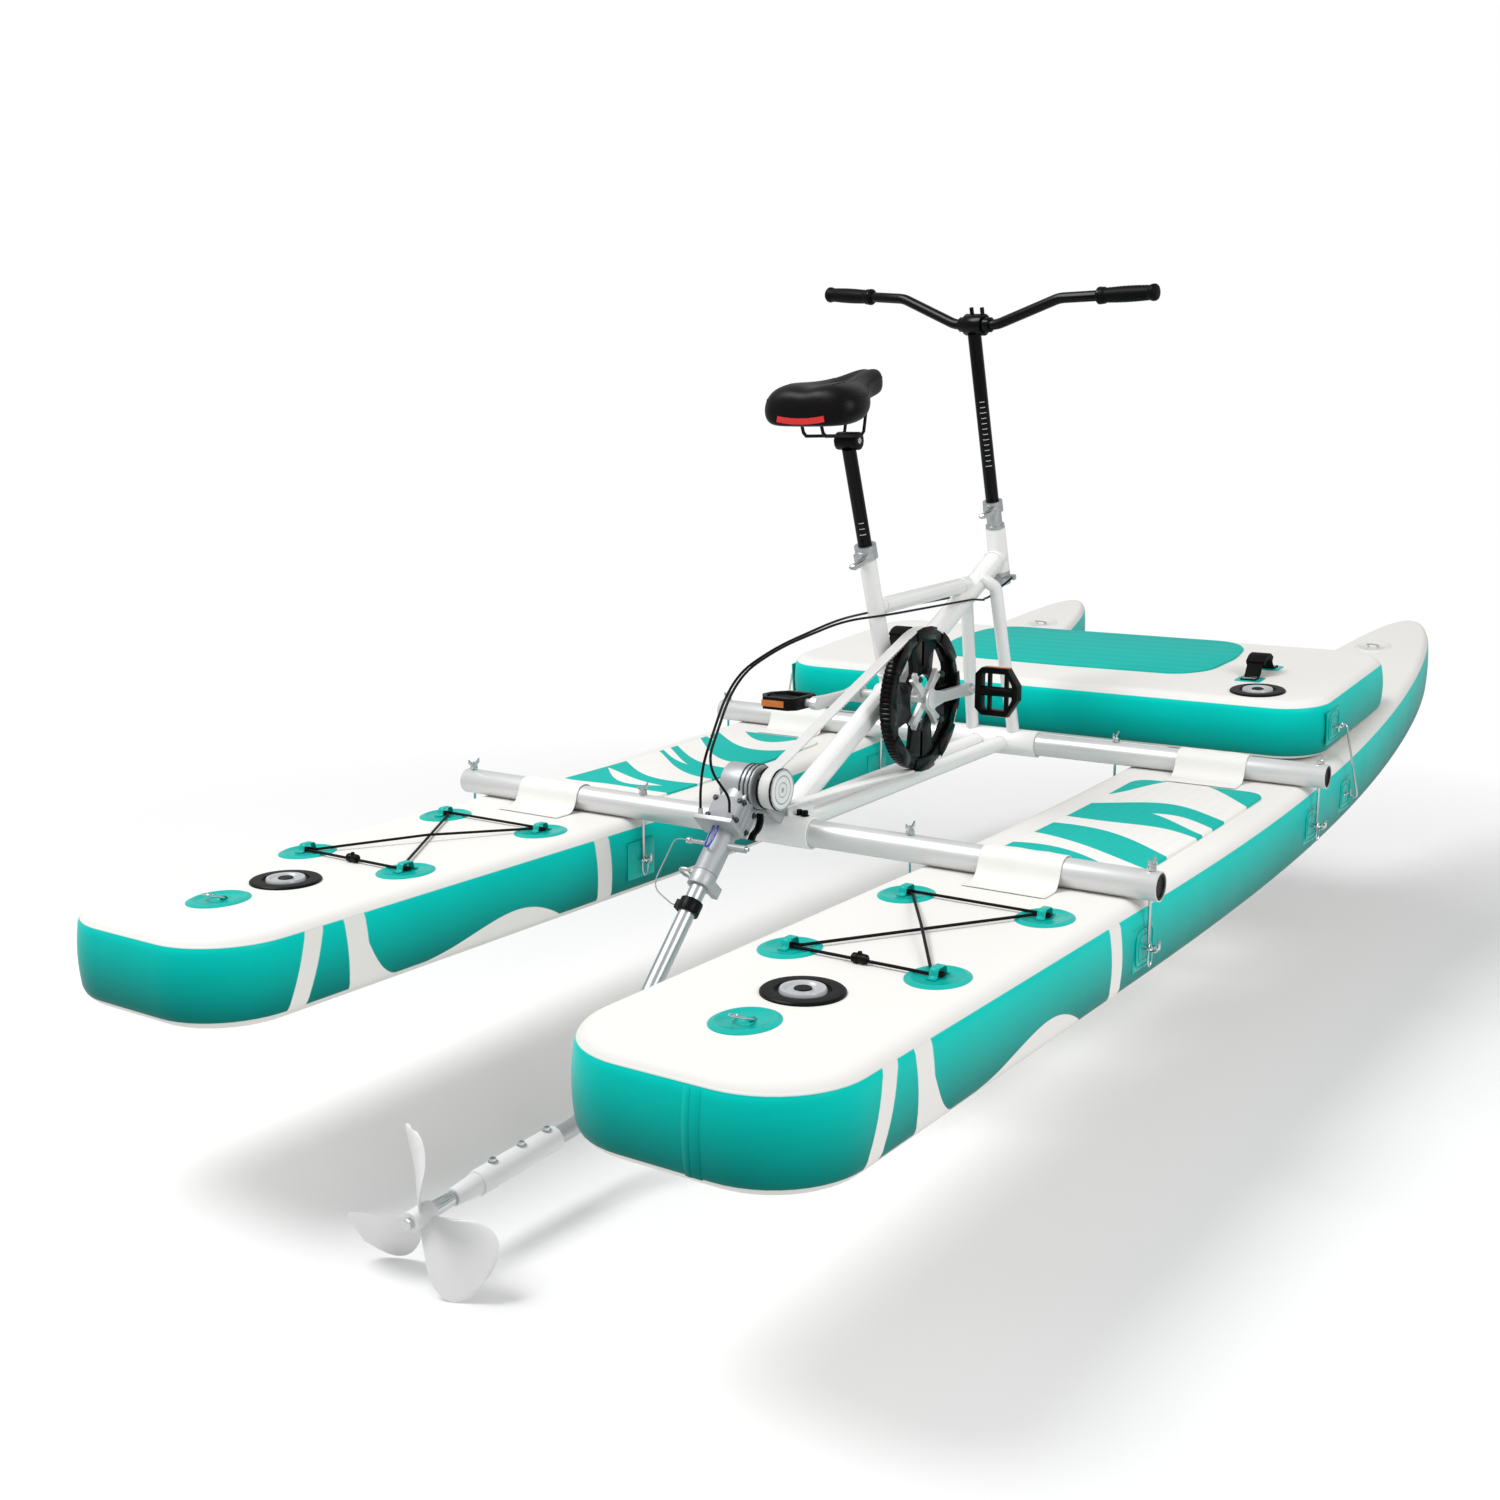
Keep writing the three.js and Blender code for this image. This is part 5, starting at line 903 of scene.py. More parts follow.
rim = edge_profile(PLATFORM_THICK, PLATFORM_EDGE)
mesh = moved(hull_mesh("platform", platform_outline, rim, lambda y: PLATFORM_THICK, 12), PLATFORM_PLACE)
new_piece("bow_platform_skin", mesh, platform_skin, "craft", "float_fabric", "bow_platform")
print("platform height at its rear edge:", round(PLATFORM.z + PLATFORM_THICK, 4))

# %% [markdown]
# ## Tubes, straps and turned parts
# Most fittings are bent rod, flat webbing, or round parts from a lathe. Primitives would need
# many joins, so three makers cover them: a *sweep* carries a section along a path, a *strap
# section* makes it flat, and a *turned* part spins a profile round an axis.

# %% Sweeping and turning
LONGEST_EASE = 0.48


def eased_corner(before, corner, after, radius, pieces):
    """A curve in place of a sharp corner, of that reach or just under half of either run."""
    reach = min(radius, (before - corner).length * LONGEST_EASE, (after - corner).length * LONGEST_EASE)
    start = corner + (before - corner).normalized() * reach
    end = corner + (after - corner).normalized() * reach
    shares = [step / pieces for step in range(pieces + 1)]
    return [start * (1 - t) ** 2 + corner * 2 * t * (1 - t) + end * t**2 for t in shares]


def round_path(corners, radius, pieces=5):
    """The corners joined by straight runs, each inner corner eased."""
    corners = [Vector(corner) for corner in corners]
    path = [corners[0]]
    for before, corner, after in zip(corners, corners[1:], corners[2:]):
        path += eased_corner(before, corner, after, radius, pieces)
    path.append(corners[-1])
    kept = [path[0]]
    for place in path[1:]:
        if (place - kept[-1]).length > 1e-6:
            kept.append(place)
    return kept


def turns_of(count):
    """The angles of a whole turn in equal steps."""
    return [2 * math.pi * i / count for i in range(count)]


def path_length(path):
    return sum((b - a).length for a, b in zip(path, path[1:]))


def sweep(name, path, section, first_side, angle=40.0, loop=False):
    """A section of (across, up) pairs carried along a path without twisting."""
    points, faces = [], []
    across = Vector(first_side).normalized()
    for index, place in enumerate(path):
        before, after = path[max(index - 1, 0)], path[min(index + 1, len(path) - 1)]
        if loop:
            before, after = path[index - 1], path[(index + 1) % len(path)]
        way = (after - before).normalized()
        across = (across - way * across.dot(way)).normalized()
        up = way.cross(across)
        points += [place + across * u + up * v for u, v in section]
    faces = ring_faces(len(path), len(section), loop)
    if not loop:
        faces += end_faces(len(path), len(section))
    return mesh_from(name, points, faces, angle)


def circle_section(radius, sides=14):
    return [(radius * math.cos(turn), radius * math.sin(turn)) for turn in turns_of(sides)]


def strap_section(width, thick):
    half, deep = width / 2, thick / 2
    edge = min(thick * 0.4, 0.001)
    corners = [(half - edge, deep), (half, deep - edge), (half, edge - deep), (half - edge, -deep)]
    return corners + [(-u, v) for u, v in reversed(corners)]


def turned(name, profile, centre, axis=(0, 0, 1), sides=48, angle=35.0):
    """(radius, height) pairs spun round an axis through centre."""
    turns = turns_of(sides)
    points = [(radius * math.cos(a), radius * math.sin(a), height) for radius, height in profile for a in turns]
    mesh = raw_mesh(name, points, ring_faces(len(profile), sides))
    built = bmesh.new()
    built.from_mesh(mesh)
    bmesh.ops.remove_doubles(built, verts=built.verts, dist=1e-7)
    bmesh.ops.holes_fill(built, edges=built.edges)
    built.to_mesh(mesh)
    built.free()
    return finish_mesh(moved(mesh, standing(centre, axis)), angle)


def joined(name, meshes, angle=35.0):
    """Several meshes as one."""
    built = bmesh.new()
    for mesh in meshes:
        built.from_mesh(mesh)
    result = bpy.data.meshes.new(name)
    built.to_mesh(result)
    built.free()
    return finish_mesh(result, angle)


print("a strap has", len(strap_section(0.04, 0.004)), "points round it")

# %% [markdown]
# ## Fittings welded on the decks
# Each float carries four oval patches with webbing loops for the lashing, one patch with a
# lifting ring near each end, and a screw valve behind the rear beam. A patch is a flat oval
# with a pressed ridge. It could be a bump in the skin, but its edge throws a real shadow, so
# it is a low mesh of rings. The four loops and the deck's patches are copies on marks.

# %% Patches, rings and valves
# share of the oval's size and height above the deck, from the rim to the middle
PATCH_RINGS = [
    (1.0, -0.001), (0.985, 0.0012), (0.93, 0.0018), (0.88, 0.0036),
    (0.80, 0.0038), (0.75, 0.0019), (0.3, 0.0020), (0.001, 0.0022),
]
PATCH_HALF_WIDTH, PATCH_HALF_LENGTH, PATCH_SIDES = 0.046, 0.056, 48


def flat_place(x, y, lift):
    return Vector((x, y, lift))


def deck_place(centre_x):
    return lambda x, y, lift: DATUM + Vector((centre_x + x, y, deck_height(y) + lift))


def oval_patch(x, y, place):
    points = []
    for share, lift in PATCH_RINGS:
        for turn in turns_of(PATCH_SIDES):
            across, along = PATCH_HALF_WIDTH * share * math.cos(turn), PATCH_HALF_LENGTH * share * math.sin(turn)
            points.append(place(x + across, y + along, lift))
    rows = len(PATCH_RINGS)
    return mesh_from("patch", points, ring_faces(rows, PATCH_SIDES) + end_faces(rows, PATCH_SIDES), 50.0)


def d_ring(x, y, place, lift, lean=0.35):
    """A steel ring with one straight side under the keeper, its round side raised a little."""
    half, reach = 0.014, 0.024
    corners = [(-half, 0.0), (-half, -reach * 0.5)]
    corners += [(-half * math.cos(a), -reach * 0.5 - half * math.sin(a)) for a in (0.5, 1.0, math.pi / 2, 2.1, 2.6)]
    corners += [(half, -reach * 0.5), (half, 0.0)]
    path = [place(x + u, y + v, lift - v * lean) for u, v in corners]
    return sweep("ring", path, circle_section(0.0019, 10), (0, 0, 1), loop=True)


def both_ways(line):
    """Half a line of (along, up) pairs and its mirror image, as one."""
    return line + [(-along, up) for along, up in reversed(line)]


def keeper_strap(x, y, place, lift):
    corners = both_ways([(-0.016, 0.0012), (-0.008, 0.0016), (-0.004, lift + 0.0022)])
    path = round_path([place(x, y + v, w) for v, w in corners], 0.003, 3)
    return sweep("keeper", path, strap_section(0.022, 0.0018), (1, 0, 0), 50.0)


def webbing_loop(x, y, place):
    corners = both_ways([(-0.024, 0.0034), (-0.0145, 0.0034), (-0.0125, 0.0165)])
    path = round_path([place(x, y + v, w) for v, w in corners], 0.005, 4)
    return sweep("loop", path, strap_section(0.014, 0.002), (1, 0, 0), 50.0)


VALVE_RING = [
    (0.060, -0.001), (0.0595, 0.0028), (0.0575, 0.0045), (0.047, 0.0052),
    (0.0395, 0.0046), (0.038, 0.0016), (0.033, 0.0012),
]
VALVE_CAP = [
    (0.033, 0.0012), (0.0328, 0.0052), (0.0315, 0.0072), (0.0285, 0.0076), (0.0262, 0.0066),
    (0.0235, 0.0034), (0.0150, 0.003), (0.0135, 0.0052), (0.0105, 0.0056), (0.0, 0.0056),
]
VALVE_HUB = [(0.0, 0.0070), (0.0118, 0.0070), (0.0128, 0.0060), (0.0128, 0.0050), (0.0, 0.0050)]


def put_valve(name, centre, axis):
    black = [turned(name + "_ring", VALVE_RING, centre, axis), turned(name + "_hub", VALVE_HUB, centre, axis)]
    new_piece(name + "_ring", joined(name + "_ring", black), black_plastic, "craft", "black_plastic")
    cap = turned(name + "_cap", VALVE_CAP, centre, axis)
    new_piece(name + "_cap", cap, grey_plastic, "craft", "white_plastic")


ANCHORS = [(across, y) for y in (-0.188, -0.539) for across in (-0.122, 0.122)]
STERN_RING, VALVE_SPOT = (0.0, -0.835), (0.0, -0.696)
PATCH, LOOP = oval_patch(0, 0, flat_place), webbing_loop(0, 0, flat_place)
for side, sign in SIDES.items():
    place = deck_place(sign * SPACING)
    bow_x, bow_y = -sign * 0.023, 2.240
    spots = [Matrix.Translation(place(x, y, 0.0)) for x, y in ANCHORS + [STERN_RING]]
    keeper = keeper_strap(STERN_RING[0], STERN_RING[1] + 0.002, place, 0.005)
    patches = [copies("patches", PATCH, spots, patch_teal), keeper]
    new_piece(side + "_deck_patches", joined("patches", patches, 50.0), patch_teal, "craft", "float_fabric")
    bow = [oval_patch(bow_x, bow_y, place), keeper_strap(bow_x, bow_y + 0.002, place, 0.005)]
    new_piece(side + "_bow_patch", joined("patches", bow, 50.0), patch_white, "craft", "float_fabric")
    rings = [d_ring(x, y, place, 0.0052) for x, y in (STERN_RING, (bow_x, bow_y))]
    new_piece(side + "_lifting_rings", joined("rings", rings), polished, "craft", "steel")
    copied(side + "_lashing_loops", LOOP, spots[:4], patch_teal, "craft", "float_fabric", 50.0)
    put_valve(side + "_valve", place(*VALVE_SPOT, 0.0), (0, 0, 1))


def on_platform(x, y, lift):
    return PLATFORM_PLACE @ Vector((x, y, PLATFORM_THICK + lift))


up = PLATFORM_PLACE.to_3x3() @ Vector((0, 0, 1))
put_valve("platform_valve", on_platform(0.520, 0.095, 0.0), up)
print("patches on each float:", len(spots) + 1)

# %% [markdown]
# ## Side patches and bails
# On the sides of each float a small patch holds a steel bail with a link for each hook bolt,
# and one more lines up with the platform's hook. The platform's ends have the same patches.
# The pad is a grid that swells off the wall, and two thin tubes give its pressed ridges.

# %% Side patches and bails
PAD_HALF = Vector((0.041, 0.036))
PAD_DROP = 0.078
PAD_SINK = 0.0012
BEAM_LINES = (0.0, 0.922)
RING_REACH = 0.229
HOOK_LINE = 1.190


def float_half_width(y):
    along = max((y - FLOAT["taper"]) / (FLOAT["tip"] - FLOAT["taper"]), 0.0)
    return FLOAT["half"] * math.sqrt(1 - along**2.4)


def squared(value, power=0.45):
    return math.copysign(abs(value) ** power, value)


def side_patch(wall, sign, y, z, place, size=10):
    """A soft square pad that lies on a side wall, in the place of the float or the platform."""
    points = []
    for a in range(size + 1):
        for b in range(size + 1):
            u, v = a / size * 2 - 1, b / size * 2 - 1
            lift = 0.0026 * (1 - max(abs(u), abs(v)) ** 10)
            points.append(place(wall + sign * lift, y + PAD_HALF.x * u, z + PAD_HALF.y * v))
    corners = [a * (size + 1) + b for a in range(size) for b in range(size)]
    faces = [(i, i + size + 1, i + size + 2, i + 1) for i in corners]
    cloth = {"thickness": 0.003, "offset": -1.0 if sign > 0 else 1.0}
    pad = evaluated("pad", mesh_from("pad", points, faces, 60.0), [("SOLIDIFY", cloth)])
    ridges = []
    for share in (0.86, 0.58):
        wide, high = PAD_HALF.x * share, PAD_HALF.y * share
        ring = [(y + wide * squared(math.cos(a)), z + high * squared(math.sin(a))) for a in turns_of(40)]
        ridges.append([place(wall + sign * 0.0026, *spot) for spot in ring])
    return joined("pad", [pad, tubes("ridges", ridges, 0.0015, 8, patch_teal, closed=True)], 60.0)


def side_bail(wall, reach, y, z, place, sign):
    tip = wall + sign * reach
    corners = [(wall, y - 0.012), (tip, y - 0.012), (tip, y + 0.012), (wall, y + 0.012)]
    path = round_path([place(x, w, z) for x, w in corners], 0.006, 5)
    return sweep("bail", path, circle_section(0.002, 12), (0, 0, 1))


def link_path(x, y, z, place):
    """A steel link that hangs from a bail, its long side upright."""
    return [place(x, y + 0.0085 * math.cos(a), z - 0.012 + 0.019 * math.sin(a)) for a in turns_of(28)]


def float_wall(sign):
    return lambda x, y, z: DATUM + Vector((sign * SPACING + x, y, z))


def platform_end(x, y, z):
    return PLATFORM_PLACE @ Vector((x, y, z))


for side, sign in SIDES.items():
    place = float_wall(sign)
    pads, bails, links = [], [], []
    for edge in (-1, 1):
        for y in BEAM_LINES:
            half, height = float_half_width(y), deck_height(y) - PAD_DROP
            pads.append(side_patch(edge * (half - PAD_SINK), edge, y, height, place))
            bails.append(side_bail(edge * half, RING_REACH - half, y, height, place, edge))
            links.append(link_path(edge * (RING_REACH - 0.006), y, height, place))
    low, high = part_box(side + "_platform_hook")
    half, height = float_half_width(HOOK_LINE), deck_height(HOOK_LINE) - PAD_DROP
    reach = abs((low[0] + high[0]) / 2 - sign * SPACING) - half
    wall = sign * (half - PAD_SINK)
    pads.append(side_patch(wall, sign, HOOK_LINE, height, place))
    bails.append(side_bail(wall, reach + PAD_SINK, HOOK_LINE, height, place, sign))
    bails.append(side_bail(sign * 0.683, 0.020, 0.110, 0.065, platform_end, sign))
    bails.append(tubes("links", links, 0.0015, 10, polished, closed=True))
    new_piece(side + "_side_patches", joined("pads", pads, 60.0), patch_teal, "craft", "float_fabric")
    end_pad = side_patch(sign * 0.6818, sign, 0.110, 0.065, platform_end)
    new_piece(side + "_bails", joined("bails", bails), polished, "craft", "steel")
    new_piece(side + "_platform_end_patch", end_pad, patch_teal, "craft", "float_fabric")
print("links on each float:", len(links))

# %% [markdown]
# ## Foam deck pads
# Thin foam lies on each float beside the seat and on the platform. A solidified face would
# do, but its rim would be square. Here the rim is a few rings drawn in towards the middle,
# and the corners are generous, so nothing catches a foot.

# %% Foam pads
def foam_pad(name, outline, thick, place):
    """A flat slab with a rounded rim; outline is a ring of (x, y)."""
    rings = [(0.0, -0.0006), (0.0, thick * 0.6), (0.0012, thick * 0.9), (0.003, thick)]
    centre = Vector((sum(x for x, _ in outline), sum(y for _, y in outline), 0)) / len(outline)
    points = []
    for inset, lift in rings:
        for x, y in outline:
            away = Vector((x - centre.x, y - centre.y))
            pulled = away * (1 - inset / away.length)
            points.append(place(centre.x + pulled.x, centre.y + pulled.y, lift))
    faces = ring_faces(len(rings), len(outline))
    mesh = raw_mesh(name, points, faces)
    built = bmesh.new()
    built.from_mesh(mesh)
    bmesh.ops.holes_fill(built, edges=built.edges)
    bmesh.ops.triangulate(built, faces=[face for face in built.faces if len(face.verts) > 4])
    built.to_mesh(mesh)
    built.free()
    return finish_mesh(mesh, 35.0)


def round_outline(corners, radius, pieces=6, spacing=0.04):
    """A closed outline with eased corners, its long runs split at about that spacing."""
    corners = [Vector(corner) for corner in corners]
    ring = []
    for before, corner, after in zip(corners[-1:] + corners[:-1], corners, corners[1:] + corners[:1]):
        ring += eased_corner(before, corner, after, radius, pieces)
    outline = []
    for a, b in zip(ring, ring[1:] + ring[:1]):
        parts = max(int((b - a).length / spacing), 1)
        outline += [tuple(a + (b - a) * (step / parts)) for step in range(parts)]
    return outline


FOAM = 0.005
SIDE_PAD = [(0.386, 0.100), (0.660, 0.100), (0.660, 0.815), (0.386, 0.815)]
for side, sign in SIDES.items():
    corners = [(sign * x - sign * SPACING, y) for x, y in SIDE_PAD]
    mesh = foam_pad(side + "_foot_pad", round_outline(corners, 0.045), FOAM, deck_place(sign * SPACING))
    new_piece(side + "_foot_pad", mesh, pad_ribbons, "craft", "float_fabric")
HALF_PAD = [(0.0, 0.180), (0.300, 0.190), (0.356, 0.250), (0.368, 0.400), (0.350, 0.520), (0.300, 0.572), (0.0, 0.574)]
corners = HALF_PAD + [(-x, y) for x, y in reversed(HALF_PAD[1:-1])]
mesh = foam_pad("platform_pad", round_outline(corners, 0.035), FOAM, on_platform)
new_piece("platform_pad", mesh, pad_teal, "craft", "float_fabric")
print("foam pads:", len(SIDES) + 1, "of", FOAM, "m")

# %% [markdown]
# ## Canvas wraps
# Each beam is held down on a float by a wide loop of coated canvas, glued flat on the deck
# fore and aft and pulled up over the beam. A cloth simulation could drape it, but it is under
# tension, so its line is worked out: flat, a half turn round the beam, and flat again, eased
# where they meet. Small ripples across it keep it from looking like sheet metal.

# %% Canvas wraps over the beams
def wrap_path(beam_y, beam_z, lift, radius):
    """The (y, z) line of the cloth's middle, from the rear flap over the beam to the front one."""
    flat = []
    for step in range(9):
        y = -0.090 + (0.090 - radius - 0.007) * step / 8
        flat.append((y, deck_height(beam_y + y) - beam_z + lift))
    over = [(radius * math.cos(a), radius * math.sin(a)) for a in [math.pi * (1 - step / 24) for step in range(25)]]
    front = [(-y, deck_height(beam_y - y) - beam_z + lift) for y, _ in reversed(flat)]
    return flat + over + front


def smoothed(line, rounds=3, keep=0.5):
    for _ in range(rounds):
        eased = list(line)
        for index in range(1, len(line) - 1):
            if abs(line[index][0]) > 0.018:
                middle = [(a + b) / 2 for a, b in zip(line[index - 1], line[index + 1])]
                eased[index] = tuple(c * keep + m * (1 - keep) for c, m in zip(line[index], middle))
        line = eased
    return line


def wrap_mesh(name, centre, beam_y, beam_z, width=0.150, cloth=0.0022):
    line = smoothed(wrap_path(beam_y, beam_z, 0.0018, 0.0262 + cloth / 2))
    columns = 18
    points, faces = [], []
    for row, (y, z) in enumerate(line):
        for step in range(columns + 1):
            share = step / columns * 2 - 1
            ripple = 0.0009 * math.sin(share * 9.0 + row * 0.7) * (1 if abs(y) < 0.035 else 0.25)
            flare = 1 + 0.02 * (abs(y) / 0.09)
            points.append(centre + Vector((share * width / 2 * flare, y, z + max(ripple, 0) + 0.0004 * (1 - share**6))))
    for row in range(len(line) - 1):
        for step in range(columns):
            here = row * (columns + 1) + step
            faces.append((here, here + 1, here + columns + 2, here + columns + 1))
    mesh = mesh_from(name, points, faces, 60.0)
    mesh = evaluated(name, mesh, [("SOLIDIFY", {"thickness": cloth, "offset": 0.0}), ("SUBSURF", {"levels": 1})])
    length = sum(math.dist(a, b) for a, b in zip(line, line[1:]))
    return finish_mesh(mesh, 60.0), length


BEAMS = {}
for end, y in zip(("rear", "front"), BEAM_LINES):
    low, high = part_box(end + "_beam")
    middle = Vector([(a + b) / 2 for a, b in zip(low, high)])
    BEAMS[end] = (y, middle.z - DATUM.z)
for side, sign in SIDES.items():
    for end, (y, z) in BEAMS.items():
        centre = DATUM + Vector((sign * SPACING, y, z))
        mesh, length = wrap_mesh(f"{side}_{end}_canvas", centre, y, z)
        node = f"{side}_{end}_wrap"
        piece = new_piece(f"{side}_{end}_canvas", mesh, canvas_cloth, "craft", "canvas", node)
print("wrap length along the cloth:", round(length, 4))

# %% [markdown]
# ## Webbing handles
# The platform's handles are flat webbing, sewn to a patch at both feet and padded in the
# middle. A band swept along a line with eased corners keeps its width in every bend, and the
# stitches are thin tubes that run round a box on each foot.

# %% Platform handles
HANDLE_SPOT = Vector((0.468, 0.266))
HANDLE_FEET = (-0.066, 0.066)
FOOT_CORNERS = ((-0.030, -0.026), (0.030, -0.026), (0.030, 0.026), (-0.030, 0.026))


def handle_path(lift):
    corners = both_ways([(-0.0815, 0.0), (-0.0505, 0.0), (-0.031, 0.027), (-0.013, 0.0385)])
    return [(y, z + lift) for y, z in corners]


for side, sign in SIDES.items():
    spot = Vector((sign * HANDLE_SPOT.x, HANDLE_SPOT.y))
    line = round_path([on_platform(spot.x, spot.y + y, z) for y, z in handle_path(0.0030)], 0.012, 6)
    band = sweep("band", line, strap_section(0.036, 0.0032), (1, 0, 0), 50.0)
    feet, threads = [], []
    for foot in HANDLE_FEET:
        corners = [(spot.x + u, spot.y + foot + v) for u, v in FOOT_CORNERS]
        feet.append(foam_pad("foot", round_outline(corners, 0.010, 5, 0.02), 0.0012, on_platform))
        box = [(-0.014, -0.011), (0.014, -0.011), (0.014, 0.011), (-0.014, 0.011), (-0.014, -0.011), (0.014, 0.011)]
        threads.append([on_platform(spot.x + u, spot.y + foot + v, 0.0049) for u, v in box])
    new_piece(side + "_handle_feet", joined("feet", feet), patch_teal, "craft", "float_fabric")
    grip_line = round_path([on_platform(spot.x, spot.y + y, z) for y, z in handle_path(0.0032)[2:6]], 0.012, 6)
    sleeve = sweep("sleeve", grip_line, strap_section(0.042, 0.0125), (1, 0, 0), 50.0)
    piece = new_piece(side + "_handle", joined("handle", [band, sleeve], 50.0), black_webbing, "craft", "webbing")
    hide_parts(side + "_platform_handle")
    stitches = finish_mesh(tubes("stitches", threads, 0.0004, 5, canvas_cloth))
    new_piece(side + "_handle_stitches", stitches, canvas_cloth, "craft", "webbing")
print("handle length along the band:", round(path_length(line), 4))

# %% [markdown]
# ## Bungee lashings
# One elastic cord on each float runs through the four webbing loops, crosses over itself in
# the middle and ends in a cord lock. A curve object could carry it, but a sweep along given
# corners keeps it taut between the loops and clear of itself where it crosses.

# %% Bungee lashings
BUNGEE = 0.0025
LOCK_BARREL = [(0.0, 0.013), (0.005, 0.013), (0.0072, 0.011), (0.0078, 0.004), (0.0066, 0.001)]
LOCK_BARREL = [(radius, -along) for radius, along in LOCK_BARREL] + LOCK_BARREL[::-1]
LOCK_BUTTON = [(0.0, 0.0), (0.0035, 0.0), (0.0035, 0.0095), (0.0028, 0.0105), (0.0, 0.0105)]


def bungee_path(sign):
    low, high = 0.0025 + 0.0033, 0.0025 * 3 + 0.0053
    x, gap, beyond, lead = 0.122, 0.006, 0.0085, 0.014
    front, rear = -0.188, -0.539
    corners = [
        (-0.0065, rear - gap, low), (-x - beyond, rear - gap, low), (-x - beyond, rear + gap, low),
        (-x + lead, rear + gap, low), (x - lead, front - gap, low), (x + beyond, front - gap, low),
        (x + beyond, front + gap, low), (-x - beyond, front + gap, low), (-x - beyond, front - gap, low),
        (-x + lead, front - gap, low), (0.0, (front + rear) / 2, high), (x - lead, rear + gap, low),
        (x + beyond, rear + gap, low), (x + beyond, rear - gap, low), (0.0065, rear - gap, low),
    ]
    place = deck_place(sign * SPACING)
    return round_path([place(sign * u, v, w) for u, v, w in corners], 0.0055, 6)


def dense(path, spacing=0.01):
    points = [path[0]]
    for a, b in zip(path, path[1:]):
        parts = max(int(math.ceil((b - a).length / spacing)), 1)
        points += [a + (b - a) * (step / parts) for step in range(1, parts + 1)]
    return points


for side, sign in SIDES.items():
    path = bungee_path(sign)
    mesh = sweep("lashing", path, circle_section(BUNGEE, 12), (0, 0, 1))
    cord = new_piece(side + "_lashing", mesh, grey_cord, "craft", "webbing")
    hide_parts(side + "_bungee")
    middle = (path[0] + path[-1]) / 2 + Vector((0, 0, 0.002))
    lock = turned("lock", LOCK_BARREL, middle, (1, 0, 0), 24)
    button = turned("button", LOCK_BUTTON, middle, (0, 0, 1), 16)
    toggle = new_piece(side + "_cord_lock", joined("lock", [lock, button]), black_plastic, "craft", "black_plastic")
    facts = {"length": path_length(path), "diameter": 0.005, "path": dense(path), "with_pieces": [toggle]}
print("lashing length:", round(path_length(path), 3))

# %% [markdown]
# ## Steering cables
# Two cables run from the arm under the steering column, along the frame, and over in a wide
# arc to the swivel's arm. A piece can bend across one joint only, and a cable crosses three.
# So each is three pieces that meet end to end: its front goes with the bar, its arc with the
# leg's tilt, and its end with the leg's steering.
# ## Steering cables
# Two cables run from the arm under the steering column, along the frame, and over in a wide
# arc to the swivel's arm. The front part follows the column and the rear part the leg.

# %% Cable routes
RAKE = math.radians(16.7)
LEG_TURN = -math.radians(43.7)
LEG_AXIS = Vector((0, -75, 91))
COLUMN_FOOT = Vector((0, 931, 405))
STEER_UP = Vector((0, -math.sin(RAKE), math.cos(RAKE)))
ASTERN = Vector((0, -math.cos(RAKE), -math.sin(RAKE)))


def leg_point(x, y, z):
    """A place in the leg's own frame, which is turned about the pulley's axis."""
    return Matrix.Rotation(LEG_TURN, 4, "X") @ Vector((x, y, z)) + LEG_AXIS


PLUMB = Matrix.Rotation(-LEG_TURN, 4, "X") @ Vector((0, 0, 1))


def cable_corners(sign):
    """The front's corners and the rest's, in millimetres, with x away from the middle."""
    start = Vector((sign * 30, COLUMN_FOOT.y, COLUMN_FOOT.z)) - STEER_UP * 15 + ASTERN * 5.3
    front = [(14, 850, 352), (16, 822, 351), (28, 800, 351), (28, 745, 357)]
    # behind the seat tube the starboard cable lies further out
    tube_side = 4 + 8 * (sign > 0)
    rear = [(28, 745, 357), (26, 372, 357), (tube_side, 235, 358), (4, 19, 328), (4, -118, 289), (4, -205, 150)]
    front, rear = ([Vector((sign * x, y, z)) for x, y, z in corners] for corners in (front, rear))
    lug = leg_point(*(Vector((sign * 31, -42, -100.5)) + PLUMB * 16))
    end = lug + Vector((0, 0, 0.3))
    return [start, start + ASTERN * 13] + front, rear + [end + Vector((0, 0, 26)), end]


def scaled(corners):
    return [at(*corner) for corner in corners]


def cut_off(path, length):
    """The path in two at a point, the second part being about as long as asked."""
    first = len(path) - 1
    while path_length(path[first:]) < length:
        first -= 1
    return path[: first + 1], path[first:]


def bending_piece(name, path, radius, first_side, material, bodies, start, end):
    """A round cord that bends between two bodies and so rides on neither alone."""
    mesh = sweep(name, path, circle_section(radius, 10), first_side)
    mesh.materials.append(material)
    piece = linked(name, mesh)
    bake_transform(piece, *bodies, start=start, end=end)
    return piece


def tell_cord(path, radius):
    facts = {"length": path_length(path), "diameter": 2 * radius, "path": dense(path)}


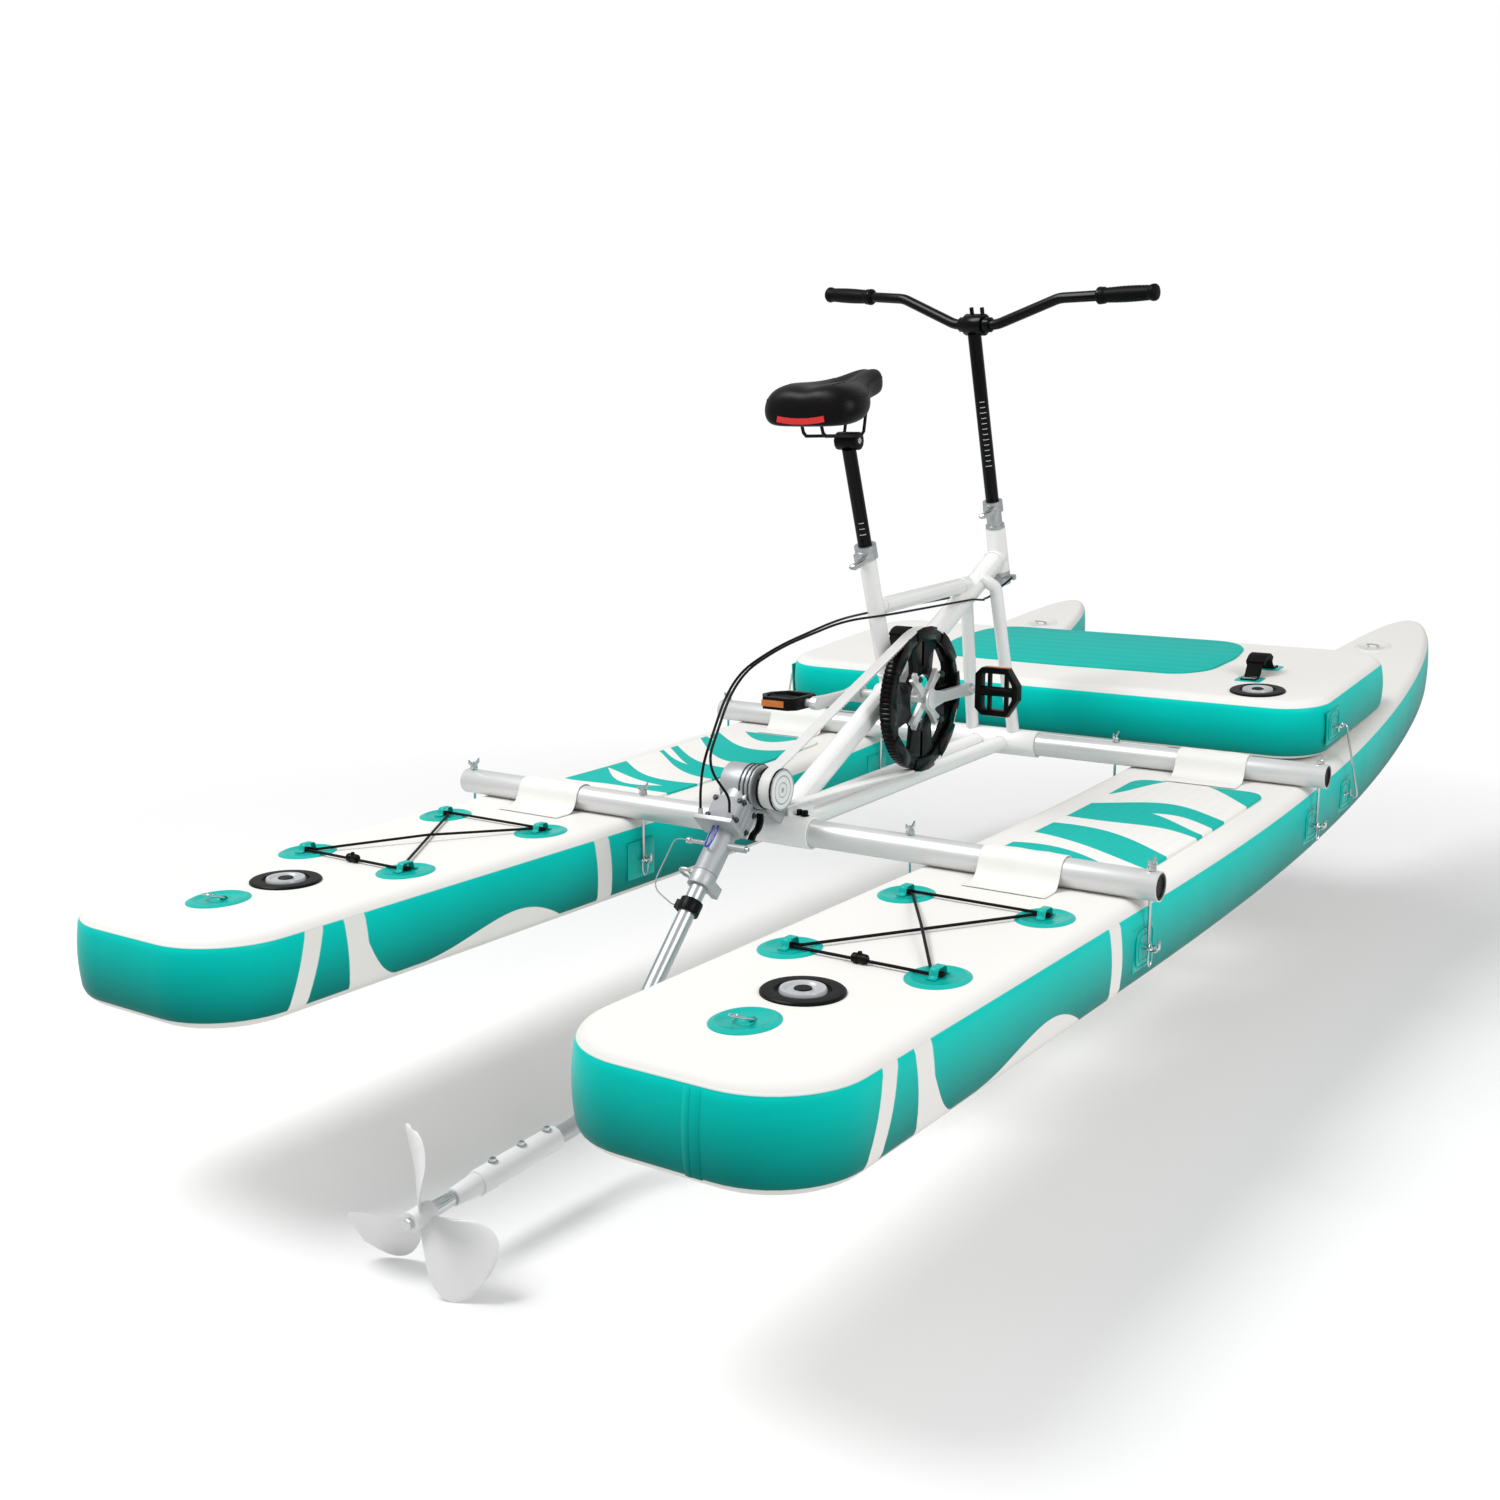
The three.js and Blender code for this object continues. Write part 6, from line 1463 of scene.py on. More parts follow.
CABLE = 0.0024
CABLE_END = 0.115
for side, sign in SIDES.items():
    front, rear = (scaled(corners) for corners in cable_corners(sign))
    front_path = round_path(front, 0.012, 5)
    rear_path, end_path = cut_off(dense(round_path(rear, 0.110, 10), 0.008), CABLE_END)
    for label, path, bodies, start, end in (
        ("front", front_path, ("craft", "steering_body"), at(sign * 20, 830, 351), front[0]),
        ("rear", rear_path, ("craft", "head_body"), at(0, 60, 330), rear_path[-1]),
        ("end", end_path, ("head_body", "leg_body"), end_path[0], end_path[-1]),
    ):
        name = f"{side}_{label}_cable"
        line = dense(path, 0.008)
        piece = bending_piece(name, line, CABLE, (1, 0, 0), cable_sleeve, bodies, start, end)
        if label == "rear":
            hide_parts(side + "_steering_cable")
        tell_cord(path, CABLE)
print("rear cable length:", round(path_length(rear_path), 3), "and its end:", round(path_length(end_path), 3))

# %% [markdown]
# ## The saddle
# A saddle is foam on a shell under a stretched cover, so it has no hard edge but its rim. It
# could be sculpted; a cage is easier to measure. The cage is one section, scaled and lifted
# at eleven stations from tail to nose, and rounds of subdivision make the soft form.

# %% Saddle form
# share of the length, share of the half width, rise of the crown, share of the depth
STATIONS = [
    (0.0, 0.46, -0.42, 0.62), (0.025, 0.76, -0.16, 0.98), (0.10, 0.96, 0.02, 1.18), (0.22, 1.0, 0.05, 1.20),
    (0.35, 0.92, 0.04, 1.08), (0.48, 0.69, 0.04, 0.88), (0.62, 0.43, 0.12, 0.80), (0.78, 0.31, 0.25, 0.80),
    (0.92, 0.28, 0.32, 0.78), (0.98, 0.21, 0.22, 0.58), (1.0, 0.10, 0.02, 0.26),
]
# (share of the half width, share of the depth, share of the channel's dip) from crown to keel
SECTION = [
    (0.0, 0.0, -1.0), (0.3, 0.05, -0.1), (0.6, 0.02, 0.0), (0.86, -0.13, 0.0),
    (1.0, -0.42, 0.0), (1.0, -0.74, 0.0), (0.86, -0.97, 0.0), (0.5, -1.0, 0.0),
]
SADDLE_HALF, SADDLE_DEPTH, SADDLE_TAIL, SADDLE_LENGTH, SADDLE_TOP = 104.0 * 0.985, 62.0, 96, 268, 792


def saddle_ring(station):
    along, width, top, depth = station
    half, deep = SADDLE_HALF * width, SADDLE_DEPTH * depth
    crown = SADDLE_TOP + top * 62 + along * 20
    dip = 10.0 * math.sin(math.pi * min(along * 1.25, 1.0))
    y = SADDLE_TAIL + SADDLE_LENGTH * along
    right = [(x * half, y, crown + z * deep + groove * dip) for x, z, groove in SECTION]
    return right + [(-x, y, z) for x, y, z in reversed(right[1:])]


rings = [saddle_ring(station) for station in STATIONS]
points = [at(*place) for ring in rings for place in ring]
rows, count = len(rings), len(rings[0])
cage = mesh_from("saddle_cage", points, end_faces(rows, count) + ring_faces(rows, count))
mesh = finish_mesh(evaluated("saddle_foam", cage, [("SUBSURF", {"levels": 3})]), 80.0)
saddle = new_piece("saddle_foam", mesh, saddle_cover, "seat_body", "black_plastic", "saddle")
low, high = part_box("saddle")
print("saddle packed size:", [round(b - a, 3) for a, b in zip(low, high)], "faces:", len(mesh.polygons))

# %% [markdown]
# ## The saddle's seams and lens
# Thin piping follows the cover's seams, and a red lens is let into the tail. Both must lie on
# the foam, so each point of their lines is moved to the nearest place on it. The piping is
# tubes along those lines; the lens is a flat band.

# %% Piping and rear lens
from mathutils.bvhtree import BVHTree


def surface_of(mesh):
    return BVHTree.FromPolygons([v.co for v in mesh.vertices], [p.vertices for p in mesh.polygons])


surface = surface_of(mesh)


def on_saddle(place, lift=0.0):
    spot, normal, _, _ = surface.find_nearest(place)
    return spot + normal * lift


def mixed(first, second, share):
    return [a + (b - a) * share for a, b in zip(first, second)]


def saddle_line(index, first, last, lift, sign, steps=40):
    """A path along the saddle at one point of its section, laid on the foam."""
    line = []
    for step in range(steps + 1):
        along = first + (last - first) * step / steps
        ahead = next(i for i, station in enumerate(STATIONS) if station[0] > along)
        behind, before = STATIONS[ahead - 1], STATIONS[ahead]
        ring = saddle_ring(mixed(behind, before, (along - behind[0]) / (before[0] - behind[0])))
        x, y, z = mixed(ring[int(index)], ring[int(index) + 1], index % 1)
        line.append(on_saddle(at(sign * x, y, z), lift))
    return line


LENS_HALF_THICK, LENS_HALF_HIGH = 0.0012, 0.0055
rim = [saddle_line(3.6, 0.05, 0.97, 0.0002, sign) for sign in (-1, 1)]
wings = [saddle_line(1.7, 0.10, 0.60, 0.0001, sign) for sign in (-1, 1)]
seams = [tubes("rim_piping", rim, 0.0009, 8, grip_rubber), tubes("wing_piping", wings, 0.0006, 8, grip_rubber)]
new_piece("saddle_piping", joined("piping", seams), grip_rubber, "seat_body", "black_plastic")
shares = [step / 12 - 1 for step in range(25)]
around_tail = [on_saddle(at(50 * t, 94 + 3 * t * t, 731 + 5 * t * t), 0.0009) for t in shares]
band = [(u * LENS_HALF_THICK, v * LENS_HALF_HIGH) for u, v in ((1, 1), (-1, 1), (-1, -1), (1, -1))]
lens_band = sweep("lens", around_tail, band, (0, 1, 0), 50.0)
new_piece("saddle_rear_lens", lens_band, red_lens, "seat_body", "black_plastic")
print("piping runs:", len(rim) + len(wings))

# %% [markdown]
# ## The saddle clamp's nuts
# The cradle grips the post's top with a bolt across it, which shows a hex nut on each side.
# One nut is turned with six sides, and the marks tree stands it on both ends.

# %% Saddle clamp nuts
NO_SHIFT = Vector((0, 0, 0))
SEAT_WAY = Vector((0, -0.330784, 0.943707))
SEAT_FOOT = at(0, 335, 492)
nut = turned("nut", [(0.0, 0.0), (0.0062, 0.0), (0.0062, 0.004), (0.0048, 0.0052), (0.0, 0.0052)], NO_SHIFT, sides=6)
post_top = SEAT_FOOT + SEAT_WAY * 0.2163
marks = [standing((sign * 0.0228, post_top.y, post_top.z), (sign, 0, 0)) for sign in (-1, 1)]
copied("saddle_clamp_nuts", nut, marks, polished, "seat_body", "steel")
print("clamp nuts:", len(marks))

# %% [markdown]
# ## Beams
# The two cross beams are satin tubes, open but for a black plug pressed into each end. The
# packed tube is a facetted cylinder. A wall profile turned with more sides keeps the long
# highlight smooth and eases the tube's ends; the plug is one turned cap on two marks.

# %% Beam ends and tubes
BEAM_HALF, BEAM_RADIUS, BEAM_BORE = 0.750, 0.025, 0.0225
PLUG = [
    (0.0, -0.006), (0.0222, -0.006), (0.0222, -0.0022), (0.0212, -0.0012),
    (0.0185, -0.0014), (0.017, -0.0034), (0.009, -0.0038), (0.0, -0.0038),
]
plug = turned("plug", PLUG, NO_SHIFT, sides=40)
for end, (y, z) in BEAMS.items():
    centre = DATUM + Vector((0, y, z))
    rim = [(BEAM_BORE, BEAM_HALF), (0.0235, BEAM_HALF), (0.0246, BEAM_HALF - 0.0003), (BEAM_RADIUS, BEAM_HALF - 0.0012)]
    wall = [(radius, -along) for radius, along in rim]
    wall += [(BEAM_RADIUS, BEAM_HALF * share) for share in (-0.6, -0.2, 0.2, 0.6)] + rim[::-1]
    wall += [(BEAM_BORE, BEAM_HALF * share) for share in (0.6, -0.6)] + [(BEAM_BORE, -BEAM_HALF)]
    tube = turned(end + "_tube", wall, centre, (1, 0, 0), 56)
    new_piece(end + "_beam_tube", tube, beam_metal, "craft", "aluminium", end + "_beam")
    marks = [standing(centre + Vector((sign * BEAM_HALF, 0, 0)), (sign, 0, 0)) for sign in (-1, 1)]
    copied(end + "_beam_plugs", plug, marks, black_plastic, "craft", "black_plastic")
print("beam length:", 2 * BEAM_HALF)

# %% [markdown]
# ## Places on the bar, the column and the seat post
# The column leans back, the stem is turned a little in it, and the seat post has a lean of its
# own. Numbers along each part are easier to read than slanted ones, so each has a matrix.

# %% Places in the column's and the bar's own frames
COLUMN = Matrix.Translation(at(*COLUMN_FOOT)) @ Matrix.Rotation(RAKE, 4, "X")
STEM = COLUMN @ Matrix.Rotation(-math.radians(8), 4, "Z")
BAR = STEM @ Matrix.Translation(Vector((0, 9, 547)) * MM)
SEAT = Matrix.Translation(SEAT_FOOT) @ Matrix.Rotation(math.atan2(-SEAT_WAY.y, SEAT_WAY.z), 4, "X")


def inside(matrix, x, y, z):
    return matrix @ (Vector((x, y, z)) * MM)


def upwards(matrix):
    return matrix.to_3x3() @ Vector((0, 0, 1))


print("bar centre height:", round(inside(BAR, 0, 0, 0).z, 3))

# %% [markdown]
# ## Grips
# A grip is a rubber sleeve with fine ribs for the hand, a flare at its inner end and a round
# cap. Bump alone would vanish at its outline, so the ribs are in the turned profile itself,
# one step up and one down. A glossy collar clamps it to the bar.

# %% Grips
GRIP_FROM = Vector((410, 30, 58))
GRIP_WAY = (Vector((196, 21, 49.88)) - GRIP_FROM).normalized()
GRIP_CAP = [(0.0, -0.0042), (0.009, -0.004), (0.0145, -0.0026), (0.0166, 0.0006), (0.0168, 0.005), (0.0158, 0.009)]
GRIP_FLARE = [(0.0166, 0.111), (0.0168, 0.114), (0.0168, 0.122), (0.0163, 0.1245), (0.0118, 0.128), (0.0112, 0.128)]
GRIP_COLLAR = [
    (0.0112, 0.1185), (0.0172, 0.1185), (0.0174, 0.1195), (0.0174, 0.1225), (0.0172, 0.1235), (0.0112, 0.1235),
]
RIB_STEPS = 24
ribs = []
for step in range(RIB_STEPS + 1):
    share = step / RIB_STEPS
    swell = 0.0148 + 0.0014 * math.sin(math.pi * share) - (0.0004 if step % 2 else 0.0)
    ribs.append((swell, 0.011 + 0.097 * share))
body = GRIP_CAP + ribs + GRIP_FLARE
for side, sign in SIDES.items():
    start = inside(BAR, sign * GRIP_FROM.x, GRIP_FROM.y, GRIP_FROM.z)
    beyond = GRIP_FROM + GRIP_WAY
    way = (inside(BAR, sign * beyond.x, beyond.y, beyond.z) - start).normalized()
    piece = new_piece(
        side + "_grip_rubber", turned("grip", body, start, way, 40, 55.0), grip_rubber, "stem_body", "rubber"
    )
    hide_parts(side + "_grip")
    collar = turned("collar", GRIP_COLLAR, start, way, 40)
    new_piece(side + "_grip_collar", collar, black_gloss, "stem_body", "black_paint")
print("grip length:", round(body[-1][1] - body[0][1], 3))

# %% [markdown]
# ## Posts with tick marks
# Both black posts carry pale ticks, every fifth a little longer, so the rider finds the same
# height again. Printed ink could be a mask in the paint; as thin arcs that stand a hair off
# the tube, the ticks stay crisp from close by. A long and a short arc are put on marks.

# %% Posts with tick marks
pale_ink = plain_finish("pale tick ink", "#c9ccce", 0.5, tone=(60.0, 0.1), grain=(800.0, 0.1))
TICK_PITCH = 0.0118
TICK_HALF_THICK, TICK_HALF_DEEP = 0.00015, 0.0007
LONG_TICK, SHORT_TICK = 56, 44


def tick(radius, middle, spread):
    """A short flat arc round the z axis, in the post's own frame."""
    turns = [math.radians(middle + spread * (step / 6 - 0.5)) for step in range(7)]
    path = [Vector((radius * math.cos(a), radius * math.sin(a), 0.0)) for a in turns]
    band = [(u * TICK_HALF_THICK, v * TICK_HALF_DEEP) for u, v in ((1, 1), (-1, 1), (-1, -1), (1, -1))]
    return sweep("tick", path, band, (1, 0, 0))


def ticks(matrix, radius, first, count, middle):
    made = []
    for spread, numbers in ((LONG_TICK, range(0, count, 5)), (SHORT_TICK, [n for n in range(count) if n % 5])):
        marks = [matrix @ Matrix.Translation((0, 0, first + TICK_PITCH * number)) for number in numbers]
        made.append(copies("ticks", tick(radius, middle, spread), marks, pale_ink))
    return joined("ticks", made, 60.0)


new_piece("stem_ticks", ticks(STEM, 0.01432, 0.245, 13, -52), pale_ink, "stem_body", "black_paint")
new_piece("seat_post_ticks", ticks(SEAT, 0.01362, 0.030, 3, -60), pale_ink, "seat_body", "black_paint")
wall = [(0.0, -0.140), (0.0130, -0.140), (0.0136, -0.1394), (0.0136, 0.2004), (0.0130, 0.201), (0.0, 0.201)]
post = turned("seat_post_tube", wall, SEAT.translation, upwards(SEAT), 40)
new_piece("seat_post_tube", post, black_gloss, "seat_body", "black_paint", "seat_post")
print("tick pitch:", TICK_PITCH)


# %% [markdown]
# ## Weld beads
# Where two tubes of the frame meet, the welder leaves a thin ring of overlapping drops. A
# torus would be too even. Here the ring's section swells and shrinks four points to a drop,
# and the white paint goes over it.

# %% Weld beads
BEAD_THICK, BEAD_SWELL, BEAD_SIDES = 0.0017, 0.22, 8


def bead(centre, axis, radius, drops=26):
    axis = Vector(axis).normalized()
    side = axis.orthogonal().normalized()
    other = axis.cross(side)
    points, count = [], drops * 4
    for step, around in enumerate(turns_of(count)):
        place = Vector(centre) + (side * math.cos(around) + other * math.sin(around)) * (radius + 0.0003)
        out = (place - Vector(centre)).normalized()
        fat = BEAD_THICK * (1 + BEAD_SWELL * math.sin(step * math.pi / 2))
        for turn in turns_of(BEAD_SIDES):
            points.append(place + (out * math.cos(turn) + axis * math.sin(turn)) * fat)
    return mesh_from("bead", points, ring_faces(count, BEAD_SIDES, True), 70.0)


THIN_TUBE, DOWN_TUBE, RAIL = 0.0172, 0.0232, 0.0162
down_way = Vector((0, 900, 441)).normalized()
top_way = Vector((0, 385, 15)).normalized()
spots = [
    (at(0, 437, 201) + SEAT_WAY * 0.036, SEAT_WAY, THIN_TUBE),
    (at(0, 385, 371) + top_way * 0.0165, top_way, THIN_TUBE),
    (at(0, 770, 386) - top_way * 0.030, top_way, THIN_TUBE),
    (at(0, 20, -4) + down_way * 0.0345, down_way, DOWN_TUBE),
    (at(0, 920, 437) - down_way * 0.0235, down_way, DOWN_TUBE),
]
base = []
for sign in (-1, 1):
    base.append(bead(at(sign * 30, 31, 0), (0, 1, 0), RAIL, 20))
    base.append(bead(at(sign * 30, 891, BEAMS["front"][1] / MM), (0, 1, 0), RAIL, 20))
new_piece("frame_welds", joined("welds", [bead(*spot) for spot in spots], 70.0), white_paint, "craft", "white_paint")
new_piece("base_welds", joined("welds", base, 70.0), white_paint, "craft", "white_paint")
print("weld beads:", len(spots) + len(base))

# %% [markdown]
# ## Bolts
# The drive and the leg are held by socket bolts: a washer, a round head with a chamfer and a
# sunk middle. One maker gives each size, standing on the origin, and the marks tree stands a
# copy wherever the real bolt is, so a changed head changes everywhere.

# %% Bolts on the drive and the leg
def bolt(width, high):
    washer = [(0.0, 0.0), (width * 0.72, 0.0), (width * 0.72, 0.0007), (width * 0.5, 0.001), (0.0, 0.001)]
    head = [(0.0, 0.001), (width / 2, 0.001), (width / 2, high - 0.0008), (width * 0.44, high), (width * 0.24, high)]
    head += [(width * 0.22, high - 0.0018), (0.0, high - 0.0018)]
    made = [turned("washer", washer, NO_SHIFT, sides=24), turned("head", head, NO_SHIFT, sides=20, angle=30.0)]
    return joined("bolt", made)


STARBOARD = Vector((1, 0, 0))
LEG = Matrix.Translation(at(*LEG_AXIS)) @ Matrix.Rotation(LEG_TURN, 4, "X")
BEND = math.radians(46.3 - 2.8)
LEG_BEND = Vector((0, 0, -654))
TAIL = LEG @ Matrix.Translation(LEG_BEND * MM) @ Matrix.Rotation(math.pi - BEND, 4, "X")
tail_way = upwards(TAIL)
tail_up = (Vector((0, 0, 1)) - tail_way * tail_way.z).normalized()
marks = [standing(inside(TAIL, 0, 0, reach) + tail_up * 0.0203, tail_up) for reach in (110, 170, 235)]
copied("tail_bolts", bolt(0.011, 0.006), marks, polished, "leg_body", "steel")
frame_top = surface_of(nodes["base_frame"].data)
above = [DATUM + Vector((x, y, 0.3)) for x, y in ((0.062, 0.004), (0.076, 0.001))]
marks = [Matrix.Translation(frame_top.ray_cast(place, Vector((0, 0, -1)))[0]) for place in above]
copied("gusset_bolts", bolt(0.011, 0.010), marks, black_plastic, "craft", "steel")
print("bolts on the tail and the gusset:", 3 + len(marks))

# %% [markdown]
# ## The crank's bolts and caps
# The starboard crank's star carries a turned boss and four bolts on one circle, and a plain
# cap closes each end of the spindle.

# %% Bolts and caps on the cranks
BOLT_CIRCLE = 0.065
CAP = [
    (0.0, 0.0), (0.0115, 0.0), (0.0115, 0.0016), (0.0095, 0.0026), (0.004, 0.0028), (0.0036, 0.0012), (0.0, 0.0012),
]
hub = at(0, 457.5, 183)
quarters = [math.radians(45 + 90 * i) for i in range(4)]
circle = [Vector((0.0845, BOLT_CIRCLE * math.cos(a), BOLT_CIRCLE * math.sin(a))) for a in quarters]
marks = [standing(hub + spot, STARBOARD) for spot in circle]
copied("ring_bolts", bolt(0.0095, 0.0045), marks, dark_steel, "crankset", "steel")
boss = [(0.0, 0.0), (0.0235, 0.0), (0.0235, 0.0020), (0.0215, 0.0042), (0.0150, 0.0050), (0.0, 0.0050)]
boss = turned("boss", boss, hub + Vector((0.0840, 0, 0)), STARBOARD, 40)
new_piece("spider_boss", boss, crank_metal, "crankset", "cast_alloy")
low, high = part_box("crank_spindle")
ends = ((high[0] + 0.0002, 1), (low[0] - 0.0002, -1))
marks = [standing((x, hub.y, hub.z), (sign, 0, 0)) for x, sign in ends]
cap = turned("cap", CAP, NO_SHIFT, sides=32)
copied("crank_bolt_caps", cap, marks, black_plastic, "crankset", "black_plastic")
print("bolts on the star:", len(circle), "and caps:", len(marks))

# %% [markdown]
# ## The propeller
# Each blade is a loft of thin lens sections whose chord swells and closes in a round tip,
# while the pitch eases towards the tip. A flat leaf could be bent to it, but a loft keeps the
# section thick at the root. The ring tree turns one blade into three round a short hub.

# %% Propeller blades
BLADE_REACH = 0.139
# share of the reach, chord as a share of it, and pitch in degrees
BLADE = [
    (0.10, 0.20, 52), (0.30, 0.46, 46), (0.50, 0.72, 40), (0.70, 0.84, 34),
    (0.86, 0.76, 30), (0.955, 0.50, 27), (0.995, 0.17, 25),
]
ROOT_THICK, TIP_THICK, CAMBER = 0.0050, 0.0018, 0.004
BLADE_COUNT = 3


def spline_weights(t):
    """How much of four points in a row a smooth curve takes between the middle two."""
    before, after = -t**3 / 2 + t**2 - t / 2, t**3 / 2 - t**2 / 2
    return before, 1.5 * t**3 - 2.5 * t**2 + 1, -1.5 * t**3 + 2 * t**2 + t / 2, after


def eased(table, steps=6):
    """More rows through the same rows, on a smooth curve."""
    rows = []
    for i in range(len(table) - 1):
        near = [table[min(max(i + k, 0), len(table) - 1)] for k in (-1, 0, 1, 2)]
        for step in range(steps):
            weights = spline_weights(step / steps)
            rows.append(tuple(sum(w * v for w, v in zip(weights, values)) for values in zip(*near)))
    return rows + [table[-1]]


def blade():
    lens_section = circle_section(0.5, 20)
    points, rows = [], eased(BLADE)
    for share, chord, pitch in rows:
        lean = math.radians(pitch)
        thick = ROOT_THICK + (TIP_THICK - ROOT_THICK) * share
        for u, v in lens_section:
            along = u * chord * BLADE_REACH
            up = v * thick + CAMBER * (1 - (2 * u) ** 2) * share
            x = math.cos(lean) * along - math.sin(lean) * up
            points.append((x, share * BLADE_REACH, math.sin(lean) * along + math.cos(lean) * up))
    count = len(lens_section)
    return mesh_from("blade", points, ring_faces(len(rows), count) + end_faces(len(rows), count), 60.0)


HUB = [
    (0.0066, -0.021), (0.0158, -0.021), (0.017, -0.0195), (0.0168, 0.0),
    (0.0160, 0.0185), (0.0148, 0.021), (0.0066, 0.021),
]
hub_place = TAIL @ Matrix.Translation(Vector((0, 0, 0.3909)))
blades = moved(grown("blades", blade(), RING_TREE, Count=BLADE_COUNT, Finish=blade_white), hub_place)
parts = [turned("hub", HUB, hub_place.translation, tail_way, 40), blades]
mesh = joined("propeller", parts, 50.0)
new_piece("propeller_blades", mesh, blade_white, "propeller_body", "white_plastic", "propeller")
print("propeller points:", len(mesh.vertices))

# %% [markdown]
# ## The drive head's dress
# The head is a bead-blasted block with ribs, eight bolts and three turned collars round the
# input shaft. Its blocks are bevelled cubes in the leg's own frame, because the casting leans
# with the leg. The collars are one ring on three marks.

# %% Drive head
BLOCK_FACES = [(0, 1, 3, 2), (4, 6, 7, 5), (0, 4, 5, 1), (2, 3, 7, 6), (0, 2, 6, 4), (1, 5, 7, 3)]


def soft_block(matrix, low, high, rim):
    """A block with rounded edges in a frame's own millimetres."""
    corners = [(x, y, z) for x in (low[0], high[0]) for y in (low[1], high[1]) for z in (low[2], high[2])]
    mesh = mesh_from("block", [inside(matrix, *corner) for corner in corners], BLOCK_FACES)
    limit = {"width": rim, "segments": 3, "limit_method": "ANGLE", "angle_limit": math.radians(30)}
    return evaluated("block", mesh, [("BEVEL", limit)])


blocks = [soft_block(LEG, (-31, -33, -96), (31, 27, -44), 0.004)]
blocks += [soft_block(LEG, (30, y - 1.6, -94), (32.6, y + 1.6, -46), 0.0006) for y in (-22, -8, 6, 20)]
new_piece("head_block", joined("blocks", blocks, 30.0), cast_face, "head_body", "cast_alloy")
aft = LEG.to_3x3() @ Vector((0, -1, 0))
marks = [standing(inside(LEG, x, -33.2, z), aft) for x in (-26, 26) for z in (-52, -88)]
marks += [standing(inside(LEG, 31.2, y, z), STARBOARD) for y in (-27, 15) for z in (-52, -88)]
copied("head_bolts", bolt(0.008, 0.0045), marks, dark_steel, "head_body", "steel")
collar = [(0.0395, -0.0011), (0.0412, -0.0011), (0.0416, -0.0006)]
collar = turned("collar", collar + [(radius, -along) for radius, along in reversed(collar)], NO_SHIFT, sides=48)
spots = [standing(LEG.translation + Vector((x, 0, 0)), STARBOARD) for x in (0.010, 0.019, 0.028)]
copied("head_collars", collar, spots, dark_steel, "head_body", "cast_alloy")
print("bolts on the head:", len(marks), "and collars:", len(spots))

# %% [markdown]
# ## Belt guard, pulley and blue link
# A black horn curls down the head's front side and keeps the belt on. The pulley's outer face
# is turned in rings, between two black flanges, so one profile gives the face and one more
# ring the flanges. A blue link ties the swivel's arm, under two button heads.

# %% Guard, pulley face and link
GUARD_CORNERS = ((22, -42), (33, -52), (36, -68), (29, -80), (31, -93))
PULLEY_RINGS = [
    (0.0, -0.0004), (0.0045, -0.0004), (0.005, 0.0006), (0.0118, 0.0006), (0.0122, -0.0004), (0.014, -0.0004),
    (0.0144, 0.0007), (0.0235, 0.0007), (0.024, -0.0004), (0.0262, -0.0004), (0.0268, 0.0008), (0.0330, 0.0008),
    (0.0345, -0.0004),
]
FLANGE = [
    (0.0362, -0.0002), (0.0380, -0.0002), (0.0384, 0.0004), (0.0384, 0.0030), (0.0380, 0.0036), (0.0362, 0.0036),
]
guard_line = round_path([inside(LEG, 37, y, z) for y, z in GUARD_CORNERS], 0.010, 6)
guard = sweep("guard", guard_line, strap_section(0.013, 0.006), (1, 0, 0), 50.0)
new_piece("belt_guard_horn", guard, black_plastic, "head_body", "black_plastic")
low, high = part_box("input_pulley")
centre = Vector((high[0], (low[1] + high[1]) / 2, (low[2] + high[2]) / 2))
face = turned("face", PULLEY_RINGS, centre, STARBOARD, 48)
new_piece("pulley_face", face, white_plastic, "pulley_body", "aluminium")
flange = turned("flange", FLANGE, NO_SHIFT, sides=48)
marks = [standing((x, centre.y, centre.z), STARBOARD) for x in (0.0438, 0.0716)]
copied("pulley_flanges", flange, marks, black_gloss, "pulley_body", "black_paint")
ring = [(7.5 * squared(math.cos(a), 0.7), -31 - 2 * math.cos(a), -126 + 24 * math.sin(a)) for a in turns_of(36)]
link = sweep("link", [inside(LEG, *spot) for spot in ring], circle_section(0.0021, 10), (0, 1, 0), loop=True)
new_piece("blue_link", link, blue_cord, "leg_body", "steel")
button = [(0.0, 0.0), (0.0050, 0.0), (0.0048, 0.0012), (0.0026, 0.0019), (0.0, 0.0019)]
button = turned("button", button, NO_SHIFT, sides=24)
marks = [standing(inside(LEG, x, -38, -98.6), upwards(LEG)) for x in (-14, 14)]
copied("swivel_bolts", button, marks, dark_steel, "leg_body", "steel")
print("pulley face at", [round(v, 4) for v in centre], "width", round(high[0] - low[0], 4))

# %% [markdown]
# ## The stern seam
# The side band of the starboard float closes at the stern with a lapped strip, which shows
# from behind. It follows the edge's own profile, and stores the skin's two numbers, so the
# skin's finish can go on it without a break.

# %% Stern seam
STRIP_FROM, STRIP_TO = FLOAT_RIM, 0.157


def stern_strip(sign, x, width, lift):
    line = []
    for inset, drop, travelled in edge_profile(FLOAT_THICK, FLOAT_EDGE):
        if STRIP_FROM <= travelled <= STRIP_TO:
            spot = Vector((sign * SPACING + x, FLOAT["stern"] + inset - lift, deck_height(FLOAT["stern"]) - drop))
            line.append(DATUM + spot)
    return sweep("strip", line, strap_section(width, 0.0012), (1, 0, 0), 50.0)


seam = joined("seam", [stern_strip(1, 0.046, 0.026, 0.0003), stern_strip(1, 0.040, 0.008, 0.0011)], 50.0)
heights = [DATUM.z + DECK - vertex.co.z for vertex in seam.vertices]
for label, values in (("down", [0.09] * len(heights)), ("below", heights)):
    seam.attributes.new(label, "FLOAT", "POINT").data.foreach_set("value", values)
new_piece("starboard_stern_seam", seam, float_skin, "craft", "float_fabric")
print("seam depth:", round(max(heights) - min(heights), 3))

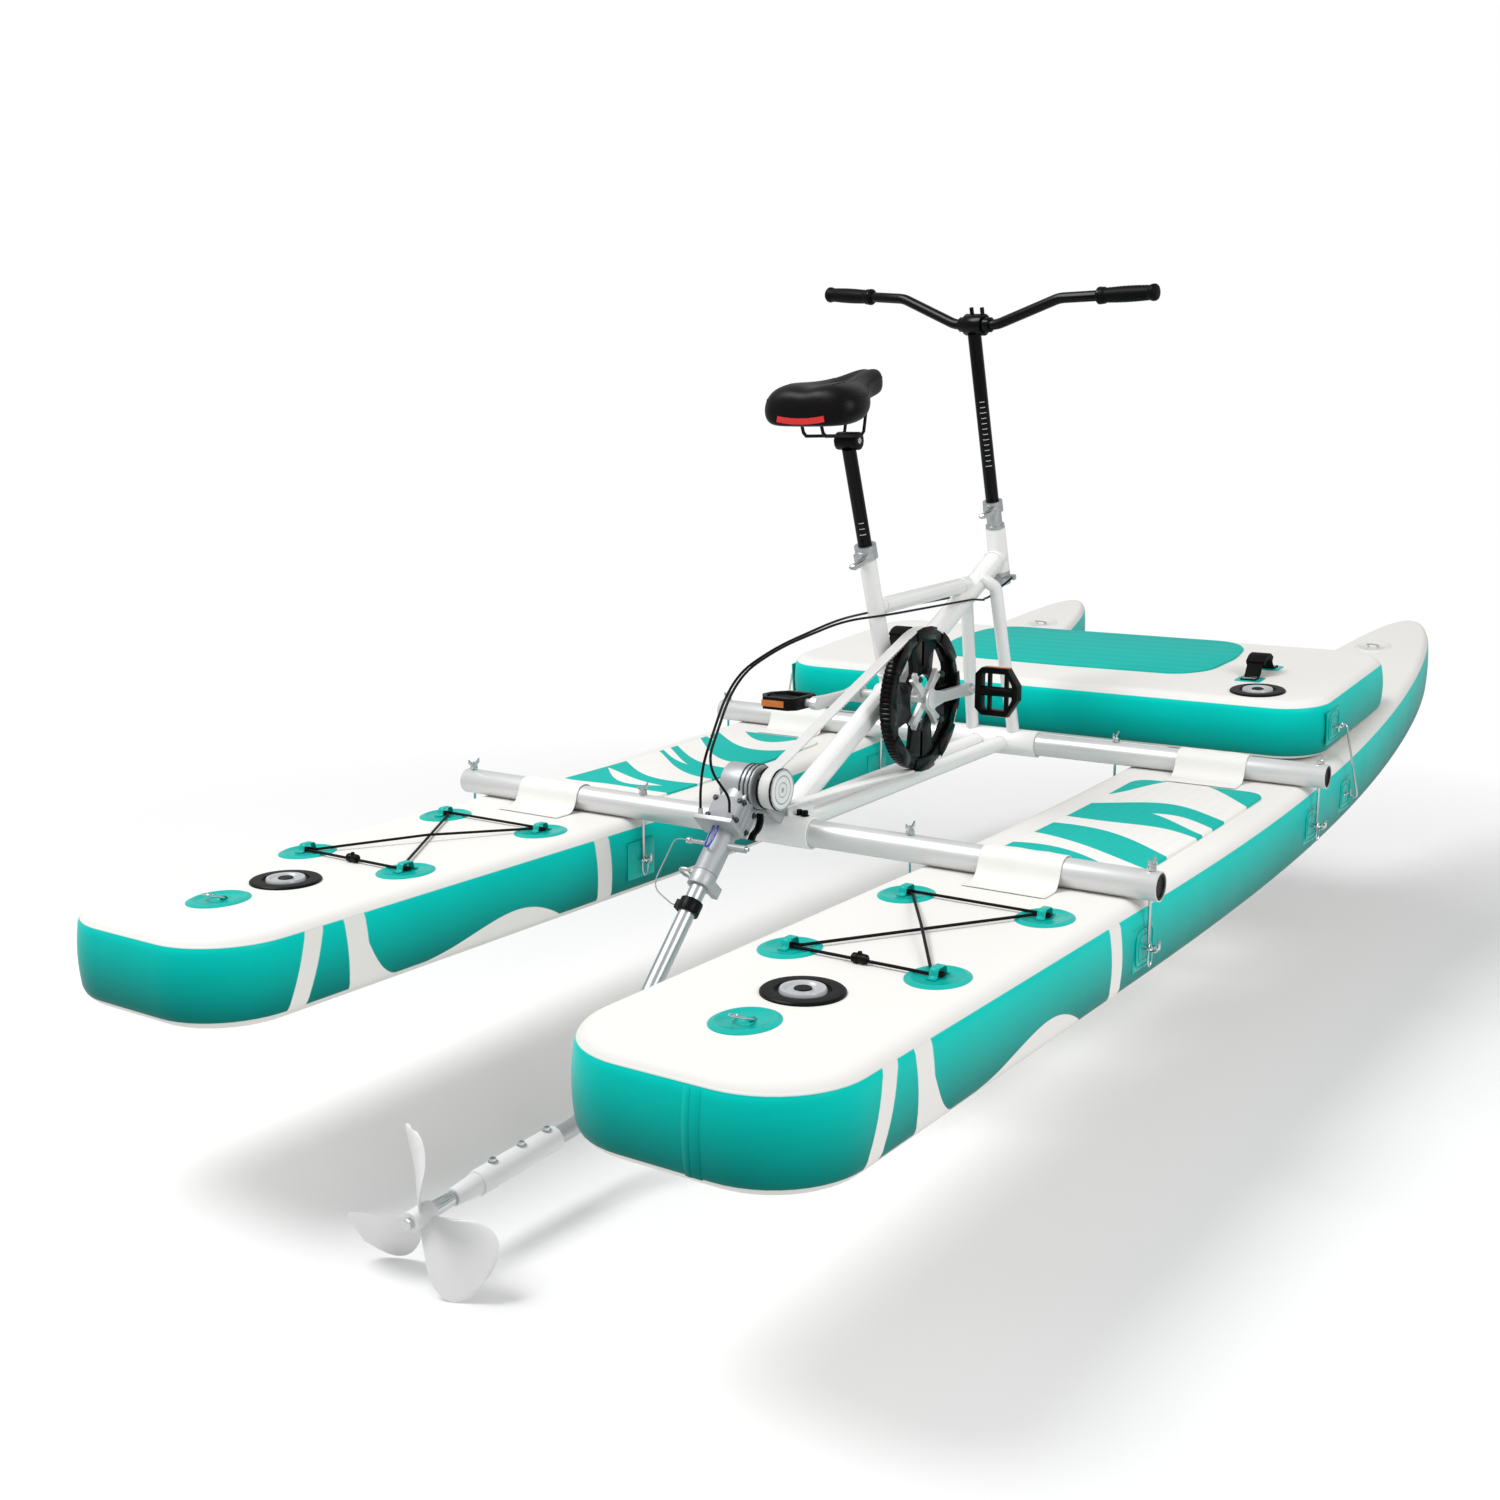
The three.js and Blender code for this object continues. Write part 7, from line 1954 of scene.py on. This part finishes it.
# %% [markdown]
# ## Pedal reflectors
# Each pedal has an amber bar at both its ends. The bars are small bevelled blocks, set
# into the pedal's packed box, so they follow it if its size changes.

# %% Pedal reflectors
BAR_LONG, BAR_HIGH, BAR_DEEP = 0.052, 0.013, 0.0024


def reflectors(node, along):
    low, high = (Vector(corner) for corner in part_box(node))
    made = []
    for sign in (-1, 1):
        place = (low + high) / 2
        place[along] = (high if sign > 0 else low)[along] + sign * 0.0006
        size = Vector((BAR_LONG, BAR_HIGH, BAR_HIGH))
        size[along] = BAR_DEEP
        corners = [(u, v, w) for u in (-1, 1) for v in (-1, 1) for w in (-1, 1)]
        points = [place + Vector((size.x * u, size.y * v, size.z * w)) / 2 for u, v, w in corners]
        lens = mesh_from("lens", points, BLOCK_FACES)
        made.append(evaluated("lens", lens, [("BEVEL", {"width": 0.0008, "segments": 2})]))
    return joined("lenses", made)


for side, along in (("port", 1), ("starboard", 2)):
    lenses = reflectors(side + "_pedal", along)
    new_piece(side + "_pedal_reflectors", lenses, amber, side + "_pedal_body", "black_plastic")
print("reflector bars on each pedal:", 2)

# %% [markdown]
# ## The leg's tube
# One bright tube comes down from the swivel and bends aft into the tail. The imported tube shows
# its facets in the bend, so a round section with forty sides is swept along its middle line.

# %% Sweep the leg's tube
way = Vector((0, -math.sin(BEND), -math.cos(BEND)))
corners = [inside(LEG, 0, 0, -114.3), inside(LEG, *LEG_BEND), inside(LEG, *(LEG_BEND + way * 150))]
line = round_path(corners, 0.060, 14)
tube = sweep("leg", line, circle_section(0.015, 40), (1, 0, 0))
new_piece("leg_tube_swept", tube, tube_metal, "leg_body", "aluminium", "leg_tube")
print("leg tube length:", round(path_length(line), 3))

# %% [markdown]
# ## The leg pin's wire
# A thin steel wire keeps the pin with the leg: it leaves the clip, bows out and comes back to
# the pin. Its lower end stays with the clip and its upper end goes with the pin, so it is
# built like a cable, as a piece that bends between two bodies.

# %% Sweep the pin's wire
PIN_WIRE = 0.0012
route = [(-26.8, -256), (-38.8, -256), (-94.8, -230), (-94.8, -128), (-68.8, -128)]
path = round_path([inside(LEG, x, 0, z) for x, z in route], 0.026, 8)
bodies = ("leg_body", "pin_body")
line = dense(path, 0.004)
pin_cord = bending_piece("pin_cord", line, PIN_WIRE, (0, 1, 0), wire_steel, bodies, path[0], path[-1])
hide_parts("pin_lanyard")
tell_cord(path, PIN_WIRE)
print("pin wire length:", round(path_length(path), 3))

# %% [markdown]
# ## Floor, light and paper
# The picture is on plain white paper, lit softly from all round with a gentle key from above
# and the left. A picture of a sky could light it, but would put colours in the metal. So the
# world is plain white, seen by the camera at full strength and weaker as light, two soft
# lamps give the form, and a floor that fades out only adds a soft shadow under the craft.

# %% Floor, lights and world
FLOOR_HALF, FLOOR_GAP = 5.0, 0.002
FADE_FROM, FADE_TO = 1.4, 3.2
LIT_PLACE = Vector((0, 0, 0.5))


def make_floor():
    corners = [(-FLOOR_HALF, -FLOOR_HALF, 0), (FLOOR_HALF, -FLOOR_HALF, 0)]
    corners += [(FLOOR_HALF, FLOOR_HALF, 0), (-FLOOR_HALF, FLOOR_HALF, 0)]
    mesh = raw_mesh("floor", corners, [(0, 1, 2, 3)])
    floor = linked("floor", mesh)
    floor.location.z = cad_box[0][2] - FLOOR_GAP
    material, tree, shader, place = new_material("pale floor")
    shader.inputs["Base Color"].default_value = (0.9, 0.9, 0.9, 1.0)
    shader.inputs["Roughness"].default_value = 0.8
    far = put(tree, "ShaderNodeVectorMath", {"operation": "LENGTH"}, i0=place).outputs["Value"]
    tree.links.new(ranged(far, FADE_FROM, FADE_TO, 1.0, 0.0), shader.inputs["Alpha"])
    mesh.materials.append(material)


def area_light(name, location, size, power):
    data = bpy.data.lights.new(name, "AREA")
    data.shape = "DISK"
    data.size = size
    data.energy = power
    light = linked(name, data)
    light.location = location
    light.rotation_euler = (LIT_PLACE - Vector(location)).to_track_quat("-Z", "Y").to_euler()


def make_world():
    world = bpy.data.worlds.new("white paper")
    bpy.context.scene.world = world
    world.use_nodes = True
    tree = world.node_tree
    tree.nodes.clear()
    rays = put(tree, "ShaderNodeLightPath")
    seen = maths("MAXIMUM", rays.outputs["Is Camera Ray"], rays.outputs["Is Transmission Ray"])
    paper = put(tree, "ShaderNodeBackground", Color=(1, 1, 1, 1), Strength=1.0)
    soft = put(tree, "ShaderNodeBackground", Color=(1, 1, 1, 1), Strength=0.55)
    mixed = put(tree, "ShaderNodeMixShader", i0=seen, i1=soft.outputs[0], i2=paper.outputs[0])
    result = put(tree, "ShaderNodeOutputWorld")
    tree.links.new(mixed.outputs[0], result.inputs[0])


make_floor()
make_world()
area_light("key", (-2.5, -3.0, 5.5), 3.0, 262)
area_light("side", (4.5, -1.5, 3.0), 2.5, 90)
scene = bpy.context.scene
scene.view_settings.view_transform = "Standard"
